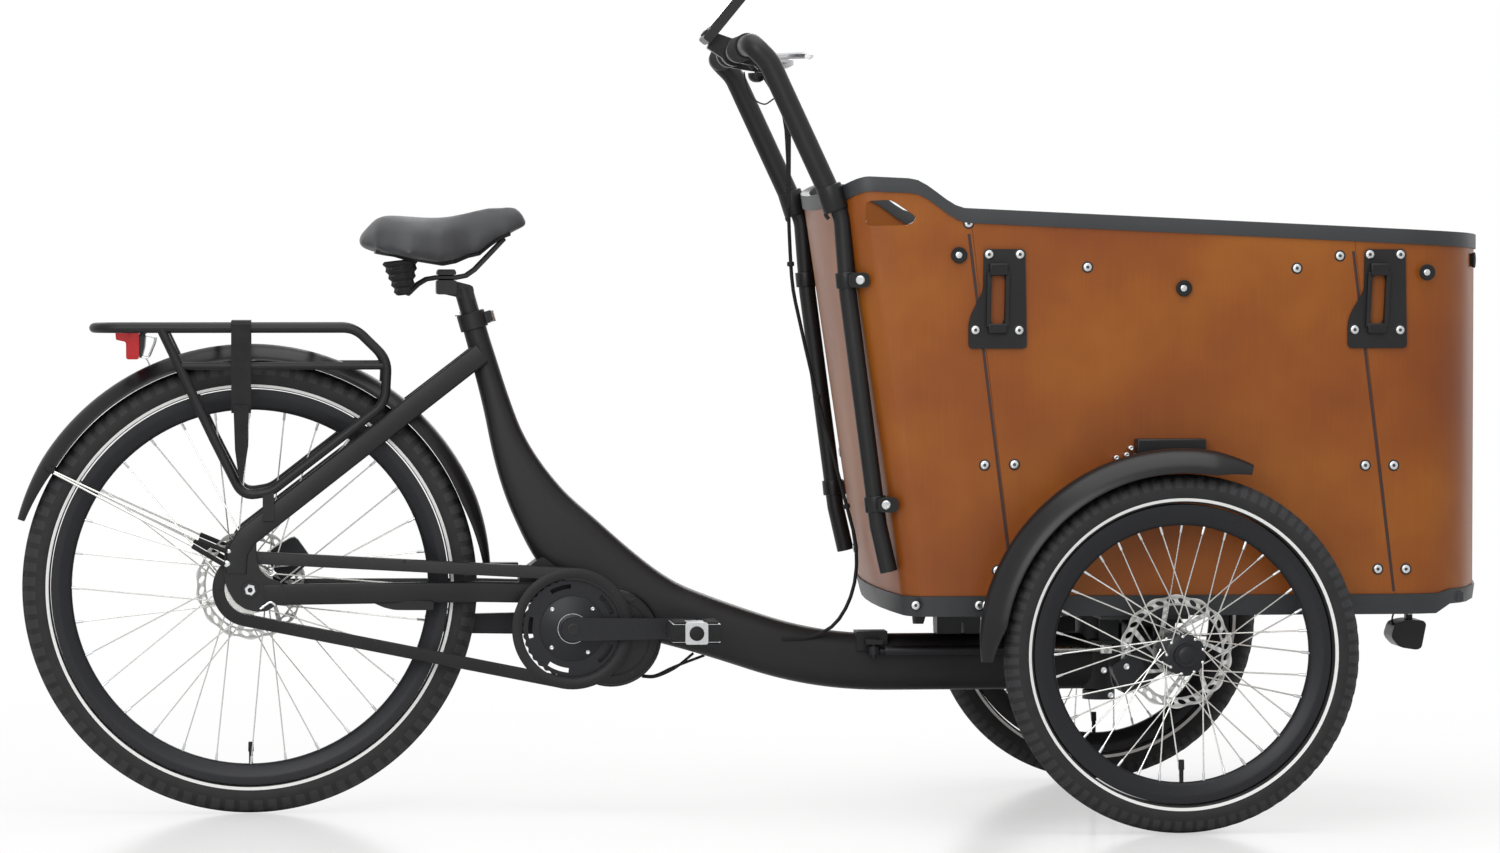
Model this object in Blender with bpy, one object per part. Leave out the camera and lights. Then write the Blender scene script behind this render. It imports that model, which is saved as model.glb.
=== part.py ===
# Electric cargo bike: a rear-driven tricycle whose wooden box and two front wheels steer together.
# Metres. X points forward, Y to the rider's left, Z up. Measures start at the rear axle and the ground.
import math

import bmesh
import bpy
from mathutils import Matrix, Vector

for thing in list(bpy.data.objects):
    bpy.data.objects.remove(thing)

# Fits between neighbours, and how far a cutter passes the piece that it cuts.
SEAT_GAP = 0.0003
RUN_GAP = 0.0015
CUT_REACH = 0.010

# Wheels.
REAR_TYRE_RADIUS = 0.3265
FRONT_TYRE_RADIUS = 0.250
TYRE_WIDTH = 0.047
TYRE_HEIGHT = 0.047
REAR_BEAD_RADIUS = REAR_TYRE_RADIUS - TYRE_HEIGHT
FRONT_BEAD_RADIUS = FRONT_TYRE_RADIUS - TYRE_HEIGHT
TYRE_WALL = 0.0035
RIM_WIDTH = 0.025
RIM_WALL = 0.0016
RIM_DEPTH = 0.0245
BEAD_SLOPE = 0.0035
BEAD_THICKNESS = 0.003
SPOKE_RADIUS = 0.0009
REAR_SPOKES_PER_FLANGE = 16
FRONT_SPOKES_PER_FLANGE = 18
FLANGE_RADIUS = 0.029
FLANGE_OFFSET = 0.026
AXLE_RADIUS = 0.006
HUB_HALF = 0.0637
ROTOR_RADIUS = 0.080
ROTOR_THICKNESS = 0.002
FRONT_AXLE_X = 1.2897
WHEEL_SIDE_ROOM = 0.080
STUB_RADIUS = 0.010

# Frame tube.
SEAT_LEAN = math.radians(16.0)
SEAT_TUBE_TOP = Vector((0.3169, 0.0, 0.7215))
SEAT_TUBE_LENGTH = 0.169
SEAT_TUBE_RADIUS = 0.0170
SPINE_WAIST = Vector((0.618, 0.0, 0.280))
SPINE_BEND = Vector((0.7287, 0.0, 0.243))
SPINE_LEVEL = Vector((0.9247, 0.0, 0.2122))
SPINE_HALF_DEPTH = 0.041
SPINE_HALF_WIDTH = 0.031
STEERING_X = 1.235
PIVOT_TUBE_RADIUS = 0.034
PIVOT_TUBE_LOW = 0.172
PIVOT_TUBE_HIGH = 0.2905
KINGPIN_RADIUS = 0.0175

# Seat.
POST_RADIUS = 0.0136
POST_INSERT = 0.200
COLLAR_HEIGHT = 0.0247
COLLAR_RADIUS = 0.0205
RAIL_RADIUS = 0.0035
RAIL_SPREAD = 0.022
RAIL_Z = 0.7718
BELLOWS_RIBS = 5
BELLOWS_FOOT_RADIUS = 0.0125
BELLOWS_HEAD_RADIUS = 0.0240
BELLOWS_FOLD = 0.0035

# Drive.
CRANK_AXIS = Vector((0.4615, 0.0, 0.267))
CRANK_LENGTH = 0.170
CHAIN_Y = -0.052
CHAIN_PITCH = 0.0127
CHAINRING_TEETH = 38
SPROCKET_TEETH = 20
CHAIN_HALF_HEIGHT = 0.004
CHAIN_HALF_WIDTH = 0.0035
CASE_FRONT_RADIUS = 0.0875
CASE_REAR_RADIUS = 0.054
CASE_BAND = 0.0175
CASE_HALF_WIDTH = 0.009
CASE_WALL = 0.0018
BELT_STEPS = 14
SPINDLE_RADIUS = 0.0095
MOTOR_CENTRE = Vector((0.5188, 0.0, 0.2536))
MOTOR_RADIUS = 0.0725
MOTOR_NECK_RADIUS = 0.046
MOTOR_RIGHT = -0.0427
MOTOR_LEFT = 0.052
CRANK_FACE = 0.0635
CRANK_THICKNESS = 0.013
PEDAL_LENGTH = 0.094
PEDAL_REACH = 0.072
PEDAL_DEPTH = 0.030

# Stays and rear axle.
DROPOUT_RADIUS = 0.050
DROPOUT_FACE = 0.0640
DROPOUT_THICKNESS = 0.008
STAY_HALF_THICKNESS = 0.006

# Box.
BOX_HALF_WIDTH = 0.310
WHEEL_TRACK_HALF = BOX_HALF_WIDTH + WHEEL_SIDE_ROOM
BOX_REAR_X = 0.896
BOX_FRONT_X = 1.775
REAR_BOW_RADIUS = 2.600
REAR_CORNER_RADIUS = 0.040
FRONT_BOW_RADIUS = 0.600
FRONT_CORNER_RADIUS = 0.120
PANEL_THICKNESS = 0.009
PANEL_LEAN = 0.120
REAR_EXTRA_LEAN = 0.030
RING_LOW = 0.298
RING_HIGH = 0.3265
RING_STEP_X = 1.670
RING_RISE = 0.0051
RING_FRONT_LIFT = 0.0125
KEEL_LOW = 0.305
RING_WIDTH = 0.020
SEAM_REAR_X = 1.0675
SEAM_FRONT_X = 1.6085
RIM_SLOPE = 0.0463
RIM_HEIGHT = 0.021
RIM_PEAK = 0.038
RIM_CREST_REAR = 0.870
RIM_CREST_FRONT = 0.925
RIM_REAR_FALL = 0.090
RIM_FRONT_FALL = 0.072
RIM_LEVEL = 0.8692
RIM_SKIN = 0.0025
RIM_LAP = 0.0057
RIM_FIT = 0.0008
BOX_ROOM = 0.045

# Handlebar.
BAR_RADIUS = 0.0155
BAR_INSET = 0.030
BAR_SPREAD = BOX_HALF_WIDTH - BAR_INSET
BAR_X = 0.700
BAR_Z = 1.098
LEG_RADIUS = 0.0125
CLIP_REACH = 0.033
LEVER_PIVOT = Vector((0.736, 0.083, 1.088))
GRIP_RADIUS = 0.0185

# Steering damper.
DAMPER_PIVOT = Vector((0.897, -0.062, 0.2332))
DAMPER_EYE = Vector((STEERING_X, -0.062, 0.2332))
DAMPER_RADIUS = 0.0072
DAMPER_ROD_RADIUS = 0.0040

MATERIALS = {}


def coloured(name, red, green, blue, roughness, metallic=0.0):
    """A plain surface colour shared by pieces made of one material."""
    surface = bpy.data.materials.new(name)
    surface.use_nodes = True
    shader = surface.node_tree.nodes["Principled BSDF"]
    shader.inputs["Base Color"].default_value = (red, green, blue, 1.0)
    shader.inputs["Roughness"].default_value = roughness
    shader.inputs["Metallic"].default_value = metallic
    MATERIALS[name] = surface


coloured("black paint", 0.012, 0.012, 0.013, 0.38)
coloured("black plastic", 0.015, 0.015, 0.016, 0.55)
coloured("black rubber", 0.018, 0.018, 0.019, 0.80)
coloured("grey trim", 0.045, 0.048, 0.052, 0.50)
coloured("birch ply", 0.340, 0.110, 0.030, 0.40)
coloured("saddle cover", 0.014, 0.014, 0.015, 0.60)
coloured("polished steel", 0.600, 0.600, 0.590, 0.25, 1.0)
coloured("aluminium", 0.550, 0.550, 0.560, 0.35, 1.0)
coloured("red lens", 0.350, 0.006, 0.006, 0.20)

PIVOTS = {}


def pivot(name, parent, x, y, z):
    """An empty on a joint's axis, which carries the pieces that move on that joint."""
    empty = bpy.data.objects.new(name, None)
    bpy.context.scene.collection.objects.link(empty)
    place = Vector((x, y, z))
    PIVOTS[name] = place
    if parent is None:
        empty.location = place
        PIVOTS[name] = Vector((0.0, 0.0, 0.0))
    else:
        empty.parent = bpy.data.objects[parent]
        empty.location = place - PIVOTS[parent]
    return empty


def body_of(points, faces):
    """A closed body with its faces turned outward."""
    mesh = bpy.data.meshes.new("body")
    mesh.from_pydata([tuple(point) for point in points], [], faces)
    shape = bmesh.new()
    shape.from_mesh(mesh)
    bmesh.ops.recalc_face_normals(shape, faces=shape.faces)
    shape.to_mesh(mesh)
    shape.free()
    body = bpy.data.objects.new("body", mesh)
    bpy.context.scene.collection.objects.link(body)
    return body


def shell(rings, loop=False):
    """The body through rings of equally many points; a loop runs back to its first ring."""
    size = len(rings[0])
    count = len(rings)
    points = [point for ring in rings for point in ring]
    faces = []
    for i in range(count if loop else count - 1):
        a = i * size
        b = (i + 1) % count * size
        for j in range(size):
            k = (j + 1) % size
            faces.append((a + j, a + k, b + k, b + j))
    if not loop:
        faces.append(tuple(range(size)))
        faces.append(tuple(range((count - 1) * size, count * size)))
    return body_of(points, faces)


def directions(points, loop=False):
    """The unit direction of travel at each point of a line."""
    count = len(points)
    found = []
    for i in range(count):
        before = points[i - 1] if loop or i > 0 else points[0]
        after = points[(i + 1) % count] if loop or i < count - 1 else points[-1]
        found.append((after - before).normalized())
    return found


def tube(points, radius, sides=8, loop=False):
    """A round bar along a line of points."""
    points = [Vector(point) for point in points]
    ways = directions(points, loop)
    normal = Vector((0.0, 1.0, 0.0)) if abs(ways[0].y) < 0.9 else Vector((0.0, 0.0, 1.0))
    rings = []
    for i, (point, way) in enumerate(zip(points, ways)):
        normal = (normal - way * normal.dot(way)).normalized()
        across = way.cross(normal)
        size = radius[i] if isinstance(radius, list) else radius
        ring = []
        for j in range(sides):
            turn = 2.0 * math.pi * (j + 0.5) / sides
            ring.append(point + (normal * math.cos(turn) + across * math.sin(turn)) * size)
        rings.append(ring)
    return shell(rings, loop)


def turned(start, way, steps, sides=24):
    """A round body along a direction, from pairs of distance and radius."""
    start = Vector(start)
    way = Vector(way).normalized()
    first = Vector((1.0, 0.0, 0.0)) if abs(way.x) < 0.9 else Vector((0.0, 1.0, 0.0))
    first = (first - way * first.dot(way)).normalized()
    second = way.cross(first)
    rings = []
    for distance, radius in steps:
        ring = []
        for j in range(sides):
            turn = 2.0 * math.pi * j / sides
            ring.append(start + way * distance + (first * math.cos(turn) + second * math.sin(turn)) * radius)
        rings.append(ring)
    return shell(rings)


def ring_body(centre, profile, segments):
    """A ring about a crosswise axle, from a closed profile of radius and side offset."""
    rings = []
    for i in range(segments):
        turn = 2.0 * math.pi * i / segments
        outward = Vector((math.cos(turn), 0.0, math.sin(turn)))
        rings.append([centre + outward * radius + Vector((0.0, side, 0.0)) for radius, side in profile])
    return shell(rings, loop=True)


def prism(outline, y_from, y_to):
    """A plate seen from the side, from an outline in X and Z."""
    return shell([[Vector((x, y, z)) for x, z in outline] for y in (y_from, y_to)])


def slab(outline, z_from, z_to):
    """A plate seen from above, from an outline in X and Y."""
    return shell([[Vector((x, y, z)) for x, y in outline] for z in (z_from, z_to)])


def block(x_from, x_to, y_from, y_to, z_from, z_to, chamfer=0.0):
    """A box, its upright edges cut back by a chamfer."""
    c = chamfer
    if c == 0.0:
        outline = [(x_from, y_from), (x_to, y_from), (x_to, y_to), (x_from, y_to)]
    else:
        outline = [
            (x_from + c, y_from), (x_to - c, y_from), (x_to, y_from + c), (x_to, y_to - c),
            (x_to - c, y_to), (x_from + c, y_to), (x_from, y_to - c), (x_from, y_from + c),
        ]
    return slab(outline, z_from, z_to)


def arc(centre_a, centre_b, radius, start, end, steps):
    """Points on an arc, with angles in radians."""
    return [
        (
            centre_a + radius * math.cos(start + (end - start) * i / steps),
            centre_b + radius * math.sin(start + (end - start) * i / steps),
        )
        for i in range(steps + 1)
    ]


def rounded(corners, radius, steps=2):
    """An outline whose corners are replaced by smooth bends."""
    outline = []
    count = len(corners)
    for i in range(count):
        corner = Vector(corners[i])
        before = Vector(corners[i - 1]) - corner
        after = Vector(corners[(i + 1) % count]) - corner
        reach = min(radius, before.length * 0.45, after.length * 0.45)
        entry = corner + before.normalized() * reach
        leave = corner + after.normalized() * reach
        for j in range(steps + 1):
            t = j / steps
            point = entry * (1.0 - t) ** 2 + corner * 2.0 * t * (1.0 - t) + leave * t ** 2
            outline.append(tuple(point))
    return outline


def bend(points, radius, steps=4):
    """An open line of points whose inner corners are replaced by smooth bends."""
    points = [Vector(point) for point in points]
    line = [points[0]]
    for i in range(1, len(points) - 1):
        corner = points[i]
        before = points[i - 1] - corner
        after = points[i + 1] - corner
        reach = min(radius, before.length * 0.48, after.length * 0.48)
        entry = corner + before.normalized() * reach
        leave = corner + after.normalized() * reach
        for j in range(steps + 1):
            t = j / steps
            line.append(entry * (1.0 - t) ** 2 + corner * 2.0 * t * (1.0 - t) + leave * t ** 2)
    line.append(points[-1])
    return line


def sweep_curve(a, b, c, d, steps):
    """Points on a smooth curve from a to d that leaves towards b and arrives from c."""
    line = []
    for i in range(steps + 1):
        t = i / steps
        s = 1.0 - t
        line.append(a * s ** 3 + b * 3.0 * s * s * t + c * 3.0 * s * t * t + d * t ** 3)
    return line


def belt(centre_a, radius_a, centre_b, radius_b, steps):
    """The outline of a belt round two wheels seen from the side."""
    ax, az = centre_a.x, centre_a.z
    bx, bz = centre_b.x, centre_b.z
    span = math.hypot(bx - ax, bz - az)
    heading = math.atan2(bz - az, bx - ax)
    spread = math.acos((radius_a - radius_b) / span)
    far = arc(bx, bz, radius_b, heading - spread, heading + spread, steps)
    near = arc(ax, az, radius_a, heading + spread, heading + 2.0 * math.pi - spread, steps)
    return far + near


def blended(table, distance):
    """A value that eases from one listed distance to the next."""
    for (d0, v0), (d1, v1) in zip(table, table[1:]):
        if distance <= d1:
            t = max(0.0, (distance - d0) / (d1 - d0))
            return v0 + (v1 - v0) * t * t * (3.0 - 2.0 * t)
    return table[-1][1]


def swept(points, depths, widths, powers, sides=16):
    """A rounded bar in a side-view line; depth lies in the view, width lies across it."""
    points = [Vector(point) for point in points]
    rings = []
    for i, (point, way) in enumerate(zip(points, directions(points))):
        flat = Vector((way.x, 0.0, way.z)).normalized()
        normal = Vector((-flat.z, 0.0, flat.x))
        ring = []
        for j in range(sides):
            turn = 2.0 * math.pi * (j + 0.5) / sides
            high = math.copysign(abs(math.cos(turn)) ** (2.0 / powers[i]), math.cos(turn))
            wide = math.copysign(abs(math.sin(turn)) ** (2.0 / powers[i]), math.sin(turn))
            ring.append(point + normal * depths[i] * high + Vector((0.0, widths[i] * wide, 0.0)))
        rings.append(ring)
    return shell(rings)


def flat_bar(points, half_depth, half_thickness):
    """A bar with an oblong, rounded section along a side-view line."""
    count = len(points)
    return swept(points, [half_depth] * count, [half_thickness] * count, [3.5] * count, 8)


def bore_of(pin_radius, sides):
    """The corner radius of a bore whose flats stay a fit's width clear of the pin at every turn."""
    return (pin_radius + SEAT_GAP) / math.cos(math.pi / sides)


def gathered(bodies):
    """Bodies that stand apart, held as one."""
    shape = bmesh.new()
    for body in bodies:
        shape.from_mesh(body.data)
        bpy.data.objects.remove(body)
    mesh = bpy.data.meshes.new("bodies")
    shape.to_mesh(mesh)
    shape.free()
    body = bpy.data.objects.new("bodies", mesh)
    bpy.context.scene.collection.objects.link(body)
    return body


def combined(body, others, operation):
    """A body after others are joined to it or cut from it."""
    for other in others:
        step = body.modifiers.new(operation, "BOOLEAN")
        step.operation = operation
        step.solver = "EXACT"
        step.object = other
    bpy.context.view_layer.update()
    graph = bpy.context.evaluated_depsgraph_get()
    mesh = bpy.data.meshes.new_from_object(body.evaluated_get(graph))
    body.modifiers.clear()
    body.data = mesh
    for other in others:
        bpy.data.objects.remove(other)
    return body


def joined(body, *others):
    return combined(body, others, "UNION")


def cut(body, *others):
    return combined(body, others, "DIFFERENCE")


def mounted(name, body, surface, carrier, sharp=35.0):
    """Names a finished piece, colours it and hangs it on the empty that carries it."""
    mesh = body.data
    body.name = name
    mesh.name = name
    mesh.transform(Matrix.Translation(-PIVOTS[carrier]))
    body.parent = bpy.data.objects[carrier]
    mesh.materials.clear()
    mesh.materials.append(MATERIALS[surface])
    mesh.shade_smooth()
    mesh.set_sharp_from_angle(angle=math.radians(sharp))
    return body


def sides_of(builder):
    """Builds a piece for the right side, at minus Y, and for the left."""
    for word, side in (("right", -1.0), ("left", 1.0)):
        builder(word, side)


# Box outline, used by the panels, the floor ring and the rim.

def end_outline(tip_x, facing, bow_radius, corner_radius, bow_steps, corner_steps):
    """Half of a bowed box end in X and Y, from its middle to where the straight side starts."""
    sine = (BOX_HALF_WIDTH - corner_radius) / (bow_radius - corner_radius)
    swing = math.asin(sine)
    line = []
    for i in range(bow_steps):
        turn = swing * i / bow_steps
        line.append((tip_x - facing * bow_radius * (1.0 - math.cos(turn)), bow_radius * math.sin(turn)))
    corner_x = tip_x - facing * (bow_radius - (bow_radius - corner_radius) * math.cos(swing))
    corner_y = BOX_HALF_WIDTH - corner_radius
    for i in range(corner_steps + 1):
        turn = swing + (math.pi / 2.0 - swing) * i / corner_steps
        line.append((corner_x + facing * corner_radius * math.cos(turn),
                     corner_y + corner_radius * math.sin(turn)))
    return line


REAR_HALF = end_outline(BOX_REAR_X, -1.0, REAR_BOW_RADIUS, REAR_CORNER_RADIUS, 3, 4)
FRONT_HALF = end_outline(BOX_FRONT_X, 1.0, FRONT_BOW_RADIUS, FRONT_CORNER_RADIUS, 3, 5)
HUMP_STATIONS = 5
SIDE_STATIONS = 2


def between(x_from, x_to, count):
    """Points on the straight side, without its ends."""
    return [(x_from + (x_to - x_from) * i / count, BOX_HALF_WIDTH) for i in range(1, count)]


def mirrored(line):
    return [(x, -y) for x, y in line]


REAR_SIDE = between(REAR_HALF[-1][0], SEAM_REAR_X, HUMP_STATIONS)
MIDDLE_SIDE = between(SEAM_REAR_X, SEAM_FRONT_X, SIDE_STATIONS)
SEAM_REAR = (SEAM_REAR_X, BOX_HALF_WIDTH)
SEAM_FRONT = (SEAM_FRONT_X, BOX_HALF_WIDTH)


def leaning(x):
    """How far the wall leans back per metre of height, most of all at the rear."""
    if x >= SEAM_FRONT_X + SEAT_GAP + RUN_GAP:
        return 0.0
    share = min(1.0, max(0.0, (SEAM_REAR_X - x) / (SEAM_REAR_X - BOX_REAR_X)))
    return PANEL_LEAN + REAR_EXTRA_LEAN * share


def leant(x, z):
    """Where a point of the floor outline comes at a height, as the wall leans back as it rises."""
    return x - leaning(x) * (z - RING_HIGH)


def rim_height(x, y):
    """The height of the rim's top above a point of the floor outline."""
    top_x = leant(x, RIM_LEVEL)
    fall = RIM_LEVEL - RIM_SLOPE * (top_x - leant(SEAM_REAR_X, RIM_LEVEL))
    past = max((RIM_CREST_REAR - top_x) / RIM_REAR_FALL, (top_x - RIM_CREST_FRONT) / RIM_FRONT_FALL)
    past = min(1.0, max(0.0, past))
    return fall + RIM_PEAK * (1.0 - past * past * (3.0 - 2.0 * past))


def ring_top(x, y):
    """The top of the floor ring, which steps up towards the front."""
    ramp = min(1.0, max(0.0, (x - RING_STEP_X) / RING_RISE))
    return RING_HIGH + RING_RISE * ramp


def ring_bottom(x, y):
    ramp = min(1.0, max(0.0, (x - RING_STEP_X) / RING_RISE))
    return RING_LOW + RING_FRONT_LIFT * ramp


def offsets(line, distance, loop=False):
    """A plan line moved outward from the box by a distance."""
    points = [Vector((x, y, 0.0)) for x, y in line]
    moved = []
    for point, way in zip(points, directions(points, loop)):
        outward = Vector((way.y, -way.x, 0.0))
        if outward.dot(point - Vector((STEERING_X, 0.0, 0.0))) < 0.0:
            outward = -outward
        moved.append((point.x + outward.x * distance, point.y + outward.y * distance))
    return moved


def wall(line, section, loop=False):
    """A strip along the box outline; section gives, for a plan point, its offset and height pairs."""
    pairs = len(section(*line[0]))
    columns = []
    for k in range(pairs):
        columns.append(offsets(line, section(*line[0])[k][0], loop))
    rings = []
    for i, (x, y) in enumerate(line):
        ring = []
        for k, (_, z) in enumerate(section(x, y)):
            px, py = columns[k][i]
            ring.append(Vector((px + leant(x, z) - x, py, z)))
        rings.append(ring)
    return shell(rings, loop)


def panel_section(x, y):
    low = ring_top(x, y) + SEAT_GAP
    high = rim_height(x, y) - RIM_LAP - RIM_FIT
    return [(0.0, low), (0.0, high), (-PANEL_THICKNESS, high), (-PANEL_THICKNESS, low)]


def box_room_section(x, y):
    """The wall and what lies just inside it, with the fit that its clamps keep."""
    top = rim_height(x, y) + SEAT_GAP
    low = rim_height(x, y) - RIM_HEIGHT - SEAT_GAP
    past_rim = RIM_SKIN + SEAT_GAP
    return [
        (SEAT_GAP, RING_HIGH), (SEAT_GAP, low), (past_rim, low), (past_rim, top),
        (-BOX_ROOM, top), (-BOX_ROOM, RING_HIGH),
    ]


def rim_section(x, y):
    top = rim_height(x, y)
    low = top - RIM_HEIGHT
    roof = top - RIM_LAP
    inner = -PANEL_THICKNESS
    return [
        (RIM_SKIN, low), (RIM_SKIN, top), (inner - RIM_SKIN, top), (inner - RIM_SKIN, low),
        (inner - RIM_FIT, low), (inner - RIM_FIT, roof), (RIM_FIT, roof), (RIM_FIT, low),
    ]


def ring_section(x, y):
    low = ring_bottom(x, y)
    high = ring_top(x, y)
    outer = 0.003
    inner = outer - RING_WIDTH
    return [(outer - 0.003, low), (outer, high), (inner, high), (inner, low)]


def whole_outline():
    """The closed outline of the box, from the middle of its rear round by the left side."""
    left = REAR_HALF + REAR_SIDE + [SEAM_REAR] + MIDDLE_SIDE + [SEAM_FRONT]
    left += list(reversed(FRONT_HALF))
    right = mirrored(list(reversed(left[1:-1])))
    return left + right


# Carriers: one empty on the axis of every joint.

REAR_GUARD_ROOM = 0.0185
REAR_GUARD_RADIUS = REAR_TYRE_RADIUS + REAR_GUARD_ROOM
REAR_GUARD_SKIRT = 0.021
FRONT_GUARD_ROOM = 0.028
FRONT_GUARD_RADIUS = FRONT_TYRE_RADIUS + FRONT_GUARD_ROOM
FRONT_GUARD_SKIRT = 0.026
GUARD_END = 164.7
GUARD_TIP_X = REAR_GUARD_RADIUS * math.cos(math.radians(GUARD_END))
ORIGIN_X = (BOX_FRONT_X + 0.003 + GUARD_TIP_X) / 2.0
pivot("bike", None, -ORIGIN_X, 0.0, 0.0)
pivot("steering", "bike", STEERING_X, 0.0, RING_LOW)
pivot("rear wheel axis", "bike", 0.0, 0.0, REAR_TYRE_RADIUS)
pivot("sprocket axis", "bike", 0.0, 0.0, REAR_TYRE_RADIUS)
pivot("crank axis", "bike", CRANK_AXIS.x, 0.0, CRANK_AXIS.z)
pivot("right pedal axis", "crank axis", CRANK_AXIS.x + CRANK_LENGTH, 0.0, CRANK_AXIS.z)
pivot("left pedal axis", "crank axis", CRANK_AXIS.x - CRANK_LENGTH, 0.0, CRANK_AXIS.z)
pivot("seat slide", "bike", SEAT_TUBE_TOP.x, 0.0, SEAT_TUBE_TOP.z)
pivot("seat lever axis", "bike", 0.346, 0.0163, 0.715)
pivot("right wheel axis", "steering", FRONT_AXLE_X, -WHEEL_TRACK_HALF, FRONT_TYRE_RADIUS)
pivot("left wheel axis", "steering", FRONT_AXLE_X, WHEEL_TRACK_HALF, FRONT_TYRE_RADIUS)
pivot("right lever axis", "steering", LEVER_PIVOT.x, -LEVER_PIVOT.y, LEVER_PIVOT.z)
pivot("left lever axis", "steering", LEVER_PIVOT.x, LEVER_PIVOT.y, LEVER_PIVOT.z)
pivot("damper swing", "bike", DAMPER_PIVOT.x, DAMPER_PIVOT.y, DAMPER_PIVOT.z)
pivot("damper stroke", "damper swing", DAMPER_PIVOT.x, DAMPER_PIVOT.y, DAMPER_PIVOT.z)


# Wheels.

OUTER_STEPS = 6
INNER_STEPS = 2
REAR_SEGMENTS = 42
FRONT_SEGMENTS = 34


def tyre(name, centre, tyre_radius, bead_radius, carrier, segments):
    """A hollow tyre that opens towards its rim."""
    half = TYRE_WIDTH / 2.0
    core = tyre_radius - half
    seat = RIM_WIDTH / 2.0 - RIM_WALL - SEAT_GAP
    floor = bead_radius - 0.0035 + SEAT_GAP
    edge = bead_radius + 0.0062
    outer_start = math.acos((core - (bead_radius + 0.0085)) / half)
    inner_half = half - TYRE_WALL
    profile = [(floor, seat - BEAD_SLOPE), (edge, seat)]
    for i in range(OUTER_STEPS + 1):
        turn = outer_start + (2.0 * math.pi - 2.0 * outer_start) * i / OUTER_STEPS
        profile.append((core - half * math.cos(turn), half * math.sin(turn)))
    profile += [(edge, -seat), (floor, BEAD_SLOPE - seat), (edge, BEAD_THICKNESS - seat)]
    inner_start = math.radians(70.0)
    for i in range(INNER_STEPS + 1):
        turn = 2.0 * math.pi - inner_start - (2.0 * math.pi - 2.0 * inner_start) * i / INNER_STEPS
        profile.append((core - inner_half * math.cos(turn), inner_half * math.sin(turn)))
    profile += [(edge, seat - BEAD_THICKNESS)]
    mounted(name, ring_body(centre, profile, segments), "black rubber", carrier, 50.0)


def rim(centre, bead_radius, segments):
    half = RIM_WIDTH / 2.0
    top = bead_radius + 0.0055
    floor = bead_radius - 0.0035
    low = bead_radius - RIM_DEPTH
    profile = [
        (top, -half), (top, RIM_WALL - half), (floor, RIM_WALL + BEAD_SLOPE - half),
        (floor, half - RIM_WALL - BEAD_SLOPE), (top, half - RIM_WALL), (top, half), (low, 0.004), (low,
                                                                                                   -0.004),
    ]
    return ring_body(centre, profile, segments)


def spokes(centre, bead_radius, per_flange):
    """Crossed spokes from two flanges to the rim, leading ones outside and trailing ones inside."""
    made = []
    spacing = 2.0 * math.pi / per_flange
    for flange, side in enumerate((-1.0, 1.0)):
        for j in range(per_flange):
            leads = j % 2 == 0
            at_rim = spacing * (j + flange * 0.5)
            at_hub = at_rim + math.radians(58.0) * (1.0 if leads else -1.0)
            inner = FLANGE_RADIUS - 0.0025
            outer = bead_radius - RIM_DEPTH + 0.003
            shift = 0.0018 if leads else -0.0018
            start = Vector((inner * math.cos(at_hub), side * (FLANGE_OFFSET + shift),
                            inner * math.sin(at_hub)))
            end = Vector((outer * math.cos(at_rim), side * 0.0012, outer * math.sin(at_rim)))
            made.append(tube([centre + start, centre + end], SPOKE_RADIUS * 1.2, 3))
    return gathered(made)


def wheel(name, centre, bead_radius, hub_steps, bore, carrier, segments, per_flange):
    """Rim, spokes and hub; bore gives the reach of the axle hole from its inner end."""
    hub_start = centre + Vector((0.0, hub_steps[0][0], 0.0))
    steps = [(distance - hub_steps[0][0], radius) for distance, radius in hub_steps]
    hub = turned(hub_start, (0.0, 1.0, 0.0), steps, 14)
    whole = joined(rim(centre, bead_radius, segments), spokes(centre, bead_radius, per_flange), hub)
    bore_from, bore_to, bore_radius = bore
    hole = turned(centre + Vector((0.0, bore_from, 0.0)), (0.0, 1.0, 0.0),
                  [(0.0, bore_radius), (bore_to - bore_from, bore_radius)], 12)
    mounted(name, cut(whole, hole), "aluminium", carrier)


def rotor(name, centre, side_from, bore_radius, carrier):
    """A brake disc with a waved edge, five windows and a bore."""
    lobes = 12
    outline = []
    for i in range(lobes * 3):
        turn = 2.0 * math.pi * i / (lobes * 3)
        radius = ROTOR_RADIUS * (1.0 - 0.018 * (1.0 + math.cos(lobes * turn)))
        outline.append((centre.x + radius * math.cos(turn), centre.z + radius * math.sin(turn)))
    disc = prism(outline, side_from, side_from + ROTOR_THICKNESS)
    windows = []
    arms = 5
    for k in range(arms):
        start = 2.0 * math.pi * k / arms + math.radians(9.0)
        end = start + 2.0 * math.pi / arms - math.radians(18.0)
        outer = arc(centre.x, centre.z, ROTOR_RADIUS * 0.79, start, end, 2)
        inner = arc(centre.x, centre.z, ROTOR_RADIUS * 0.40, end + 0.05, start + 0.25, 1)
        windows.append(prism(outer + inner, side_from - 0.001, side_from + ROTOR_THICKNESS + 0.001))
    bore = turned(Vector((centre.x, side_from - 0.001, centre.z)), (0.0, 1.0, 0.0),
                  [(0.0, bore_radius), (ROTOR_THICKNESS + 0.002, bore_radius)], 16)
    mounted(name, cut(disc, gathered(windows), bore), "polished steel", carrier)


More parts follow.
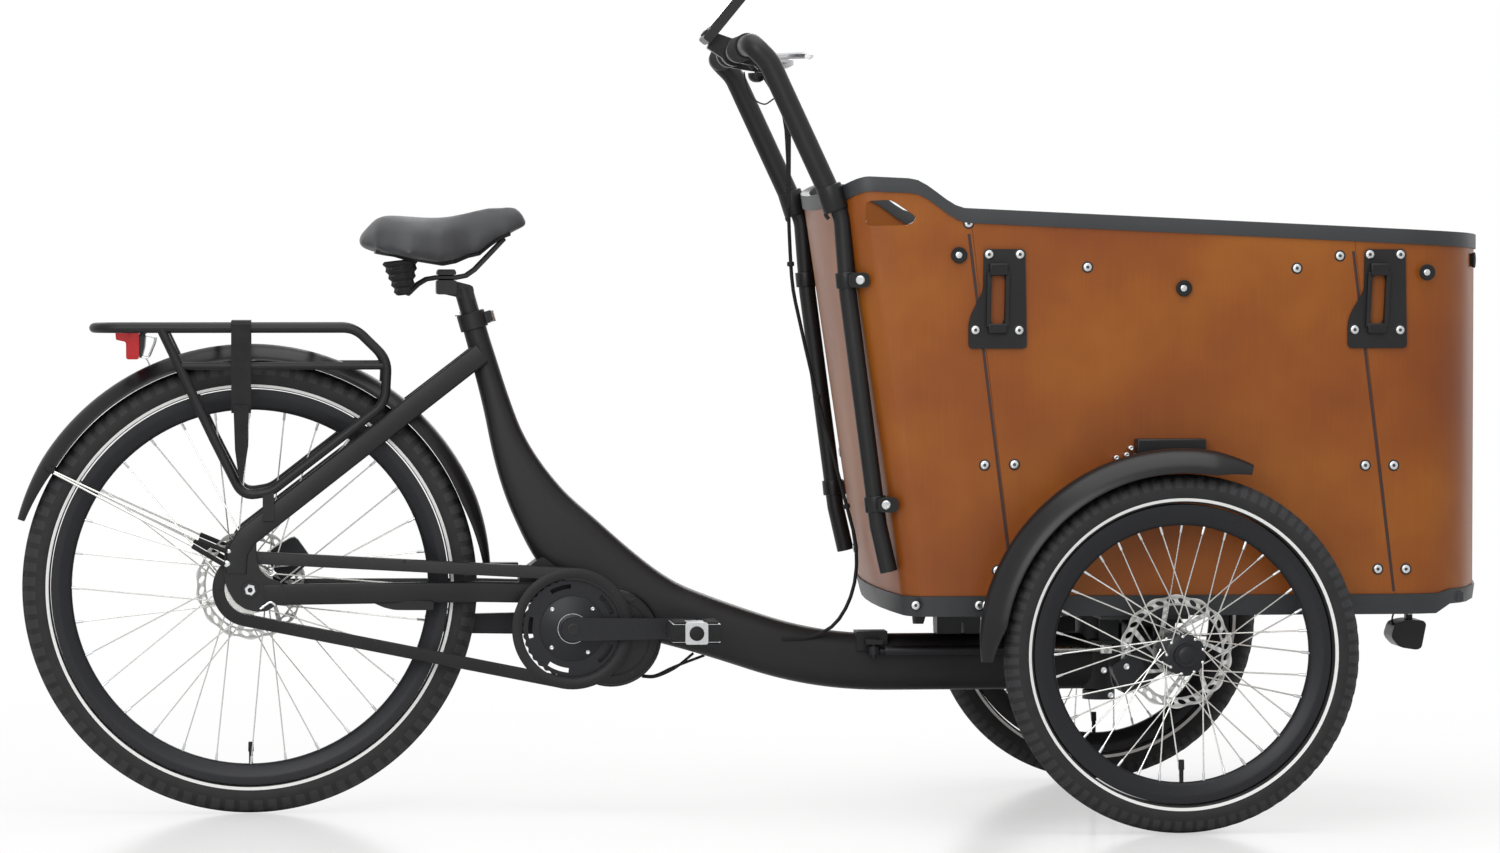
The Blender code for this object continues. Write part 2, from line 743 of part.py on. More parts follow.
FLANGE_HALF = 0.0030
REAR_CENTRE = Vector((0.0, 0.0, REAR_TYRE_RADIUS))
BARREL_RADIUS = 0.0165
ROTOR_MOUNT_Y = 0.0475
tyre("rear_tyre", REAR_CENTRE, REAR_TYRE_RADIUS, REAR_BEAD_RADIUS, "rear wheel axis", REAR_SEGMENTS)
wheel(
    "rear_wheel", REAR_CENTRE, REAR_BEAD_RADIUS,
    [
        (-HUB_HALF, BARREL_RADIUS), (-FLANGE_OFFSET - FLANGE_HALF, BARREL_RADIUS),
        (-FLANGE_OFFSET - FLANGE_HALF, FLANGE_RADIUS), (-FLANGE_OFFSET + FLANGE_HALF, FLANGE_RADIUS),
        (-FLANGE_OFFSET + 0.004, 0.016), (FLANGE_OFFSET - 0.004, 0.016),
        (FLANGE_OFFSET - FLANGE_HALF, FLANGE_RADIUS), (FLANGE_OFFSET + FLANGE_HALF, FLANGE_RADIUS),
        (FLANGE_OFFSET + FLANGE_HALF, 0.0225), (ROTOR_MOUNT_Y, 0.0225), (ROTOR_MOUNT_Y, 0.012),
        (HUB_HALF, 0.012),
    ],
    (-HUB_HALF - 0.002, HUB_HALF + 0.002, AXLE_RADIUS + SEAT_GAP), "rear wheel axis", REAR_SEGMENTS,
    REAR_SPOKES_PER_FLANGE,
)
rotor("rear_rotor", REAR_CENTRE, ROTOR_MOUNT_Y + SEAT_GAP, 0.012 + SEAT_GAP, "rear wheel axis")
NUT_THICKNESS = 0.008
AXLE_HALF = DROPOUT_FACE + DROPOUT_THICKNESS + SEAT_GAP
rear_axle = turned(Vector((0.0, -AXLE_HALF - NUT_THICKNESS, REAR_TYRE_RADIUS)), (0.0, 1.0, 0.0), [
    (0.0, 0.0085), (NUT_THICKNESS, 0.0095), (NUT_THICKNESS, AXLE_RADIUS),
    (NUT_THICKNESS + 2.0 * AXLE_HALF, AXLE_RADIUS), (NUT_THICKNESS + 2.0 * AXLE_HALF, 0.0095),
    (2.0 * NUT_THICKNESS + 2.0 * AXLE_HALF, 0.0085),
], 12)
mounted("rear_axle", rear_axle, "polished steel", "bike")

FRONT_HUB_INNER = -0.047
FRONT_HUB_OUTER = 0.042


def front_wheel(word, side):
    centre = Vector((FRONT_AXLE_X, side * WHEEL_TRACK_HALF, FRONT_TYRE_RADIUS))
    carrier = word + " wheel axis"
    tyre(word + "_front_tyre", centre, FRONT_TYRE_RADIUS, FRONT_BEAD_RADIUS, carrier, FRONT_SEGMENTS)
    steps = [
        (FRONT_HUB_INNER, 0.0155), (FRONT_HUB_INNER + 0.004, 0.0225), (-FLANGE_OFFSET - 0.003, 0.0225),
        (-FLANGE_OFFSET - FLANGE_HALF, FLANGE_RADIUS), (-FLANGE_OFFSET + FLANGE_HALF, FLANGE_RADIUS),
        (-FLANGE_OFFSET + 0.004, 0.0165), (FLANGE_OFFSET - 0.004, 0.0165),
        (FLANGE_OFFSET - FLANGE_HALF, FLANGE_RADIUS), (FLANGE_OFFSET + FLANGE_HALF, FLANGE_RADIUS),
        (FLANGE_OFFSET + 0.003, 0.017), (FRONT_HUB_OUTER - 0.003, 0.017), (FRONT_HUB_OUTER, 0.014),
    ]
    bore = (FRONT_HUB_INNER - 0.002, FLANGE_OFFSET, STUB_RADIUS + SEAT_GAP)
    if side < 0.0:
        steps = [(-distance, radius) for distance, radius in reversed(steps)]
        bore = (-bore[1], -bore[0], bore[2])
    wheel(word + "_front_wheel", centre, FRONT_BEAD_RADIUS, steps, bore, carrier, FRONT_SEGMENTS,
          FRONT_SPOKES_PER_FLANGE)


def front_rotor(word, side):
    centre = Vector((FRONT_AXLE_X, 0.0, FRONT_TYRE_RADIUS))
    inner_face = side * (WHEEL_TRACK_HALF + FRONT_HUB_INNER + 0.004)
    start = inner_face - SEAT_GAP - ROTOR_THICKNESS if side > 0.0 else inner_face + SEAT_GAP
    rotor(word + "_front_rotor", centre, start, 0.0225 + SEAT_GAP, word + " wheel axis")


sides_of(front_wheel)
sides_of(front_rotor)


# Frame tube with the steering pivot.

def spine_points():
    down = Vector((math.sin(SEAT_LEAN), 0.0, -math.cos(SEAT_LEAN)))
    foot = SEAT_TUBE_TOP + down * SEAT_TUBE_LENGTH
    slope = (SPINE_BEND - SPINE_WAIST).normalized()
    line = [SEAT_TUBE_TOP, SEAT_TUBE_TOP + down * 0.050, SEAT_TUBE_TOP + down * 0.110]
    line += sweep_curve(foot, foot + down * 0.130, SPINE_WAIST - slope * 0.130, SPINE_WAIST, 11)
    level = Vector((1.0, 0.0, 0.0))
    line += sweep_curve(SPINE_BEND, SPINE_BEND + slope * 0.070, SPINE_LEVEL - level * 0.070, SPINE_LEVEL, 5)
    line += [Vector((STEERING_X - 0.010, 0.0, SPINE_LEVEL.z))]
    return line


SPINE_DEPTHS = [
    (0.0, SEAT_TUBE_RADIUS), (0.05, 0.0172), (0.169, 0.0225), (0.29, 0.040), (0.37, 0.053),
    (0.45, 0.054), (0.57, 0.0435), (0.68, SPINE_HALF_DEPTH),
]
SPINE_WIDTHS = [(0.0, SEAT_TUBE_RADIUS), (0.05, 0.0172), (0.17, 0.021), (0.37, 0.029),
                (0.60, SPINE_HALF_WIDTH)]
SPINE_POWERS = [(0.0, 2.0), (0.08, 2.0), (0.32, 3.4)]


def spine():
    points = spine_points()
    travelled = [0.0]
    for a, b in zip(points, points[1:]):
        travelled.append(travelled[-1] + (b - a).length)
    depths = [blended(SPINE_DEPTHS, d) for d in travelled]
    widths = [blended(SPINE_WIDTHS, d) for d in travelled]
    powers = [blended(SPINE_POWERS, d) for d in travelled]
    body = swept(points, depths, widths, powers, 14)
    heel = prism([(0.386, 0.304), (0.386, 0.345), (0.420, 0.370), (0.470, 0.330), (0.445, 0.304)], -0.027,
                 0.027)
    pivot_tube = turned((STEERING_X, 0.0, PIVOT_TUBE_LOW), (0.0, 0.0, 1.0),
                        [(0.0, PIVOT_TUBE_RADIUS), (PIVOT_TUBE_HIGH - PIVOT_TUBE_LOW, PIVOT_TUBE_RADIUS)], 24)
    x, y, z = DAMPER_PIVOT
    band = block(x - 0.0225, x + 0.0225, -0.0385, 0.004, 0.2312, 0.2590, 0.004)
    shelf = slab([(x - 0.012, -0.030), (x + 0.012, -0.030)] + arc(x, y, 0.012, 0.0, -math.pi, 6), 0.2425,
                 0.2490)
    pin = turned((x, y, 0.2222), (0.0, 0.0, 1.0), [(0.0, 0.004), (0.024, 0.004)], 12)
    whole = joined(body, heel, pivot_tube, band, shelf, pin)
    down = Vector((math.sin(SEAT_LEAN), 0.0, -math.cos(SEAT_LEAN)))
    seat_bore = turned(SEAT_TUBE_TOP - down * 0.005, down,
                       [(0.0, POST_RADIUS + SEAT_GAP), (0.245, POST_RADIUS + SEAT_GAP)], 16)
    pin_bore = turned((STEERING_X, 0.0, 0.150), (0.0, 0.0, 1.0),
                      [(0.0, bore_of(KINGPIN_RADIUS, 16)), (0.150, bore_of(KINGPIN_RADIUS, 16))], 16)
    motor_room = prism(belt(CRANK_AXIS, MOTOR_NECK_RADIUS + SEAT_GAP, MOTOR_CENTRE, MOTOR_RADIUS + SEAT_GAP,
                            14),
                       -0.10, 0.10)
    mounted("frame_spine", cut(whole, seat_bore, pin_bore, motor_room), "black paint", "bike")


spine()


# Rear stays, one for each side.

def stay(word, side):
    tip = Vector((0.3330, side * 0.0246, 0.6635))
    top = Vector((0.3130, side * 0.0246, 0.6480))
    seat_low = Vector((-0.0060, side * 0.0685, 0.4010))
    chain_front = Vector((0.4080, side * 0.0336, 0.3180))
    chain_mid = Vector((0.3300, side * 0.0380, 0.3200))
    chain_low = Vector((0.0200, side * 0.0685, 0.3190))
    knee = Vector((-0.0185, side * 0.0685, 0.3800))
    seat_end = Vector((-0.0200, side * 0.0685, 0.3500))
    seat_line = [tip, top, top.lerp(seat_low, 0.5), seat_low + (top - seat_low) * 0.05, seat_low, knee,
                 seat_end]
    seat_stay = flat_bar(seat_line, 0.0155, STAY_HALF_THICKNESS)
    chain_line = [chain_front, chain_mid, chain_mid.lerp(chain_low, 0.5), chain_low]
    chain_stay = flat_bar(chain_line, 0.0150, STAY_HALF_THICKNESS)
    plate_start = Vector((-0.003, side * DROPOUT_FACE, REAR_TYRE_RADIUS))
    plate = turned(plate_start, (0.0, side, 0.0),
                   [(0.0, DROPOUT_RADIUS), (DROPOUT_THICKNESS - 0.0015, DROPOUT_RADIUS),
                    (DROPOUT_THICKNESS, DROPOUT_RADIUS - 0.0015)], 22)
    hole = turned((0.0, side * (DROPOUT_FACE - 0.01), REAR_TYRE_RADIUS), (0.0, side, 0.0),
                  [(0.0, AXLE_RADIUS + SEAT_GAP), (0.03, AXLE_RADIUS + SEAT_GAP)], 12)
    clear = turned((0.0, side * 0.030, REAR_TYRE_RADIUS), (0.0, side, 0.0),
                   [(0.0, 0.058), (DROPOUT_FACE - 0.030, 0.058)], 22)
    mounted(word + "_stay", cut(joined(plate, seat_stay, chain_stay), hole, clear), "black paint", "bike")


sides_of(stay)


# Seat collar, post and saddle.

SEAT_UP = Vector((-math.sin(SEAT_LEAN), 0.0, math.cos(SEAT_LEAN)))
SEAT_FORE = Vector((math.cos(SEAT_LEAN), 0.0, math.sin(SEAT_LEAN)))


def seat_parts():
    base = SEAT_TUBE_TOP - SEAT_UP * COLLAR_HEIGHT
    ring = turned(base, SEAT_UP, [(0.0, COLLAR_RADIUS - 0.001), (0.001, COLLAR_RADIUS),
                                  (COLLAR_HEIGHT - 0.001, COLLAR_RADIUS), (COLLAR_HEIGHT,
                                                                           COLLAR_RADIUS - 0.001)], 20)
    ear_low = base + SEAT_UP * 0.004
    ear = []
    for along in (0.012, 0.029):
        for up in (0.0, 0.016):
            ear.append((ear_low + SEAT_FORE * along + SEAT_UP * up))
    outline = [(ear[0].x, ear[0].z), (ear[1].x, ear[1].z), (ear[3].x, ear[3].z), (ear[2].x, ear[2].z)]
    lug = prism(outline, -0.008, 0.008)
    bore = turned(base - SEAT_UP * 0.002, SEAT_UP,
                  [(0.0, SEAT_TUBE_RADIUS + 2.0 * SEAT_GAP),
                   (COLLAR_HEIGHT + 0.004, SEAT_TUBE_RADIUS + 2.0 * SEAT_GAP)], 20)
    slit_mid = base + SEAT_FORE * 0.024
    slit = prism([
        (slit_mid.x - 0.012, slit_mid.z - 0.02), (slit_mid.x + 0.025, slit_mid.z - 0.01),
        (slit_mid.x + 0.015, slit_mid.z + 0.05), (slit_mid.x - 0.020, slit_mid.z + 0.05),
    ], -0.0012, 0.0012)
    mounted("seat_collar", cut(joined(ring, lug), bore, slit), "black paint", "bike")
    lever_at = PIVOTS["seat lever axis"]
    barrel = turned(lever_at - SEAT_UP * 0.0080, SEAT_UP, [(0.0, 0.0075), (0.0160, 0.0075)], 12)
    arm = tube(bend([lever_at, lever_at + Vector((-0.012, 0.0125, 0.004)),
                     lever_at + Vector((-0.050, 0.0130, 0.004))],
                    0.006, 2), 0.0036, 6)
    mounted("seat_lever", joined(barrel, arm), "polished steel", "seat lever axis")
    post_low = SEAT_TUBE_TOP - SEAT_UP * POST_INSERT
    post = turned(post_low, SEAT_UP, [(0.0, POST_RADIUS), (POST_INSERT + 0.036, POST_RADIUS)], 20)
    head_x, head_z = 0.2824, 0.7600
    neck = prism(rounded([(head_x - 0.013, head_z - 0.010), (0.322, 0.738), (0.322, 0.760),
                          (head_x, head_z + 0.010)], 0.006),
                 -0.012, 0.012)
    cradle = prism(rounded([(head_x - 0.0145, head_z - 0.0125), (head_x + 0.0145, head_z - 0.0125),
                            (head_x + 0.0145, RAIL_Z - RAIL_RADIUS - SEAT_GAP),
                            (head_x - 0.0145, RAIL_Z - RAIL_RADIUS - SEAT_GAP)], 0.003), -0.027, 0.027)
    web = block(head_x - 0.011, head_x + 0.011, -0.016, 0.016, head_z, RAIL_Z + RAIL_RADIUS + 0.003)
    cap = prism(rounded([(head_x - 0.0145, RAIL_Z + RAIL_RADIUS + SEAT_GAP),
                         (head_x + 0.0145, RAIL_Z + RAIL_RADIUS + SEAT_GAP),
                         (head_x + 0.0125, RAIL_Z + 0.012), (head_x - 0.0125,
                                                             RAIL_Z + 0.012)], 0.003), -0.027, 0.027)
    mounted("seatpost", joined(post, neck, cradle, web, cap), "black paint", "seat slide")


seat_parts()

SADDLE_REAR_X = 0.1545
SADDLE_NOSE_X = 0.4005
SADDLE_TOPS = [(0.0, 0.832), (0.035, 0.8615), (0.11, 0.8580), (0.222, 0.8770), (0.236, 0.8735),
               (0.246, 0.8540)]
SADDLE_BOTTOMS = [(0.0, 0.8170), (0.04, 0.8080), (0.085, 0.7990), (0.125, 0.7930), (0.176, 0.8080),
                  (0.205, 0.8310), (0.246, 0.8480)]
SADDLE_HALVES = [(0.0, 0.045), (0.030, 0.088), (0.070, 0.102), (0.110, 0.078), (0.160, 0.035),
                 (0.215, 0.0225), (0.246, 0.010)]


def saddle_ring(distance, top, bottom, half):
    """One slice of the cushion: a crowned top with a shallow channel, drooping wings and a level underside."""
    x = SADDLE_REAR_X + distance
    height = top - bottom
    ring = []
    count = 11
    for i in range(count):
        u = -1.0 + 2.0 * i / (count - 1)
        side = math.copysign(abs(u) ** 0.85, u)
        crown = (1.0 - abs(side) ** 2.6) ** 0.5 if abs(side) < 1.0 else 0.0
        channel = 0.0035 * math.exp(-(side / 0.22) ** 2) if 0.02 < distance < 0.21 else 0.0
        ring.append(Vector((x, half * side, bottom + 0.004 + (height - 0.004) * crown - channel)))
    for u in (0.94, 0.5, 0.0, -0.5, -0.94):
        ring.append(Vector((x, half * u, bottom)))
    return ring


def saddle():
    length = SADDLE_NOSE_X - SADDLE_REAR_X
    rings = []
    steps = 16
    stations = [length * (i / steps - 0.03 * math.sin(2.0 * math.pi * i / steps)) for i in range(steps + 1)]
    for distance in stations:
        rings.append(saddle_ring(distance, blended(SADDLE_TOPS, distance), blended(SADDLE_BOTTOMS, distance),
                                 blended(SADDLE_HALVES, distance)))
    mounted("saddle_cushion", shell(rings), "saddle cover", "seat slide", 60.0)
    plates = []
    for distance in stations[2:-2]:
        z = blended(SADDLE_BOTTOMS, distance) - SEAT_GAP
        half = blended(SADDLE_HALVES, distance) * 0.80
        plates.append([Vector((SADDLE_REAR_X + distance, half * u, z - drop))
                       for u, drop in ((-1.0, 0.0), (-0.5, 0.0), (0.5, 0.0), (1.0, 0.0), (0.92, 0.004),
                                       (-0.92, 0.004))])
    base = shell(plates)
    rails = []
    for side in (-1.0, 1.0):
        y = side * RAIL_SPREAD
        rails.append(tube(bend([
            (0.366, side * 0.008, 0.8280), (0.345, y * 0.8, 0.8060), (0.312, y, RAIL_Z), (0.252, y, RAIL_Z),
            (0.226, side * 0.042, 0.7480),
        ], 0.016, 2), RAIL_RADIUS, 6))
    springs = []
    for side in (-1.0, 1.0):
        low = Vector((0.2218, side * 0.050, 0.7470))
        high = Vector((0.2157, side * 0.050, 0.7985))
        steps = []
        span = (high - low).length
        for k in range(BELLOWS_RIBS):
            share = k / (BELLOWS_RIBS - 1)
            widest = BELLOWS_FOOT_RADIUS + (BELLOWS_HEAD_RADIUS - BELLOWS_FOOT_RADIUS) * share
            at = span * (k + 0.20) / BELLOWS_RIBS
            steps += [(at, widest - BELLOWS_FOLD), (at + span * 0.40 / BELLOWS_RIBS, widest)]
        springs.append(turned(low, high - low, steps, 8))
    mounted("saddle_base", joined(base, *rails, *springs), "black plastic", "seat slide", 40.0)


saddle()


# Motor, cranks, chain and chain case.

def motor():
    outline = belt(CRANK_AXIS, MOTOR_NECK_RADIUS, MOTOR_CENTRE, MOTOR_RADIUS, 14)
    case = prism(outline, MOTOR_RIGHT + 0.006, MOTOR_LEFT - 0.008)
    right_cover = turned((MOTOR_CENTRE.x, MOTOR_RIGHT + 0.010, MOTOR_CENTRE.z), (0.0, -1.0, 0.0),
                         [(0.0, MOTOR_RADIUS - 0.002), (0.007, MOTOR_RADIUS - 0.003),
                          (0.010, MOTOR_RADIUS - 0.008)], 24)
    left_cover = turned((MOTOR_CENTRE.x, MOTOR_LEFT - 0.010, MOTOR_CENTRE.z), (0.0, 1.0, 0.0),
                        [(0.0, MOTOR_RADIUS - 0.004), (0.008, MOTOR_RADIUS - 0.006),
                         (0.010, MOTOR_RADIUS - 0.012)], 20)
    bore = turned((CRANK_AXIS.x, -0.08, CRANK_AXIS.z), (0.0, 1.0, 0.0),
                  [(0.0, SPINDLE_RADIUS + RUN_GAP), (0.16, SPINDLE_RADIUS + RUN_GAP)], 14)
    mounted("motor_housing", cut(joined(case, right_cover, left_cover), bore), "black plastic", "bike")


def chain_band(front_outer, rear_outer, depth, half_width):
    """A closed loop of even depth round the chainring and the sprocket."""
    outline = belt(REAR_CENTRE, rear_outer, CRANK_AXIS, front_outer, BELT_STEPS)
    opening = belt(REAR_CENTRE, rear_outer - depth, CRANK_AXIS, front_outer - depth, BELT_STEPS)
    longer = half_width + CUT_REACH
    return cut(prism(outline, CHAIN_Y - half_width, CHAIN_Y + half_width),
               prism(opening, CHAIN_Y - longer, CHAIN_Y + longer))


CHAINRING_PITCH_RADIUS = CHAIN_PITCH * CHAINRING_TEETH / (2.0 * math.pi)
SPROCKET_PITCH_RADIUS = CHAIN_PITCH * SPROCKET_TEETH / (2.0 * math.pi)
FACET_SHARE = math.cos(0.6 * math.pi / BELT_STEPS)
CHAINRING_RADIUS = (CHAINRING_PITCH_RADIUS - CHAIN_HALF_HEIGHT) * FACET_SHARE - SEAT_GAP
SPROCKET_RADIUS = (SPROCKET_PITCH_RADIUS - CHAIN_HALF_HEIGHT) * FACET_SHARE - SEAT_GAP


def chain_parts():
    chain = chain_band(CHAINRING_PITCH_RADIUS + CHAIN_HALF_HEIGHT, SPROCKET_PITCH_RADIUS + CHAIN_HALF_HEIGHT,
                       2.0 * CHAIN_HALF_HEIGHT, CHAIN_HALF_WIDTH)
    mounted("chain", chain, "polished steel", "bike")
    case = chain_band(CASE_FRONT_RADIUS, CASE_REAR_RADIUS, CASE_BAND, CASE_HALF_WIDTH)
    room = chain_band(CASE_FRONT_RADIUS - CASE_WALL, CASE_REAR_RADIUS - CASE_WALL, CASE_BAND + CASE_WALL,
                      CASE_HALF_WIDTH - CASE_WALL)
    mounted("chain_case", cut(case, room), "black plastic", "bike")


def chainring():
    start = Vector((CRANK_AXIS.x, CHAIN_Y - 0.0015, CRANK_AXIS.z))
    disc = turned(start, (0.0, 1.0, 0.0), [(0.0, CHAINRING_RADIUS), (0.003, CHAINRING_RADIUS)], 30)
    raised = turned(start + Vector((0.0, 0.001, 0.0)), (0.0, -1.0, 0.0),
                    [(0.0, 0.047), (0.004, 0.046), (0.004, 0.021),
                                                                        (0.0095, 0.020)], 16)
    spindle = turned((CRANK_AXIS.x, -0.075, CRANK_AXIS.z), (0.0, 1.0, 0.0),
                     [(0.0, SPINDLE_RADIUS), (0.150, SPINDLE_RADIUS)], 14)
    slots = []
    for k in range(5):
        start_turn = 2.0 * math.pi * k / 5 + 0.35
        end_turn = start_turn + 0.50
        outer = arc(CRANK_AXIS.x, CRANK_AXIS.z, 0.0640, start_turn, end_turn, 2)
        inner = arc(CRANK_AXIS.x, CRANK_AXIS.z, 0.0575, end_turn, start_turn, 2)
        slots.append(prism(outer + inner, CHAIN_Y - 0.01, CHAIN_Y + 0.01))
    mounted("chainring", cut(joined(disc, raised, spindle), gathered(slots)), "black paint", "crank axis")


def crank(word, side):
    """A crank arm with its eye, its tapered arm and the pedal pin."""
    ahead = -side
    end_x = CRANK_AXIS.x + ahead * CRANK_LENGTH
    inner = side * CRANK_FACE
    outer = side * (CRANK_FACE + CRANK_THICKNESS)
    outline = belt(CRANK_AXIS, 0.0170, Vector((end_x, 0.0, CRANK_AXIS.z)), 0.0140, 8)
    arm = prism(outline, inner, outer)
    pin = turned((end_x, inner + side * 0.004, CRANK_AXIS.z), (0.0, side, 0.0),
                 [(0.0, 0.006), (CRANK_THICKNESS + PEDAL_LENGTH - 0.010, 0.006)], 14)
    bore = turned((CRANK_AXIS.x, inner - side * 0.002, CRANK_AXIS.z), (0.0, side, 0.0),
                  [(0.0, SPINDLE_RADIUS + SEAT_GAP),
                   (CRANK_THICKNESS + 0.004, SPINDLE_RADIUS + SEAT_GAP)], 14)
    mounted(word + "_crank", cut(joined(arm, pin), bore), "black paint", "crank axis")
    start = abs(outer) + 0.002
    low = CRANK_AXIS.z - PEDAL_DEPTH / 2.0
    high = CRANK_AXIS.z + PEDAL_DEPTH / 2.0
    left = end_x - PEDAL_REACH / 2.0
    right = end_x + PEDAL_REACH / 2.0
    body = prism(rounded([(left, low + 0.003), (right, low + 0.003), (right, high - 0.003),
                          (left, high - 0.003)], 0.008),
                 side * start, side * (start + PEDAL_LENGTH))
    tread = gathered([
        prism(rounded([(left + shift, low), (left + shift + 0.018, low), (left + shift + 0.018, high),
                       (left + shift, high)], 0.004), side * (start + 0.008), side * (start + PEDAL_LENGTH - 0.008))
        for shift in (0.004, PEDAL_REACH - 0.022)
    ])
    pin_hole = turned((end_x, side * (start - 0.001), CRANK_AXIS.z), (0.0, side, 0.0),
                      [(0.0, 0.006 + SEAT_GAP), (PEDAL_LENGTH - 0.004, 0.006 + SEAT_GAP)], 14)
    windows = gathered([
        block(end_x + shift - 0.006, end_x + shift + 0.006,
              *sorted((side * (start + 0.014), side * (start + 0.080))),
              low - 0.01, high + 0.01)
        for shift in (-0.0155, 0.0155)
    ])
    mounted(word + "_pedal", cut(joined(body, tread), pin_hole, windows), "black rubber",
            word + " pedal axis")


def sprocket():
    centre = REAR_CENTRE + Vector((0.0, CHAIN_Y, 0.0))
    profile = [(BARREL_RADIUS + 0.001, -0.0015), (SPROCKET_RADIUS, -0.0015), (SPROCKET_RADIUS, 0.0015),
               (0.024, 0.0020), (0.024, 0.012), (BARREL_RADIUS + 0.001, 0.012)]
    mounted("sprocket", ring_body(centre, profile, 24), "polished steel", "sprocket axis")


motor()
chain_parts()
chainring()
sides_of(crank)
sprocket()


# Rear mudguard, rack, strap, lamp and brake.

def guard_strip(centre, radius, start, end, half, skirt, thickness, steps):
    """An arched strip bent round a wheel; its ends taper and its skirts fade out there."""
    rings = []
    for i in range(steps + 1):
        t = i / steps
        turn = math.radians(start + (end - start) * t)
        outward = Vector((math.cos(turn), 0.0, math.sin(turn)))
        share = min(1.0, 0.40 + 6.0 * min(t, 1.0 - t))
        ring = []
        for u, skin in ((-1.0, 0.0), (-0.5, 0.0), (0.5, 0.0), (1.0, 0.0), (1.0, 1.0), (0.5, 1.0),
                        (-0.5, 1.0), (-1.0, 1.0)):
            fall = skirt * share * (u * u - 0.25) + thickness * skin
            ring.append(centre + outward * (radius - fall) + Vector((0.0, half * share * u, 0.0)))
        rings.append(ring)
    return shell(rings)


def rear_guard():
    strip = guard_strip(REAR_CENTRE, REAR_GUARD_RADIUS, GUARD_END, 5.5, 0.027, REAR_GUARD_SKIRT, 0.0022, 20)
    tab = block(0.334, 0.3856, -0.010, 0.010, 0.3560, 0.3600)
    wires = []
    for side in (-1.0, 1.0):
        y = side * (DROPOUT_FACE + DROPOUT_THICKNESS + SEAT_GAP + 0.002)
        wires.append(tube(bend([(-0.024, y, 0.3450), (-0.060, y, 0.3620), (-0.290, side * 0.0240, 0.4655),
                                (-0.3019, side * 0.0190, 0.4705)], 0.020, 2), 0.002, 5))
    mounted("rear_mudguard", joined(strip, tab, *wires), "black plastic", "bike", 40.0)


RACK_RADIUS = 0.007
RACK_SPREAD = 0.070
RACK_TOP_Z = REAR_TYRE_RADIUS + REAR_GUARD_RADIUS + 0.0285
RACK_TAB_FACE = 0.0709


def rack_side(side):
    """One side of the rack's main tube, from the tail round to where it ends under the top rail."""
    y = side * RACK_SPREAD
    return [
        (-0.2213, y, RACK_TOP_Z), (0.150, y, RACK_TOP_Z), (0.196, y, 0.655), (0.1926, y, 0.592),
        (0.030, y, 0.4665), (-0.010, y, 0.4600), (-0.050, y, 0.5400), (-0.1250, y, RACK_TOP_Z - 0.001),
    ]


def rack():
    parts = [tube(bend(list(reversed(rack_side(1.0))) + rack_side(-1.0), 0.030, 2), RACK_RADIUS, 7)]
    for side in (-1.0, 1.0):
        y = side * RACK_SPREAD
        parts.append(tube([(-0.105, y, 0.646), (0.195, y, 0.646)], RACK_RADIUS * 0.8, 6))
        parts.append(block(0.018, 0.034, *sorted((side * RACK_TAB_FACE, side * 0.0760)), 0.425, 0.468))
    for x in (-0.169, -0.050, 0.100):
        parts.append(tube([(x, -RACK_SPREAD, RACK_TOP_Z), (x, RACK_SPREAD, RACK_TOP_Z)], RACK_RADIUS * 0.75,
                          6))
    first = parts[0]
    mounted("rear_rack", joined(first, *parts[1:]), "black paint", "bike")


def strap():
    """A rubber strap over the rack with a hooked clip at each end."""
    half = RACK_SPREAD + RACK_RADIUS + SEAT_GAP
    top = RACK_TOP_Z + RACK_RADIUS + SEAT_GAP
    skin = 0.0030
    outline = [
        (-half - skin, 0.579), (-half - skin, top - 0.002), (-half + 0.002, top + skin), (half - 0.002,
                                                                                          top + skin),
        (half + skin, top - 0.002), (half + skin, 0.579), (half, 0.579), (half, top - 0.001), (half - 0.002,
                                                                                               top),
        (-half + 0.002, top), (-half, top - 0.001), (-half, 0.579),
    ]
    band = shell([[Vector((x, y, z)) for y, z in outline] for x in (-0.026, 0.002)])
    clips = []
    for side in (-1.0, 1.0):
        clip = prism([(-0.023, 0.590), (-0.001, 0.590), (-0.003, 0.527), (-0.010, 0.482), (-0.015, 0.482),
                      (-0.021, 0.527)], side * half, side * (half + 0.006))
        clips.append(clip)
    mounted("rack_strap", joined(band, *clips), "black rubber", "bike")


def rear_lamp():
    outline = rounded([(-0.191, 0.655), (-0.191, 0.6952), (-0.150, 0.6952), (-0.147, 0.655)], 0.008)
    body = prism(outline, -0.045, 0.045)
    mounted("rear_lamp", body, "red lens", "bike")


rear_guard()
rack()
strap()
rear_lamp()


def caliper_at(name, centre, angle, low, disc_from, inner_y, outer_y, carrier):
    """A brake caliper over the edge of a disc at an angle about its axle."""
    turn = math.radians(angle)
    out = Vector((math.cos(turn), 0.0, math.sin(turn)))
    along = Vector((-out.z, 0.0, out.x))
    corners = []
    for radius, shift in ((low, -0.026), (low, 0.026), (0.094, 0.022), (0.094, -0.022)):
        point = centre + out * radius + along * shift
        corners.append((point.x, point.z))
    body = prism(rounded(corners, 0.008), *sorted((inner_y, outer_y)))
    room = []
    for radius, shift in ((0.020, -0.040), (0.020, 0.040), (0.0835, 0.040), (0.0835, -0.040)):
        point = centre + out * radius + along * shift
        room.append((point.x, point.z))
    slot = prism(room, disc_from - RUN_GAP, disc_from + ROTOR_THICKNESS + RUN_GAP)
    mounted(name, cut(body, slot), "black paint", carrier)


caliper_at("rear_caliper", REAR_CENTRE, 35.0, 0.040, ROTOR_MOUNT_Y + SEAT_GAP, 0.036,
           DROPOUT_FACE - SEAT_GAP, "bike")


# Steered front: floor frame, axle beam and box.

FLOOR_INSET = PANEL_THICKNESS + 0.002


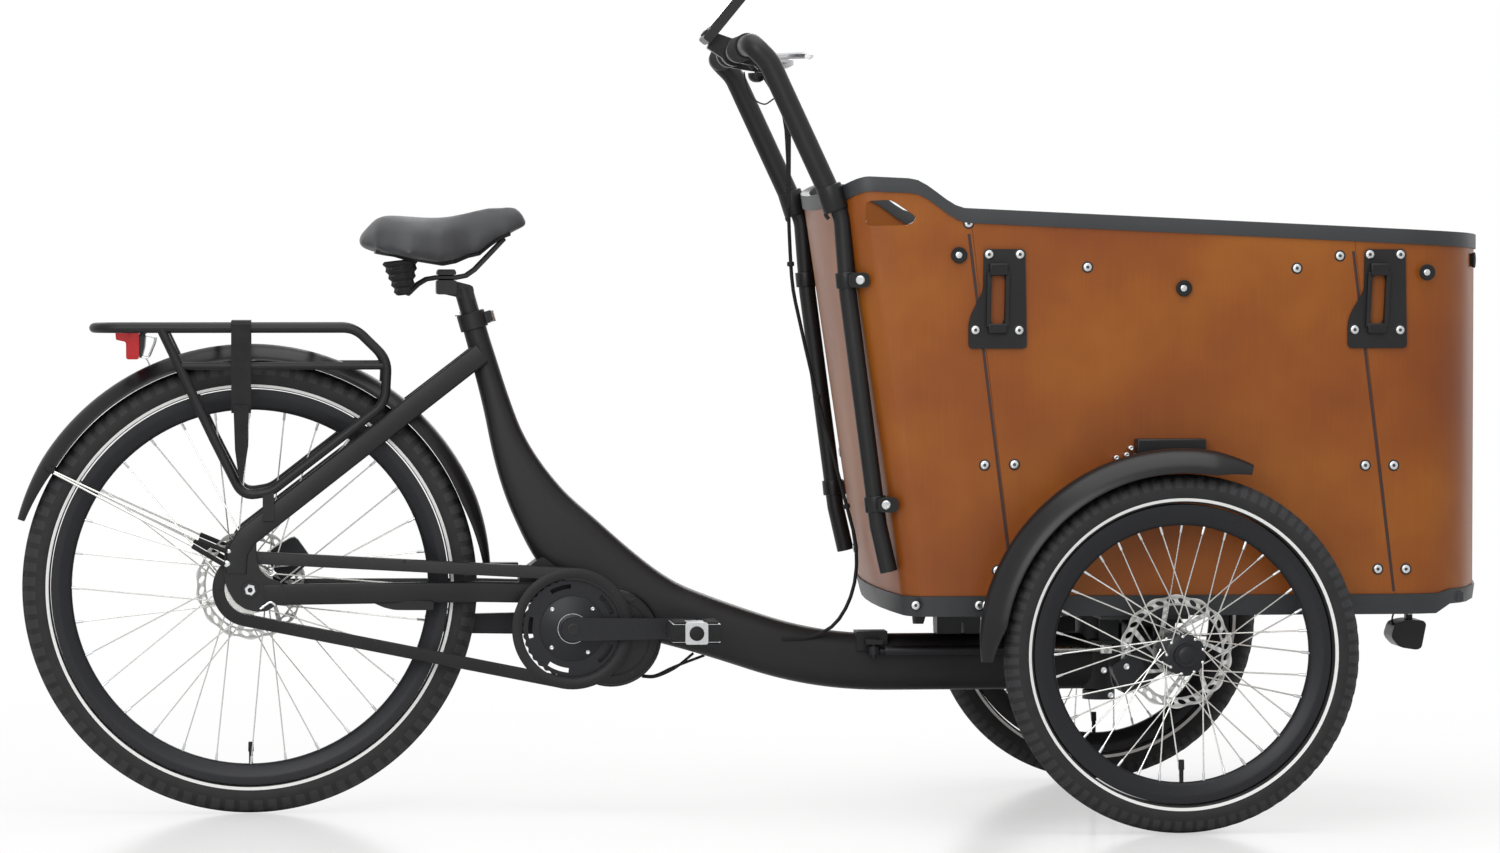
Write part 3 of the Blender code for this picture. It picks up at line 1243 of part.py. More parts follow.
def floor_frame():
    ring = wall(whole_outline(), ring_section, loop=True)
    half = BOX_HALF_WIDTH - 0.010
    top = RING_HIGH
    bars = [
        block(0.994, 1.058, -half, half, 0.3002, top - 0.0006),
        block(STEERING_X - 0.045, STEERING_X + 0.080, -half, half, PIVOT_TUBE_HIGH + RUN_GAP, top - 0.0006),
        block(1.470, 1.500, -half, half, 0.3002, top - 0.0006),
        block(1.665, 1.715, -half + 0.03, half - 0.03, RING_LOW + RING_FRONT_LIFT + 0.002, top - 0.0006),
        block(0.950, 1.720, -0.030, 0.030, KEEL_LOW, top - 0.0012),
    ]
    pad_outline = [(0.994, 0.2536), (1.030, 0.2536), (1.030, 0.2700), (1.0345, 0.2700), (1.0345, 0.2536),
                   (1.058, 0.2536), (1.058, 0.3100), (0.994, 0.3100)]
    pad = prism(pad_outline, -0.022, 0.022)
    kingpin = turned((STEERING_X, 0.0, 0.1560), (0.0, 0.0, 1.0), [
        (0.0, 0.024), (0.013, 0.024), (0.0145, KINGPIN_RADIUS), (0.150, KINGPIN_RADIUS),
    ], 16)
    foot = block(STEERING_X - 0.024, STEERING_X + 0.024, -0.098, -0.049, 0.2425, 0.2475, 0.006)
    post = block(STEERING_X - 0.014, STEERING_X + 0.014, -0.096, -0.090, 0.2450, 0.3050)
    mounted("floor_frame", joined(ring, *bars, pad, kingpin, foot, post), "grey trim", "steering")


CALIPER_PLATE_Y = BOX_HALF_WIDTH + 0.014


def front_axle():
    beam_half = BOX_HALF_WIDTH + 0.020
    beam = turned((FRONT_AXLE_X, -beam_half, FRONT_TYRE_RADIUS), (0.0, 1.0, 0.0),
                  [(0.0, 0.019), (2.0 * beam_half, 0.019)], 14)
    stub_half = WHEEL_TRACK_HALF + 0.022
    stub = turned((FRONT_AXLE_X, -stub_half, FRONT_TYRE_RADIUS), (0.0, 1.0, 0.0),
                  [(0.0, STUB_RADIUS), (2.0 * stub_half, STUB_RADIUS)], 12)
    parts = [stub]
    for y in (-0.240, -0.110, 0.110, 0.240):
        parts.append(prism([(FRONT_AXLE_X - 0.012, 0.255), (FRONT_AXLE_X + 0.012, 0.255),
                            (FRONT_AXLE_X + 0.017, 0.288), (FRONT_AXLE_X - 0.017, 0.288)],
                           y - 0.006, y + 0.006))
    top = PIVOT_TUBE_HIGH + RUN_GAP - SEAT_GAP
    parts.append(block(FRONT_AXLE_X - 0.018, FRONT_AXLE_X + 0.018, -0.290, 0.290, top - 0.006, top))
    for side in (-1.0, 1.0):
        plate = prism(rounded([(FRONT_AXLE_X + 0.018, 0.240), (FRONT_AXLE_X + 0.012, 0.272),
                               (FRONT_AXLE_X - 0.040, 0.262), (FRONT_AXLE_X - 0.092, 0.244),
                               (FRONT_AXLE_X - 0.086, 0.196), (FRONT_AXLE_X - 0.060, 0.190)], 0.010),
                      side * (CALIPER_PLATE_Y - 0.006), side * CALIPER_PLATE_Y)
        parts.append(plate)
    mounted("front_axle", joined(beam, *parts), "black paint", "steering")


def front_caliper(word, side):
    centre = Vector((FRONT_AXLE_X, 0.0, FRONT_TYRE_RADIUS))
    inner_face = side * (WHEEL_TRACK_HALF + FRONT_HUB_INNER + 0.004)
    start = inner_face - SEAT_GAP - ROTOR_THICKNESS if side > 0.0 else inner_face + SEAT_GAP
    caliper_at(word + "_front_caliper", centre, 205.0, 0.050, start, side * (CALIPER_PLATE_Y + SEAT_GAP),
               side * (CALIPER_PLATE_Y + 0.0315), "steering")


floor_frame()
front_axle()
sides_of(front_caliper)


FLOOR_LOW = RING_HIGH + RING_RISE + SEAT_GAP
FLOOR_TOP = FLOOR_LOW + 0.009


def floor_board():
    outline = offsets(whole_outline(), -FLOOR_INSET, loop=True)
    board = slab(outline, FLOOR_LOW, FLOOR_TOP)
    mounted("floor_board", board, "birch ply", "steering")


def hand_hole(side):
    outline = rounded([(0.857, 0.8440), (0.919, 0.8454), (0.9300, 0.8560), (0.8930, 0.8810),
                       (0.857, 0.8790)], 0.008)
    return prism(outline, *sorted((side * 0.262, side * 0.360)))


def rear_panel():
    half = REAR_HALF + REAR_SIDE + [SEAM_REAR]
    line = mirrored(list(reversed(half[1:]))) + half
    panel = wall(line, panel_section)
    mounted("rear_panel", cut(panel, hand_hole(-1.0), hand_hole(1.0)), "birch ply", "steering")


def side_panel(word, side):
    start = (SEAM_REAR_X + 2.0 * SEAT_GAP, BOX_HALF_WIDTH)
    end = (SEAM_FRONT_X - 2.0 * SEAT_GAP, BOX_HALF_WIDTH)
    line = [(x, side * y) for x, y in [start] + MIDDLE_SIDE + [end]]
    mounted(word + "_side_panel", wall(line, panel_section), "birch ply", "steering")


def front_panel():
    half = FRONT_HALF + [SEAM_FRONT]
    line = mirrored(list(reversed(half[1:]))) + half
    mounted("front_panel", wall(line, panel_section), "birch ply", "steering")


def top_rim():
    mounted("top_rim", wall(whole_outline(), rim_section, loop=True), "grey trim", "steering")


floor_board()
rear_panel()
sides_of(side_panel)
front_panel()
top_rim()


def pole_bracket(name, top_from, top_to, low_from, low_to, side):
    """A slotted steel plate on the box wall that holds a cover pole."""
    face = side * (BOX_HALF_WIDTH + SEAT_GAP)
    plate = prism(rounded([(low_from, 0.673), (low_to, 0.673), (top_to, 0.8120), (top_from, 0.8120),
                           (top_from - 0.001, 0.7545), (low_from + 0.004, 0.7220), (low_from,
                                                                                    0.7090)], 0.006, 2),
                  face, face + side * 0.004)
    slot = prism(rounded([(low_from + 0.030, 0.707), (low_from + 0.050, 0.707), (top_from + 0.030, 0.776),
                          (top_from + 0.010, 0.776)], 0.008, 2), face - side * 0.01, face + side * 0.02)
    mounted(name, cut(plate, slot), "black paint", "steering")


def pole_brackets(word, side):
    pole_bracket(word + "_rear_bracket", 1.0224, 1.0802, 1.0009, 1.0831, side)
    pole_bracket(word + "_front_bracket", 1.5621, 1.6199, 1.5383, 1.6225, side)


sides_of(pole_brackets)


def front_guard(word, side):
    centre = Vector((FRONT_AXLE_X, side * WHEEL_TRACK_HALF, FRONT_TYRE_RADIUS))
    strip = guard_strip(centre, FRONT_GUARD_RADIUS, 182.0, 69.0, 0.0325, FRONT_GUARD_SKIRT, 0.0025, 16)
    crown = FRONT_TYRE_RADIUS + FRONT_GUARD_RADIUS
    mount = block(1.2274, 1.3410, *sorted((side * (BOX_HALF_WIDTH + SEAT_GAP),
                                           side * (WHEEL_TRACK_HALF + 0.005))),
                  crown - 0.008, crown - 0.0005)
    wing = block(1.2350, 1.3330, *sorted((side * (BOX_HALF_WIDTH + SEAT_GAP),
                                          side * (BOX_HALF_WIDTH + 0.030))),
                 crown - 0.004, crown + 0.019)
    mounted(word + "_front_mudguard", joined(strip, mount, wing), "black plastic", "steering", 40.0)


def headlamp():
    outline = rounded([(1.6630, 0.2450), (1.6700, 0.2660), (1.6900, 0.2705), (1.7120, 0.2690),
                       (1.7160, 0.2640),
                       (1.7090, 0.2290), (1.7020, 0.2260), (1.6760, 0.2300)], 0.006)
    body = prism(outline, -0.028, 0.028)
    stem = block(1.6900, 1.7000, -0.006, 0.006, 0.2600, KEEL_LOW - SEAT_GAP)
    mounted("headlamp", joined(body, stem), "black plastic", "steering")


sides_of(front_guard)
headlamp()


# Handlebar with its legs, grips, levers and display.

def half_bar(side):
    return [(BAR_X, side * BAR_SPREAD, BAR_Z), (0.7240, side * BAR_SPREAD, 1.0740),
            (0.8155, side * BAR_SPREAD, 0.8770)]


def handlebar():
    line = list(reversed(half_bar(-1.0))) + half_bar(1.0)
    parts = [tube(bend(line, 0.058, 4), BAR_RADIUS, 10)]
    for side in (-1.0, 1.0):
        y = side * BAR_SPREAD
        leg = bend([(0.8100, y, 0.8880), (0.8265, y, 0.8600), (0.8350, y, 0.7500), (0.8780, y, 0.4250),
                    (0.8930, y, 0.3600)], 0.030, 1)
        parts.append(tube(leg, LEG_RADIUS, 8))
        parts.append(turned((0.8110, y, 0.8900), (0.32, 0.0, -0.95), [(-0.010, 0.0180), (0.024, 0.0185)], 10))
        for z, x in ((0.7688, 0.8330), (0.4550, 0.8740)):
            parts.append(turned((x, y, z - 0.011), (-0.10, 0.0, 1.0), [(0.0, 0.0155), (0.022, 0.0155)], 8))
            parts.append(block(x, x + CLIP_REACH, *sorted((y - side * 0.012, y + side * 0.032)), z - 0.0105,
                               z + 0.0105,
                               0.004))
        x, spread, z = LEVER_PIVOT
        parts.append(turned((x, side * spread, z - 0.006), (0.0, 0.0, 1.0),
                            [(0.0, 0.0045), (0.0100, 0.0045)], 8))
        parts.append(prism(rounded([(x - 0.038, z - 0.009), (x + 0.011, z - 0.016), (x + 0.011, z - 0.0048),
                                    (x - 0.012, z - 0.0048), (x - 0.028, z + 0.014)], 0.004),
                           *sorted((side * (spread - 0.009), side * (spread + 0.009)))))
        parts.append(turned((BAR_X, side * 0.0740, BAR_Z), (0.0, side, 0.0),
                            [(0.0, 0.0190), (0.0180, 0.0190)], 10))
    half = REAR_HALF + REAR_SIDE + [SEAM_REAR]
    line = mirrored(list(reversed(half[1:]))) + half
    bar = joined(parts[0], *parts[1:])
    mounted("handlebar", cut(bar, wall(line, box_room_section)), "black paint", "steering")


def grip(word, side):
    inner = BAR_RADIUS + SEAT_GAP
    start, end = 0.1000, 0.2150
    profile = [(inner, start), (GRIP_RADIUS, start), (GRIP_RADIUS - 0.0015, start + 0.03),
               (GRIP_RADIUS, end), (inner, end)]
    profile = [(radius, side * distance) for radius, distance in profile]
    mounted(word + "_grip", ring_body(Vector((BAR_X, 0.0, BAR_Z)), profile, 16), "black rubber", "steering")


def brake_lever(word, side):
    at = PIVOTS[word + " lever axis"]
    eye = turned(at + Vector((0.0, 0.0, -0.0040)), (0.0, 0.0, 1.0), [(0.0, 0.0095), (0.0080, 0.0095)], 12)
    blade_line = bend([at + Vector((0.006, 0.0, 0.0)), at + Vector((0.052, side * 0.010, 0.002)),
                       at + Vector((0.062, side * 0.060, 0.0)), at + Vector((0.050, side * 0.120,
                                                                             -0.004))], 0.020, 3)
    blade = tube(blade_line, 0.0046, 6)
    bore = turned(at + Vector((0.0, 0.0, -0.02)), (0.0, 0.0, 1.0),
                  [(0.0, 0.0045 + 2.0 * SEAT_GAP), (0.04, 0.0045 + 2.0 * SEAT_GAP)], 10)
    mounted(word + "_brake_lever", cut(joined(eye, blade), bore), "aluminium", word + " lever axis")


def display():
    """A slim tilted screen on a saddle clamp over the bar."""
    along = Vector((0.633, 0.0, 0.774))
    normal = Vector((-0.774, 0.0, 0.633))
    low = Vector((0.656, 0.0, 1.113))
    corners = [low - normal * 0.007, low + along * 0.085 - normal * 0.007,
               low + along * 0.085 + normal * 0.007,
               low + normal * 0.007]
    screen = prism(rounded([(corner.x, corner.z) for corner in corners], 0.004), -0.042, 0.042)
    arm = prism([(low.x + 0.004, low.z - 0.009), (BAR_X - 0.006, BAR_Z - 0.017),
                 (BAR_X + 0.004, BAR_Z + 0.017),
                 (low.x + 0.013, low.z + 0.014)], -0.010, 0.010)
    clamp = turned((BAR_X, -0.012, BAR_Z), (0.0, 1.0, 0.0), [(0.0, 0.0205), (0.024, 0.0205)], 20)
    bore = turned((BAR_X, -0.060, BAR_Z), (0.0, 1.0, 0.0),
                  [(0.0, BAR_RADIUS + SEAT_GAP), (0.120, BAR_RADIUS + SEAT_GAP)], 20)
    mounted("display", cut(joined(screen, arm, clamp), bore), "black plastic", "steering")


handlebar()
sides_of(grip)
sides_of(brake_lever)
display()


# Steering damper.

def damper():
    reach = DAMPER_EYE - DAMPER_PIVOT
    way = reach.normalized()
    body = turned(DAMPER_PIVOT + way * 0.016, way, [(0.0, DAMPER_RADIUS - 0.001), (0.003, DAMPER_RADIUS),
                                                    (0.187, DAMPER_RADIUS), (0.190, DAMPER_RADIUS - 0.001)], 14)
    eye = turned(DAMPER_PIVOT - Vector((0.0, 0.0, 0.0060)), (0.0, 0.0, 1.0),
                 [(0.0, 0.0095), (0.0120, 0.0095)], 12)
    neck = tube([DAMPER_PIVOT + way * 0.005, DAMPER_PIVOT + way * 0.018], 0.0045, 8)
    pin_hole = turned(DAMPER_PIVOT - Vector((0.0, 0.0, 0.02)), (0.0, 0.0, 1.0),
                      [(0.0, 0.004 + SEAT_GAP), (0.04, 0.004 + SEAT_GAP)], 12)
    rod_hole = turned(DAMPER_PIVOT + way * 0.210, -way,
                      [(0.0, DAMPER_ROD_RADIUS + SEAT_GAP), (0.165, DAMPER_ROD_RADIUS + SEAT_GAP)], 14)
    mounted("damper_body", cut(joined(body, neck, eye), pin_hole, rod_hole), "black paint", "damper swing")
    length = reach.length
    rod = turned(DAMPER_PIVOT + way * 0.105, way,
                 [(0.0, DAMPER_ROD_RADIUS), (length - 0.105 - 0.006, DAMPER_ROD_RADIUS)], 14)
    rod_eye = turned(DAMPER_EYE - Vector((0.0, 0.0, 0.0060)), (0.0, 0.0, 1.0),
                     [(0.0, 0.0095), (0.0120, 0.0095)], 12)
    eye_hole = turned(DAMPER_EYE - Vector((0.0, 0.0, 0.02)), (0.0, 0.0, 1.0),
                      [(0.0, 0.0043), (0.04, 0.0043)], 12)
    mounted("damper_rod", cut(joined(rod, rod_eye), eye_hole), "polished steel", "damper stroke")


damper()


# Load: bench over the battery.

BENCH_TOP = 0.552
BENCH_BOARD = 0.012


def bench():
    half = BOX_HALF_WIDTH - PANEL_THICKNESS - 0.005
    foot = FLOOR_TOP + SEAT_GAP
    seat = BENCH_TOP - BENCH_BOARD
    top = block(0.925, 1.190, -half, half, seat, BENCH_TOP)
    legs = [block(1.150, 1.159, -half + 0.006, half - 0.006, foot, seat + 0.004),
            block(0.940, 0.949, -half + 0.046, half - 0.046, foot, seat + 0.004)]
    mounted("bench", joined(top, *legs), "birch ply", "steering")


def battery():
    body = block(0.985, 1.125, -0.085, 0.085, FLOOR_TOP + SEAT_GAP, 0.4500, 0.010)
    mounted("battery", body, "black plastic", "steering")


bench()
battery()


# Cable harness from the display down to the frame, along its real route.

def harness():
    points = [
        (0.7270, 0.0, 1.0860), (0.7560, 0.0, 1.0440), (0.7740, 0.0, 1.0060), (0.7785, 0.0, 0.9393),
        (0.7784, 0.0, 0.8726), (0.7821, 0.0, 0.7914), (0.7851, 0.0, 0.7537), (0.8150, 0.0, 0.6200),
        (0.8560, 0.0, 0.4700), (0.8800, 0.0, 0.3800), (0.8770, 0.0, 0.3270), (0.8617, -0.018, 0.2906),
        (0.8400, -0.0328, 0.2640), (0.8100, -0.0328, 0.2500), (0.7665, -0.0328, 0.2480),
    ]
    smooth = bend(points, 0.05, 2)
    body = tube(smooth, 0.0028, 5)
    mounted("cable_harness", body, "black rubber", "steering")


harness()
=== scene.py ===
# %% [markdown]
# # An electric cargo tricycle, dressed for a studio picture
# The frame, box, wheels and drive come in as finished solids. This lesson gives each of them the finish that
# the real one has, and adds what a maker adds last: lacing, tread, screws, lenses, buttons and seams.

# %% Load the solids
import math

import bmesh
import bpy
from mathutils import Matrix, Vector
from mathutils.bvhtree import BVHTree
from mathutils.geometry import tessellate_polygon


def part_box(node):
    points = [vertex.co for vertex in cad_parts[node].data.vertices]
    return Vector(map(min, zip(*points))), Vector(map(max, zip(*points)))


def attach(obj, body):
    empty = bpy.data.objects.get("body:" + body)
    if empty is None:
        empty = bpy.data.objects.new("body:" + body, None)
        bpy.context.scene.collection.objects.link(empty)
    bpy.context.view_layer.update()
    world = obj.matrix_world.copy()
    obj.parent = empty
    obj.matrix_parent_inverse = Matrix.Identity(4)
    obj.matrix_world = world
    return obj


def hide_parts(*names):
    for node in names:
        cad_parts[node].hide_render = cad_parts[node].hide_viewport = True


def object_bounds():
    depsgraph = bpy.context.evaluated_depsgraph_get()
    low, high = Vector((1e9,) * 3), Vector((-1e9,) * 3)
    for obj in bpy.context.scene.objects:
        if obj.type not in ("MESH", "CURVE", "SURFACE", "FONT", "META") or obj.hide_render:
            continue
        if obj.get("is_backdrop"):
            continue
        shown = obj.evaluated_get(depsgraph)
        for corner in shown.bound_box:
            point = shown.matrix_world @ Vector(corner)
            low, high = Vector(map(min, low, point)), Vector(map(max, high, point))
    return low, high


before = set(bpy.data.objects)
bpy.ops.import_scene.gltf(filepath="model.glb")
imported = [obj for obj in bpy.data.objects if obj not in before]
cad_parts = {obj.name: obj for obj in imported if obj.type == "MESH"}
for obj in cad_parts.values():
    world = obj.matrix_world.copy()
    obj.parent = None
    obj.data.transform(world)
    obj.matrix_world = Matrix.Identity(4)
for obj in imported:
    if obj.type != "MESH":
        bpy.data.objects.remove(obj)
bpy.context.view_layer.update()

# %% [markdown]
# The tricycle was measured from its rear axle, but its frame of reference lies under the middle of the whole.
# One shift in X turns a measure taken from the rear axle into a place in the scene.

# %% Places
REAR_AXLE_SHIFT = 0.722614


def spot(x, y, z):
    """The place in the scene of a point measured from the rear axle, the middle line and the ground."""
    return Vector((x - REAR_AXLE_SHIFT, y, z))


def spots(*places, side=1.0):
    """Several such places; a side of -1 mirrors them."""
    return [spot(x, side * y, z) for x, y, z in places]


def placed(outline):
    """An outline in X and Z measured from the rear axle, moved to its place in the scene."""
    return [(x - REAR_AXLE_SHIFT, z) for x, z in outline]


SIDES = (("right", -1.0), ("left", 1.0))
AXIS_Y = Vector((0.0, 1.0, 0.0))
AXIS_Z = Vector((0.0, 0.0, 1.0))
REAR_CENTRE = spot(0.0, 0.0, 0.3265)
CRANK_CENTRE = spot(0.4615, 0.0, 0.267)
FRONT_WHEEL_X, FRONT_WHEEL_Y, FRONT_WHEEL_Z = 1.2897, 0.390, 0.250
PIVOT_X = 1.235
BOX_SIDE = 0.310
PLATE_FACE = BOX_SIDE + 0.0043
print("rear axle at", tuple(round(c, 4) for c in REAR_CENTRE))

# %% [markdown]
# A colour picked from a paint card is written as a hex number, which holds screen values. Blender's shaders
# want the light itself, so one function undoes the screen curve for every colour in the scene.

# %% Colour and node helpers


def light_of(code):
    """A hex colour turned into linear light, with full opacity."""
    parts = [int(code[i:i + 2], 16) / 255.0 for i in (0, 2, 4)]
    return tuple(p / 12.92 if p <= 0.04045 else ((p + 0.055) / 1.055) ** 2.4 for p in parts) + (1.0,)


def put(tree, kind, settings=None, sockets=None, links=None):
    """Adds one node, with its settings, the values of its sockets and what feeds them."""
    made = tree.nodes.new(kind)
    for key, value in (settings or {}).items():
        setattr(made, key, value)
    for key, value in (sockets or {}).items():
        made.inputs[key].default_value = value
    for key, source in (links or {}).items():
        tree.links.new(source, made.inputs[key])
    return made


def material(name, **sockets):
    """A new material with its Principled shader set; words in a socket's name are joined by underscores."""
    made = bpy.data.materials.new(name)
    made.use_nodes = True
    shader = made.node_tree.nodes["Principled BSDF"]
    for key, value in sockets.items():
        shader.inputs[key.replace("_", " ")].default_value = value
    return made, made.node_tree, shader


# %% [markdown]
# Every finish below is a few patterns joined by a little arithmetic. These short functions add one node each
# and hand back its output, so a pattern reads like a sentence.

# %% Patterns and arithmetic


def coords(tree):
    """The coordinates that every pattern is laid out in."""
    return put(tree, "ShaderNodeTexCoord").outputs["Object"]


def noise(tree, place, scale, detail=2.0, roughness=0.5):
    """A cloudy pattern; its scale is in clouds per metre."""
    return put(tree, "ShaderNodeTexNoise", None, {"Scale": scale, "Detail": detail, "Roughness": roughness},
               {"Vector": place}).outputs["Fac"]


def step(tree, kind, operation, *values):
    """One step of arithmetic; each value is a constant or what another node gives."""
    made = put(tree, "ShaderNode" + kind, {"operation": operation})
    for socket, value in zip(made.inputs, values):
        if isinstance(value, bpy.types.NodeSocket):
            tree.links.new(value, socket)
        else:
            socket.default_value = value
    return made.outputs[1 if operation == "LENGTH" else 0]


def mapped(tree, value, settings=None, **limits):
    """A value moved from one range to another."""
    sockets = {key.replace("_", " "): limit for key, limit in limits.items()}
    return put(tree, "ShaderNodeMapRange", settings, sockets, {"Value": value}).outputs["Result"]


def tinted(tree, value, *stops):
    """A colour that follows a value, from pairs of position and hex colour."""
    made = put(tree, "ShaderNodeValToRGB", links={"Fac": value})
    elements = made.color_ramp.elements
    for i, (position, code) in enumerate(stops):
        stop = elements[i] if i < 2 else elements.new(position)
        stop.position = position
        stop.color = light_of(code)
    return made.outputs["Color"]


def mixed(tree, share, colour, code):
    """A colour laid over another one as far as a share says."""
    return put(tree, "ShaderNodeMix", {"data_type": "RGBA"}, {7: light_of(code)}, {0: share, 6: colour}).outputs[2]


def dress(tree, shader, colour, height, strength, depth):
    """Gives a shader its colour, and a relief of some depth in metres."""
    bump = put(tree, "ShaderNodeBump", None, {"Strength": strength, "Distance": depth}, {"Height": height})
    tree.links.new(bump.outputs["Normal"], shader.inputs["Normal"])
    if colour is not None:
        tree.links.new(colour, shader.inputs["Base Color"])


# %% [markdown]
# ## Powder-coated steel
# Frame, stays, rack and handlebar are powder coated in satin black. Powder flows as it melts and leaves a
# fine orange peel, with ripples of about 1 mm. At this distance that would vanish, so it is drawn 3 mm wide.
# A second, slow noise changes the gloss a little, as hands and dust do.

# %% Powder coat
PEEL_MM = 3.0
powder, tree, shader = material("Powder-coated steel", Roughness=0.42, Specular_IOR_Level=0.30)
place = coords(tree)
slow = noise(tree, place, 9.0, 3.0)
dress(tree, shader, tinted(tree, slow, (0.30, "0F0F11"), (0.70, "18181A")), noise(tree, place, 1000.0 / PEEL_MM),
      0.18, 0.0004)
tree.links.new(mapped(tree, slow, To_Min=0.36, To_Max=0.50), shader.inputs["Roughness"])
print("powder coat peel", PEEL_MM, "mm")

# %% [markdown]
# ## Grained plastic
# Mudguards, chain case, motor covers and lamps are injection moulded. The mould is etched with a leathery
# grain, and a Voronoi pattern of small cells gives that. Mudguards are the same plastic with less grain.

# %% Moulded plastic
GRAIN_MM = 2.2


def moulded(name, dark, pale, roughness, grain_depth):
    """Plastic with the grain of its mould."""
    made, tree, shader = material(name, Roughness=roughness, Specular_IOR_Level=0.30)
    place = coords(tree)
    cells = put(tree, "ShaderNodeTexVoronoi", None, {"Scale": 1000.0 / GRAIN_MM}, {"Vector": place})
    dress(tree, shader, tinted(tree, noise(tree, place, 14.0), (0.30, dark), (0.75, pale)),
          cells.outputs["Distance"], 0.25, grain_depth)
    return made


grained = moulded("Grained polyamide", "101012", "1A1A1C", 0.50, 0.0005)
gloss_plastic = moulded("Moulded ABS, satin", "0E0E10", "171719", 0.32, 0.0002)
print("moulded grain", GRAIN_MM, "mm")

# %% [markdown]
# ## Rubber
# Grips, pedals and the rack strap are black rubber with carbon in it, so it is nearly without shine. A slow
# noise greys it where it has been touched and has weathered.

# %% Soft rubber
rubber, tree, shader = material("Vulcanised rubber", Roughness=0.78, Specular_IOR_Level=0.35)
touch = noise(tree, coords(tree), 60.0, 5.0)
dress(tree, shader, tinted(tree, touch, (0.35, "111112"), (0.75, "1B1B1C")), touch, 0.25, 0.0005)

# %% [markdown]
# ## Tyre rubber with its white stripe
# A city tyre carries a narrow band of glass beads in its side wall, which looks white by day. The shader
# measures how far a point lies from the axle, and paints the band where that distance fits. So the stripe
# is a true circle and turns with the wheel.

# %% Tyre finish
STRIPE_WIDTH = 0.0042
TREAD_BLOCKS = 96
SHOULDER_FROM_STRIPE = 0.0165


def tyre_finish(name, centre, stripe_radius):
    """Tyre rubber with a stripe, and with grooves drawn on the shoulder whose raised blocks get a painted highlight.
    """
    made, tree, shader = material(name, Roughness=0.70, Specular_IOR_Level=0.4)
    place = coords(tree)
    from_axle = step(tree, "VectorMath", "SUBTRACT", place, centre)
    radius = step(tree, "VectorMath", "LENGTH", step(tree, "VectorMath", "MULTIPLY", from_axle, (1.0, 0.0, 1.0)))
    off = step(tree, "Math", "ABSOLUTE", step(tree, "Math", "SUBTRACT", radius, stripe_radius))
    band = step(tree, "Math", "LESS_THAN", off, STRIPE_WIDTH / 2.0)
    dust = noise(tree, place, 45.0, 5.0)
    parts = put(tree, "ShaderNodeSeparateXYZ", links={0: from_axle})
    angle = step(tree, "Math", "ARCTAN2", parts.outputs["Z"], parts.outputs["X"])
    pitch = math.pi / TREAD_BLOCKS
    raised = mapped(tree, step(tree, "Math", "PINGPONG", angle, pitch), {"interpolation_type": "SMOOTHSTEP"},
                    From_Min=0.28 * pitch, From_Max=0.50 * pitch)
    shoulder = step(tree, "Math", "GREATER_THAN", radius, stripe_radius + SHOULDER_FROM_STRIPE)
    groove = step(tree, "Math", "MULTIPLY", raised, shoulder)
    # The raised blocks on the shoulder are painted a paler grey: a painted highlight where their faces catch the
    # light.
    dusty_with_block_highlight = mixed(tree, groove, tinted(tree, dust, (0.30, "121213"), (0.75, "1E1E20")), "2A2A2C")
    dress(tree, shader, mixed(tree, band, dusty_with_block_highlight, "E6E6E4"), step(tree, "Math", "MULTIPLY_ADD", groove, 4.0, dust),
          0.35, 0.0004)
    return made


# %% [markdown]
# ## Metals
# Spokes, discs, nuts and screws are stainless or zinc-plated steel; rims and hubs are anodised aluminium,
# black because of the dye in the oxide layer. A ground disc has circular scratches, drawn by a wave
# texture around the wheel axis. Its rings would be 0.05 mm apart, so they are drawn 1.5 mm apart.

# %% Metals
GRIT_MM = 1.2
SCRATCH_MM = 1.5
WAVES_AT_SCALE_ONE = 20.0


def metal(name, dark, pale, roughness, metallic=1.0):
    """Metal with a fine grit in its colour and gloss."""
    made, tree, shader = material(name, Metallic=metallic)
    grit = noise(tree, coords(tree), 1000.0 / GRIT_MM, 3.0)
    tree.links.new(tinted(tree, grit, (0.30, dark), (0.70, pale)), shader.inputs["Base Color"])
    tree.links.new(mapped(tree, grit, To_Min=roughness - 0.06, To_Max=roughness + 0.08), shader.inputs["Roughness"])
    return made


def ground_disc(name, centre):
    """Ground steel with its scratches in rings round an axle."""
    made, tree, shader = material(name, Metallic=1.0, Roughness=0.28, Anisotropic=0.5)
    from_axle = step(tree, "VectorMath", "SUBTRACT", coords(tree), centre)
    rings = put(tree, "ShaderNodeTexWave", {"wave_type": "RINGS", "rings_direction": "Y"},
                {"Scale": 1000.0 / (SCRATCH_MM * WAVES_AT_SCALE_ONE), "Distortion": 0.6, "Detail": 2.0},
                {"Vector": from_axle}).outputs["Fac"]
    dress(tree, shader, tinted(tree, rings, (0.2, "A8A8A6"), (0.8, "CBCBC8")), rings, 0.15, 0.0001)
    return made


stainless = metal("Stainless steel, drawn", "B9B9B6", "D6D6D2", 0.26)
zinc = metal("Zinc-plated steel", "B4B6B8", "D8DADB", 0.32)
anodised = metal("Anodised aluminium, black", "18181B", "222326", 0.40, 0.55)
alloy = metal("Anodised aluminium, natural", "A9AAAC", "C9CACC", 0.34)
# Blackened steel for dark caps, washers, bolts and screws; the same dark finish also paints the shade in the box
# screws' sockets.
blackened_steel_and_socket_shade = metal("Blackened steel", "101011", "1A1A1B", 0.5, 0.3)

# %% [markdown]
# ## Stained birch plywood
# The box is bent birch plywood, stained orange brown and varnished. Birch has fine straight fibres about
# 1.6 mm wide and 90 mm long, seen only faintly through the stain, and soft clouds a hand wide where the stain
# took unevenly. Where a panel is cut, at the hand holes, its thin layers show as light and dark lines.

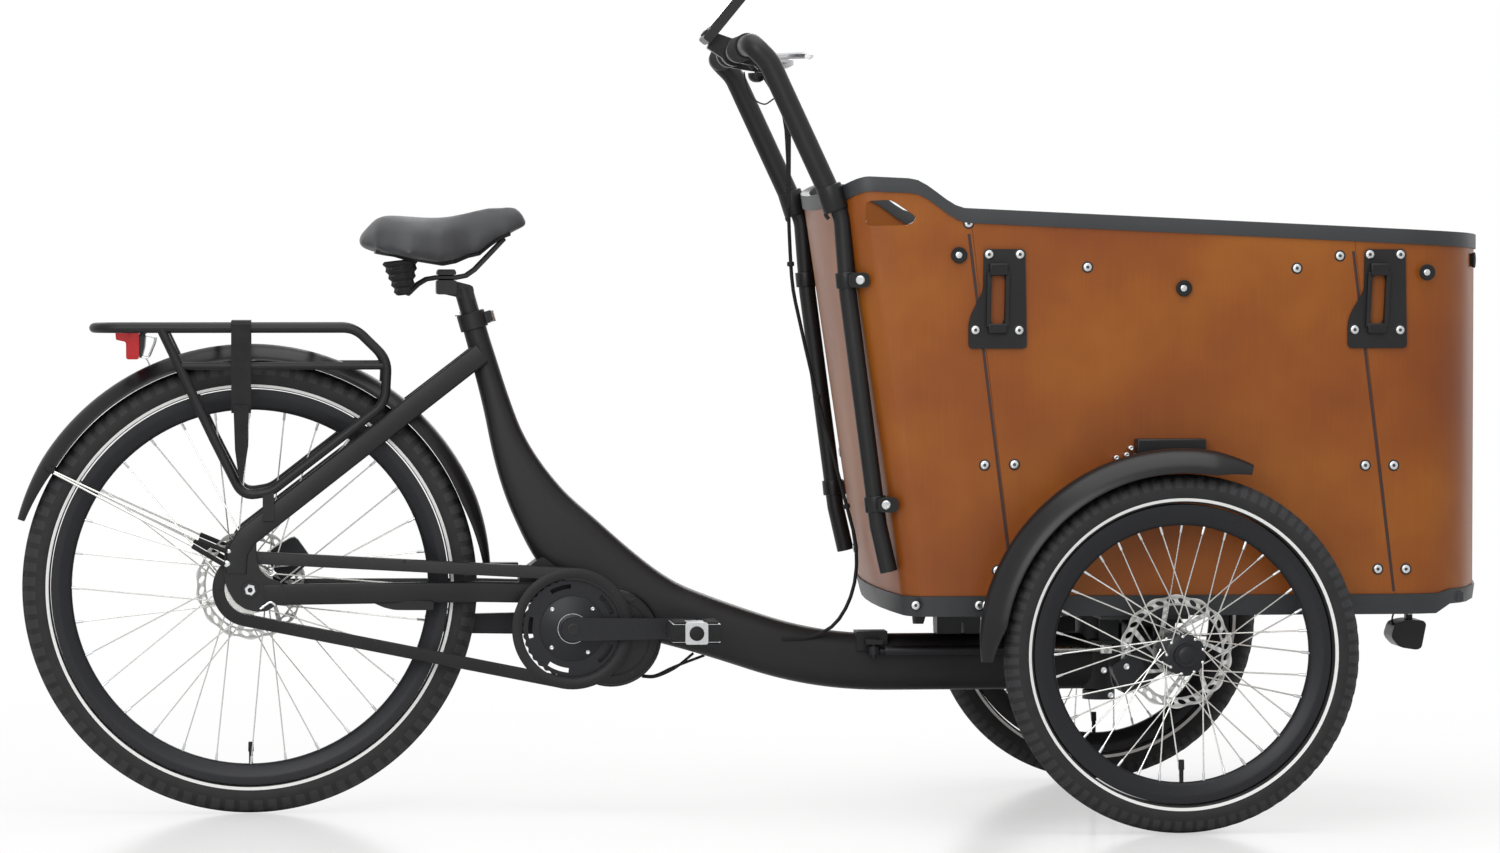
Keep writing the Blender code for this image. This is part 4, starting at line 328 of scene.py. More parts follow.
# %% Plywood
FIBRE_WIDTH_MM = 1.6
FIBRE_LENGTH_MM = 90.0
VENEER = 0.0015
CUT_FROM_Y = 0.2995
plywood, tree, shader = material("Stained birch plywood", Roughness=0.45, Specular_IOR_Level=0.25,
                                 Coat_Weight=0.12, Coat_Roughness=0.18)
place = coords(tree)
fine, long = 1000.0 / FIBRE_WIDTH_MM, 1000.0 / FIBRE_LENGTH_MM
stretch = put(tree, "ShaderNodeMapping", None, {"Scale": (fine, fine, long)}, {"Vector": place})
fibre = noise(tree, stretch.outputs[0], 1.0, 4.0, 0.6)
stain = tinted(tree, noise(tree, place, 4.5, 3.0, 0.55), (0.32, "7B3D11"), (0.50, "864711"), (0.68, "935416"))
grain = mapped(tree, fibre, From_Min=0.3, From_Max=0.7, To_Min=0.95, To_Max=1.04)
wood = put(tree, "ShaderNodeVectorMath", {"operation": "SCALE"}, None, {0: stain, "Scale": grain}).outputs[0]
normal = put(tree, "ShaderNodeNewGeometry").outputs["Normal"]
side_way, out_y = [step(tree, "Math", "ABSOLUTE", put(tree, "ShaderNodeSeparateXYZ", links={0: way}).outputs["Y"])
                   for way in (normal, place)]
cut_here = step(tree, "Math", "MULTIPLY", step(tree, "Math", "LESS_THAN", side_way, 0.30),
                step(tree, "Math", "GREATER_THAN", out_y, CUT_FROM_Y))
layers = mapped(tree, step(tree, "Math", "PINGPONG", out_y, VENEER), From_Max=VENEER)
plies = tinted(tree, layers, (0.35, "C28A54"), (0.65, "8A5128"))
face = put(tree, "ShaderNodeMix", {"data_type": "RGBA"}, None, {0: cut_here, 6: wood, 7: plies}).outputs[2]
dress(tree, shader, face, fibre, 0.12, 0.0003)
print("plywood fibres", FIBRE_WIDTH_MM, "by", FIBRE_LENGTH_MM, "mm")

# %% [markdown]
# ## Trim and lenses
# The box edge and floor ring are an extruded aluminium profile coated in dark grey. Lenses are acrylic: red
# for the rear lamp, clear for the others. Seen against a bowl behind it, a clear lens with some roughness
# reads as moulded glass without long render times.

# %% Trim, lenses and reflectors
trim, tree, shader = material("Coated aluminium profile, grey", Roughness=0.48, Specular_IOR_Level=0.45)
place = coords(tree)
dress(tree, shader, tinted(tree, noise(tree, place, 6.0), (0.3, "232527"), (0.7, "2B2D30")),
      noise(tree, place, 420.0), 0.2, 0.0003)


def lens(name, code, transmission, ribs_mm):
    """Acrylic moulded with small square prisms."""
    made, tree, shader = material(name, Base_Color=light_of(code), Roughness=0.12, IOR=1.49,
                                  Transmission_Weight=transmission)
    prisms = put(tree, "ShaderNodeTexVoronoi", {"distance": "CHEBYCHEV"},
                 {"Scale": 1000.0 / ribs_mm, "Randomness": 0.0}, {"Vector": coords(tree)})
    dress(tree, shader, None, prisms.outputs["Distance"], 0.6, 0.0012)
    return made


red_lens = lens("Acrylic, red", "C8141C", 0.35, 4.0)
clear_lens = lens("Acrylic, clear", "F2F4F6", 0.75, 6.0)
glass = material("Glass, dark", Base_Color=light_of("0C0E12"), Roughness=0.08, Coat_Weight=0.5)[0]
joint_dark = material("Joint profile, dark brown", Base_Color=light_of("2E120A"), Roughness=0.6)[0]
print("materials so far:", len(bpy.data.materials))

# %% [markdown]
# ## Saddle cover
# The saddle is foam under a stretched cover of coated fabric with a fine leather grain. Voronoi cells just
# under 2 mm across make the grain, and the edges between them are pressed in, as creases in leather are.

# %% Saddle cover
LEATHER_MM = 1.8
cover, tree, shader = material("Polyurethane leather", Roughness=0.52, Sheen_Weight=0.15, Sheen_Roughness=0.5)
place = coords(tree)
creases = put(tree, "ShaderNodeTexVoronoi", {"feature": "DISTANCE_TO_EDGE"}, {"Scale": 1000.0 / LEATHER_MM},
              {"Vector": place})
dress(tree, shader, tinted(tree, noise(tree, place, 18.0), (0.3, "28292C"), (0.7, "343538")),
      mapped(tree, creases.outputs["Distance"], From_Max=0.12), 0.3, 0.0003)
print("leather grain", LEATHER_MM, "mm")

# %% [markdown]
# ## Shape helpers
# Most hardware is turned, bent or stamped, and each of those is one short function: a lathe for turned
# parts, a rod along a line for bent ones, and a stamped sheet. Each gives plain points and faces, so that
# many small parts can be gathered into one piece.

# %% Lathe, rod and sheet


def quads(rows, size, round_rows, round_columns):
    """Faces between rows of equally many points; either way can run back to its start."""
    faces = []
    for i in range(rows if round_rows else rows - 1):
        a, b = i * size, (i + 1) % rows * size
        for j in range(size if round_columns else size - 1):
            k = (j + 1) % size
            faces.append((a + j, a + k, b + k, b + j))
    return faces


def skin(rings, closed=False):
    """Points and faces through rings of equally many points; a closed skin runs back to its first ring."""
    size, count = len(rings[0]), len(rings)
    faces = quads(count, size, closed, True)
    if not closed:
        faces += [tuple(range(size)), tuple(range((count - 1) * size, count * size))]
    return [point for ring in rings for point in ring], faces


def lathe(profile, centre, axis=AXIS_Y, turns=32, closed=False):
    """Points and faces of a turned part, from pairs of radius and distance along its axis in millimetres."""
    axis = Vector(axis).normalized()
    first = axis.orthogonal().normalized()
    second = axis.cross(first)
    size = len(profile)
    points = []
    for i in range(turns):
        turn = 2.0 * math.pi * i / turns
        out = first * math.cos(turn) + second * math.sin(turn)
        points += [centre + out * (radius / 1000.0) + axis * (along / 1000.0) for radius, along in profile]
    faces = quads(turns, size, True, closed)
    if not closed:
        faces.append(tuple(i * size for i in range(turns)))
        faces.append(tuple((turns - 1 - i) * size + size - 1 for i in range(turns)))
    return points, faces


def rod(line, radius, sides=10):
    """Points and faces of a round rod along a line; radius may be a list, one for each point."""
    line = [Vector(point) for point in line]
    normal = (line[1] - line[0]).normalized().orthogonal().normalized()
    rings = []
    for i, point in enumerate(line):
        way = (line[min(i + 1, len(line) - 1)] - line[max(i - 1, 0)]).normalized()
        normal = (normal - way * normal.dot(way)).normalized()
        across = way.cross(normal)
        size = radius[i] if isinstance(radius, list) else radius
        turns = [2.0 * math.pi * j / sides for j in range(sides)]
        rings.append([point + (normal * math.cos(turn) + across * math.sin(turn)) * size for turn in turns])
    return skin(rings)


def stamped(outline, y_from, y_to, holes=()):
    """A flat sheet seen from the side, stamped with holes, from lists of points in X and Z."""
    loops = [[Vector((x, 0.0, z)) for x, z in loop] for loop in [outline, *holes]]
    flat = [point for loop in loops for point in loop]
    count = len(flat)
    points = [Vector((p.x, y_from, p.z)) for p in flat] + [Vector((p.x, y_to, p.z)) for p in flat]
    faces = []
    for a, b, c in tessellate_polygon(loops):
        faces += [(a, b, c), (c + count, b + count, a + count)]
    start = 0
    for loop in loops:
        for j in range(len(loop)):
            k = (j + 1) % len(loop)
            faces.append((start + j, start + k, start + k + count, start + j + count))
        start += len(loop)
    return points, faces


def block(low, high):
    """A box between two corners."""
    points = [Vector((x, y, z)) for x in (low[0], high[0]) for y in (low[1], high[1]) for z in (low[2], high[2])]
    return points, [(0, 1, 3, 2), (4, 6, 7, 5), (0, 4, 5, 1), (2, 3, 7, 6), (0, 2, 6, 4), (1, 5, 7, 3)]


# %% [markdown]
# Lines and outlines feed those shapes. Marks along a tube get round bends, a cable runs smoothly through its
# marks, and a sheet gets round corners. A belt is the line round two circles: the chain case, the motor and
# the cranks all have that outline.

# %% Lines and outlines


def arch(start, corner, end, t):
    """A point on the curve that runs from start to end, bent towards a corner."""
    return start * (1.0 - t) ** 2 + corner * 2.0 * t * (1.0 - t) + end * t * t


def fillet(marks, radius, steps=6):
    """A line whose corners are rounded."""
    marks = [Vector(mark) for mark in marks]
    line = [marks[0]]
    for before, corner, after in zip(marks, marks[1:], marks[2:]):
        back, ahead = (before - corner).normalized(), (after - corner).normalized()
        half = back.angle(ahead) / 2.0
        if half > 1.55:
            line.append(corner)
            continue
        reach = min(radius / math.tan(half), (before - corner).length * 0.48, (after - corner).length * 0.48)
        line += [arch(corner + back * reach, corner, corner + ahead * reach, i / steps) for i in range(steps + 1)]
    return line + [marks[-1]]


def rounded(outline, share=0.30, steps=4):
    """An outline in X and Z with its corners rounded."""
    smooth = []
    count = len(outline)
    for i in range(count):
        before, corner, after = (Vector(outline[j % count]) for j in (i - 1, i, i + 1))
        start, end = corner.lerp(before, share), corner.lerp(after, share)
        smooth += [tuple(arch(start, corner, end, j / steps)) for j in range(steps + 1)]
    return smooth


def plate(outline, share, y_from, y_to, steps=4):
    """A sheet with rounded corners, from an outline measured from the rear axle."""
    return stamped(placed(rounded(outline, share, steps)), y_from, y_to)


def curve_through(marks, steps=6):
    """A smooth line through marks, by Catmull and Rom's rule."""
    marks = [Vector(mark) for mark in marks]
    ends = [marks[0] * 2.0 - marks[1]] + marks + [marks[-1] * 2.0 - marks[-2]]
    line = []
    for a, b, c, d in zip(ends, ends[1:], ends[2:], ends[3:]):
        for i in range(steps):
            t = i / steps
            line.append(0.5 * (b * 2.0 + (c - a) * t + (a * 2.0 - b * 5.0 + c * 4.0 - d) * t * t
                               + (b * 3.0 - a - c * 3.0 + d) * t ** 3))
    return line + [marks[-1]]


def at_turn(centre, radius, turn):
    """The X and Z of a point at a distance and an angle from a centre."""
    return centre.x + radius * math.cos(turn), centre.z + radius * math.sin(turn)


def circle(centre, radius, count):
    """Points in X and Z on a circle."""
    return [at_turn(centre, radius, 2.0 * math.pi * i / count) for i in range(count)]


def belt(a, a_radius, b, b_radius, steps=28):
    """The outline in X and Z of a belt round two circles."""
    way = Vector((b.x - a.x, 0.0, b.z - a.z))
    tilt = math.acos((a_radius - b_radius) / way.length)
    along = math.atan2(way.z, way.x)
    ends = ((a, a_radius, along + tilt, 2.0 * (math.pi - tilt)), (b, b_radius, along - tilt, 2.0 * tilt))
    return [at_turn(centre, radius, start + sweep * i / steps)
            for centre, radius, start, sweep in ends for i in range(steps + 1)]


def flat_bar(line, half_depth, half_width, corner=0.0035):
    """A bar with rounded edges along a line; its depth lies in the side view and its width across."""
    rings = []
    for i, point in enumerate(line):
        way = line[min(i + 1, len(line) - 1)] - line[max(i - 1, 0)]
        up = Vector((-way.z, 0.0, way.x)).normalized()
        ring = []
        for depth_side, width_side, begin in ((1, 1, 0.0), (-1, 1, 90.0), (-1, -1, 180.0), (1, -1, 270.0)):
            for turn in [math.radians(begin + 30.0 * j) for j in range(4)]:
                ring.append(point + up * (depth_side * (half_depth - corner) + corner * math.cos(turn))
                            + AXIS_Y * (width_side * (half_width - corner) + corner * math.sin(turn)))
        rings.append(ring)
    return skin(rings)


# %% [markdown]
# Small parts must sit on the surface that carries them. A ray shot at a solid finds that surface and the way
# that it faces, so a screw can be put there squarely.

# %% Finding a surface


def on_surface(node, start, way):
    """Where a ray meets a solid, and the direction that the surface faces there."""
    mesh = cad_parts[node].data
    tree = BVHTree.FromPolygons([v.co for v in mesh.vertices], [tuple(p.vertices) for p in mesh.polygons])
    return tree.ray_cast(start, Vector(way).normalized())[:2]


# %% [markdown]
# A finished piece needs a mesh, a finish, the body that carries it and the name of its stock. One function
# does that for all. It also turns faces outward and keeps hard edges crisp while round ones stay smooth.

# %% Making a piece
MADE = []


def piece(name, shapes, finish, body, stands_for=(), bevel=0.0, sharp=40.0):
    """Gathers shapes into one named object that rides on a body."""
    shapes = shapes if isinstance(shapes, list) else [shapes]
    points, faces = [], []
    for some_points, some_faces in shapes:
        start = len(points)
        points += [tuple(point) for point in some_points]
        faces += [tuple(start + index for index in face) for face in some_faces]
    mesh = bpy.data.meshes.new(name)
    mesh.from_pydata(points, [], faces)
    work = bmesh.new()
    work.from_mesh(mesh)
    bmesh.ops.recalc_face_normals(work, faces=work.faces)
    work.to_mesh(mesh)
    work.free()
    mesh.materials.append(finish)
    mesh.shade_smooth()
    mesh.set_sharp_from_angle(angle=math.radians(sharp))
    made = bpy.data.objects.new(name, mesh)
    bpy.context.scene.collection.objects.link(made)
    if bevel > 0.0:
        soften = made.modifiers.new("softened edges", "BEVEL")
        soften.width = bevel
        soften.segments = 2
        soften.limit_method = "ANGLE"
    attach(made, body)
    if stands_for:
        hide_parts(*stands_for)
    MADE.append(made)


# %% [markdown]
# ## Tyres
# A tyre is a torus with a tread. The section is swept round in fine steps, and its crown is pressed in
# wherever a groove runs: two grooves round the middle, and slanting cuts on the shoulders that make the
# blocks seen along the edge. Modelling the blocks, and not painting them, gives the outline its teeth.

# %% Tyres
TYRE_HALF = 0.0235
TREAD_DEPTH = 0.0022
TREAD_EDGE = 0.0205
BLOCK_LENGTH = 0.0235
BLOCK_CUT = 0.24
BLOCK_SLANT = 22.0
STEPS_PER_BLOCK = 6
SECTION_STEPS = 40
BEAD_LIP = 0.007


def tread(along, across):
    """How deep the tread is cut, from the distance along the tyre in blocks and across it in metres."""
    side = abs(across)
    if side < 0.0020 or side > TREAD_EDGE:
        return 0.0
    if side <= 0.0042:
        return 0.8
    slant = (along + side * BLOCK_SLANT * math.copysign(1.0, across) + (0.5 if across > 0.0 else 0.0)) % 1.0
    depth = 1.0 if slant < BLOCK_CUT else 0.0
    if 0.0105 <= side <= 0.0122:
        depth = max(depth, 0.7)
    return depth * min(1.0, (TREAD_EDGE + 0.001 - side) / 0.003)


def tyre(centre, radius, bead):
    """A tyre with blocks, from its outer radius and the radius where it meets the rim."""
    core = radius - TYRE_HALF
    start = math.acos(max(-1.0, (core - (bead + BEAD_LIP)) / TYRE_HALF))
    turns = round(2.0 * math.pi * radius / BLOCK_LENGTH) * STEPS_PER_BLOCK
    rings = []
    for i in range(turns):
        turn = 2.0 * math.pi * i / turns
        ring = []
        for j in range(SECTION_STEPS + 1):
            lean = start + (2.0 * math.pi - 2.0 * start) * j / SECTION_STEPS
            depth = TREAD_DEPTH * tread(i / STEPS_PER_BLOCK, TYRE_HALF * (math.pi - lean)) + 0.0003
            reach = core - (TYRE_HALF - depth) * math.cos(lean)
            side = (TYRE_HALF - depth) * math.sin(lean)
            ring.append(centre + Vector((reach * math.cos(turn), side, reach * math.sin(turn))))
        rings.append(ring)
    return skin(rings, closed=True)


WHEELS = [("rear", REAR_CENTRE, 0.3265, 0.2795, 0.2900, 16)]
for word, side in SIDES:
    hub = spot(FRONT_WHEEL_X, side * FRONT_WHEEL_Y, FRONT_WHEEL_Z)
    WHEELS.append((word + "_front", hub, 0.250, 0.203, 0.2150, 18))
for word, centre, radius, bead, stripe, per_flange in WHEELS:
    name = word + "_tyre_treaded"
    finish = tyre_finish("Tyre rubber, " + name.replace("_", " "), centre, stripe)
    piece(name, tyre(centre, radius, bead), finish, word + "_wheel_body", (word + "_tyre",), sharp=75.0)
print("tyres:", len(MADE))

# %% [markdown]
# ## Rims, spokes and hubs
# Each wheel is laced: a spoke leaves its hub flange almost along a tangent, crosses others and meets the rim
# in a nipple. Leading spokes lie outside the flange and trailing ones inside. The rim is a deep hollow
# section, here one closed profile turned about the axle.

# %% Rim, lacing and hub
SPOKE_RADIUS = 0.00105
FLANGE_RADIUS = 0.029
FLANGE_OFFSET = 0.026
RIM_DEPTH = 0.0245
LACING_SWING = math.radians(58.0)
SPOKE_HEAD = [(0.6, -1.2), (2.1, -0.8), (2.1, 0.2), (0.8, 0.8)]


def rim(centre, bead):
    """A rim, from the radius where the tyre meets it; its section is listed from the bead outward in mm."""
    bead, low = bead * 1000.0, (bead - RIM_DEPTH) * 1000.0
    half = [(bead - 3.3, 8.4), (bead + 5.0, 10.8), (bead + 5.4, 11.5), (bead + 5.0, 12.2), (bead - 4.0, 12.2),
            (bead - 8.0, 11.6), (low + 6.0, 6.5), (low + 1.2, 4.2), (low + 0.2, 2.2)]
    return lathe(half + [(radius, -along) for radius, along in reversed(half)], centre, turns=144, closed=True)


def lacing(centre, bead, per_flange):
    """Spokes with bent necks, their heads, and their nipples at the rim."""
    wires, nipples = [], []
    spacing = 2.0 * math.pi / per_flange
    inner, outer = FLANGE_RADIUS - 0.0030, bead - RIM_DEPTH + 0.001
    for flange, side in enumerate((-1.0, 1.0)):
        for j in range(per_flange):
            leads = 1.0 if j % 2 == 0 else -1.0
            at_rim = spacing * (j + flange * 0.5)
            at_hub = at_rim + LACING_SWING * leads
            offset = side * (FLANGE_OFFSET + 0.0042 * leads)
            neck = Vector((inner * math.cos(at_hub), offset, inner * math.sin(at_hub)))
            end = Vector((outer * math.cos(at_rim), side * 0.0014, outer * math.sin(at_rim)))
            back = (neck - end).normalized()
            wires.append(rod([centre + neck, centre + end], SPOKE_RADIUS, 7))
            wires.append(lathe(SPOKE_HEAD, centre + neck, AXIS_Y * side * leads, 8))
            nipples.append(rod([centre + end, centre + end + back * 0.0110, centre + end + back * 0.0120],
                               [0.0020, 0.0019, 0.0014], 8))
    return wires, nipples


for word, centre, radius, bead, stripe, per_flange in WHEELS:
    body = word + "_wheel_body"
    wires, nipples = lacing(centre, bead, per_flange)
    foot = centre - AXIS_Z * (bead - RIM_DEPTH + 0.001)
    valve = rod([foot + AXIS_Z * rise for rise in (0.0, 0.018, 0.0182, 0.032)], [0.0030, 0.0030, 0.0042, 0.0038], 12)
    piece(word + "_rim", rim(centre, bead), anodised, body, (word + "_wheel",))
    piece(word + "_spokes", wires, stainless, body)
    piece(word + "_nipples", nipples, zinc, body)
    piece(word + "_valve", valve, rubber, body)
print("laced wheels:", len(WHEELS))

# %% [markdown]
# The rear hub holds gears, so its barrel is wide. The front hubs turn on stub axles and end in a cap with a
# stepped face. Both are turned parts, dyed black. Inside the dropout a bright cover plate closes the gear
# hub, and a crescent of it shows beside the chain case.

# %% Hubs
FLANGE = [(27.5, 23.0), (29.0, 24.0), (29.0, 28.2), (27.5, 29.4)]
FAR_FLANGE = [(radius, -along) for radius, along in reversed(FLANGE)]
REAR_HUB = [(6.4, -63.7), (16.0, -63.7), (16.5, -60.0), (16.5, -30.0)] + FAR_FLANGE + [
    (23.0, -21.5), (21.5, -10.0), (21.5, 10.0), (23.0, 21.5)] + FLANGE + [
    (22.5, 30.0), (22.5, 47.4), (11.9, 47.5), (11.9, 63.7), (6.4, 63.7)]
FRONT_HUB = [(10.4, -47.0), (15.0, -47.0), (22.5, -43.0), (22.5, -30.0)] + FAR_FLANGE + [
    (19.5, -21.0), (16.5, -12.0), (16.5, 12.0), (19.5, 21.0)] + FLANGE + [
    (20.0, 30.2), (17.2, 31.0), (17.0, 38.5), (16.0, 39.8), (15.0, 40.0), (14.5, 39.4), (12.0, 39.2),
    (11.0, 40.2), (6.0, 41.0), (0.6, 41.2), (0.6, 30.0), (10.4, 25.5)]
HUB_COVER = [(18.0, -47.0), (34.5, -47.0), (35.0, -47.5), (34.5, -48.0), (24.0, -48.6), (18.0, -48.6)]
piece("rear_hub", lathe(REAR_HUB, REAR_CENTRE, turns=48, closed=True), anodised, "rear_wheel_body")
piece("hub_cover_plate", lathe(HUB_COVER, REAR_CENTRE, turns=48, closed=True), alloy, "rear_wheel_body")
for word, side in SIDES:
    centre = spot(FRONT_WHEEL_X, side * FRONT_WHEEL_Y, FRONT_WHEEL_Z)
    piece(word + "_front_hub", lathe(FRONT_HUB, centre, AXIS_Y * side, 48, True), anodised,
          word + "_front_wheel_body")
print("hub profile points:", len(REAR_HUB), len(FRONT_HUB))

# %% [markdown]
# ## Brake discs
# A disc of 160 mm is stamped from 2 mm stainless sheet: a waved edge, vents that clear water, and slanted
# arms that let the rim of the disc grow when hot. The sheet is filled between its outline and its holes.

# %% Discs
DISC_RADIUS = 0.080
DISC_THICKNESS = 0.0020
VENT_RADIUS = 0.0712
LOBES = 14
ARMS = 7
REAR_DISC_Y = 0.0478


def disc(centre, y_from, bore):
    """A brake disc with its bore, two vents to each lobe and the windows between its arms."""
    turns = [2.0 * math.pi * i / (LOBES * 10) for i in range(LOBES * 10)]
    outline = [at_turn(centre, DISC_RADIUS * (1.0 - 0.018 * (1.0 + math.cos(LOBES * turn))), turn) for turn in turns]
    holes = [circle(centre, bore, 24)]
    for k in range(LOBES * 2):
        middle = 2.0 * math.pi * (k + 0.5) / (LOBES * 2)
        swings = [2.0 * math.pi * i / 8.0 for i in range(8)]
        holes.append([at_turn(centre, VENT_RADIUS + 0.0036 * math.sin(swing) + 0.0020 * math.cos(swing),
                              middle + 0.0060 * math.cos(swing) / VENT_RADIUS) for swing in swings])
    for k in range(ARMS):
        begin = 2.0 * math.pi * k / ARMS
        window = [at_turn(centre, 0.0648, begin + math.radians(3.5 + 44.5 * i / 8.0)) for i in range(9)]
        window += [at_turn(centre, 0.0335, begin + math.radians(74.0 - 41.0 * i / 6.0)) for i in range(7)]
        holes.append(window)
    return stamped(outline, y_from, y_from + DISC_THICKNESS, holes)


DISCS = [("rear", REAR_CENTRE, REAR_DISC_Y, 0.0123)]
for word, side in SIDES:
    low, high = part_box(word + "_front_rotor")
    DISCS.append((word + "_front", spot(FRONT_WHEEL_X, 0.0, FRONT_WHEEL_Z), low.y, 0.0228))
    print(word, "disc from y", round(low.y, 4), "to", round(high.y, 4))
for word, centre, y_from, bore in DISCS:
    piece(word + "_disc", disc(centre, y_from, bore), ground_disc("Stainless steel, ground, " + word, centre),
          word + "_wheel_body", (word + "_rotor",), sharp=30.0)
bolts = []
for k in range(6):
    x, z = at_turn(REAR_CENTRE, 0.0265, 2.0 * math.pi * (k + 0.5) / 6.0)
    bolts.append(lathe([(1.0, 0.3), (1.0, 1.2), (2.6, 1.2), (3.0, 0.0)],
                       Vector((x, REAR_DISC_Y + DISC_THICKNESS, z)), AXIS_Y, 12))
piece("rear_disc_bolts", bolts, zinc, "rear_wheel_body")

# %% [markdown]
# ## Saddle
# Foam under a stretched cover bulges softly between its edges. The plain solid is copied, remeshed finely
# and put under a little inner pressure as cloth, which rounds every edge as foam does. A cap on the movement
# keeps the saddle's shape, and smoothing draws the skin tight.

# %% Saddle cushion
SADDLE_VOXEL = 0.005
SADDLE_SWELL = 0.0022
PRESSURE = 4.0
SKIN_MASS = 0.3
SIM_FRAMES = 20


def baked(made):
    """The mesh of an object with its modifiers applied."""
    return bpy.data.meshes.new_from_object(made.evaluated_get(bpy.context.evaluated_depsgraph_get()))


def swollen(node, name):
    """A copy of a solid that has been puffed up as cloth, with its movement capped."""
    made = bpy.data.objects.new(name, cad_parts[node].data.copy())
    bpy.context.scene.collection.objects.link(made)
    voxel = made.modifiers.new("fine skin", "REMESH")
    voxel.mode = "VOXEL"
    voxel.voxel_size = SADDLE_VOXEL
    bpy.context.view_layer.update()
    made.data = baked(made)
    made.modifiers.clear()
    cloth = made.modifiers.new("cloth", "CLOTH")
    cloth.settings.use_pressure = True
    cloth.settings.uniform_pressure_force = PRESSURE
    cloth.settings.effector_weights.gravity = 0.0
    cloth.settings.mass = SKIN_MASS
    cloth.point_cache.frame_start = 1
    cloth.point_cache.frame_end = SIM_FRAMES
    for now in range(1, SIM_FRAMES + 1):
        bpy.context.scene.frame_set(now)
    puffed = baked(made)
    made.modifiers.clear()
    for vertex, moved in zip(made.data.vertices, puffed.vertices):
        start = vertex.co.copy()
        shift = moved.co - start
        if shift.length > SADDLE_SWELL:
            shift = shift.normalized() * SADDLE_SWELL
        vertex.co = start + shift
    bpy.context.scene.frame_set(1)
    return made


cushion = swollen("saddle_cushion", "saddle_pad")
smooth = cushion.modifiers.new("drawn tight", "SMOOTH")
smooth.factor = 0.5
smooth.iterations = 14
finer = cushion.modifiers.new("finer", "SUBSURF")
finer.levels = 1
finer.render_levels = 1
cushion.data.materials.clear()
cushion.data.materials.append(cover)
cushion.data.shade_smooth()
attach(cushion, "seat")
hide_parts("saddle_cushion")
print("saddle skin points:", len(cushion.data.vertices))

# %% [markdown]
# ## Screws in the box
# The panels are held by pale button-head screws in black cup washers, and four more hold each slotted
# bracket. Rubber studs for a rain cover stand between them. All are the same on both sides of the box.

# %% Box screws and studs
SIDE_SCREWS = [
    (1.0013, 0.8482), (1.1690, 0.7868), (1.4661, 0.7852), (1.5273, 0.8027), (1.0242, 0.5101), (1.0662, 0.5107),
    (1.0424, 0.3623), (1.5645, 0.5080), (1.6051, 0.5078), (1.5829, 0.3617), (1.6230, 0.3615),
]
FLOOR_SCREWS = [(0.9270, 0.3144), (1.0163, 0.3140), (1.0262, 0.3140)]
BRACKET_SCREWS = [
    (1.0295, 0.8045), (1.0730, 0.8045), (1.0105, 0.6990), (1.0720, 0.6985),
    (1.5692, 0.8045), (1.6127, 0.8045), (1.5479, 0.6990), (1.6126, 0.6985),
]
STUDS = [(0.9873, 0.8036), (1.3048, 0.7573), (1.6510, 0.7795)]
HEAD = [(2.2, 0.6), (2.3, 1.5), (4.2, 1.4), (5.4, 1.0), (6.0, 0.5), (6.1, 0.0)]
# A black hexagon set into each screw head is painted shade: it stands for the shade inside the head's socket.
SOCKET_SHADE = [(0.4, 0.4), (0.4, 1.1), (2.3, 1.1), (2.4, 0.4)]
CUP = [(2.0, 0.9), (7.2, 0.9), (8.0, 0.4), (8.1, 0.0)]
CUP_RISE = 0.0009
STUD = [(4.8, 4.6), (5.6, 6.6), (10.4, 6.8), (11.5, 5.6), (10.4, 3.4), (9.2, 0.0)]
STUD_PIN = [(0.8, 5.6), (3.0, 5.8), (4.6, 5.2), (4.8, 4.0)]
screw_places, stud_places = [], []
for word, side in SIDES:
    for places, face in ((SIDE_SCREWS, BOX_SIDE), (FLOOR_SCREWS, BOX_SIDE + 0.0028), (BRACKET_SCREWS, PLATE_FACE)):
        screw_places += [(spot(x, side * face, z), AXIS_Y * side) for x, z in places]
    stud_places += [(spot(x, side * BOX_SIDE, z), AXIS_Y * side) for x, z in STUDS]
for y in (-0.2, 0.2):
    stud_places.append(on_surface("front_panel", spot(2.2, y, 0.797), (-1.0, 0.0, 0.0)))
for y, z in ((-0.235, 0.509), (0.235, 0.509), (-0.235, 0.365), (0.235, 0.365)):
    screw_places.append(on_surface("rear_panel", spot(0.3, y, z), (1.0, 0.0, 0.0)))
for name, profile, rise, turns, finish, places in (
        ("box_screw_cups", CUP, 0.0, 20, blackened_steel_and_socket_shade, screw_places),
        ("box_screw_heads", HEAD, CUP_RISE, 20, zinc, screw_places),
        ("box_screw_socket_shade", SOCKET_SHADE, CUP_RISE, 6, blackened_steel_and_socket_shade, screw_places),
        ("cover_studs", STUD, 0.0, 28, rubber, stud_places),
        ("cover_stud_pins", STUD_PIN, 0.0, 20, zinc, stud_places)):
    piece(name, [lathe(profile, place + out * rise, out, turns) for place, out in places], finish, "steered_front")
print("screws:", len(screw_places), "studs:", len(stud_places))

# %% [markdown]
# ## Panel joints
# Where two panels meet, a thin dark profile closes the joint. It is a narrow strip that lies in the joint
# and leans back with it, from the floor ring to the rim.

# %% Joint strips
JOINTS = [((1.0018, 0.8330), (1.0653, 0.3300)), ((1.5465, 0.8090), (1.6060, 0.3300))]
STRIP_HALF = 0.0021
STRIP_RISE = 0.0002


def slat(low, top, near, far, y_from, y_to):
    """An upright strip between two points, from one offset in X to another."""
    corners = [(low[0] + near, low[1]), (low[0] + far, low[1]), (top[0] + far, top[1]), (top[0] + near, top[1])]
    return stamped(placed(corners), y_from, y_to)


strips = [slat(low, top, -STRIP_HALF, STRIP_HALF, side * (BOX_SIDE - STRIP_RISE), side * (BOX_SIDE + STRIP_RISE))
          for word, side in SIDES for top, low in JOINTS]
piece("panel_joint_strips", strips, joint_dark, "steered_front")
print("joint strips:", len(strips))

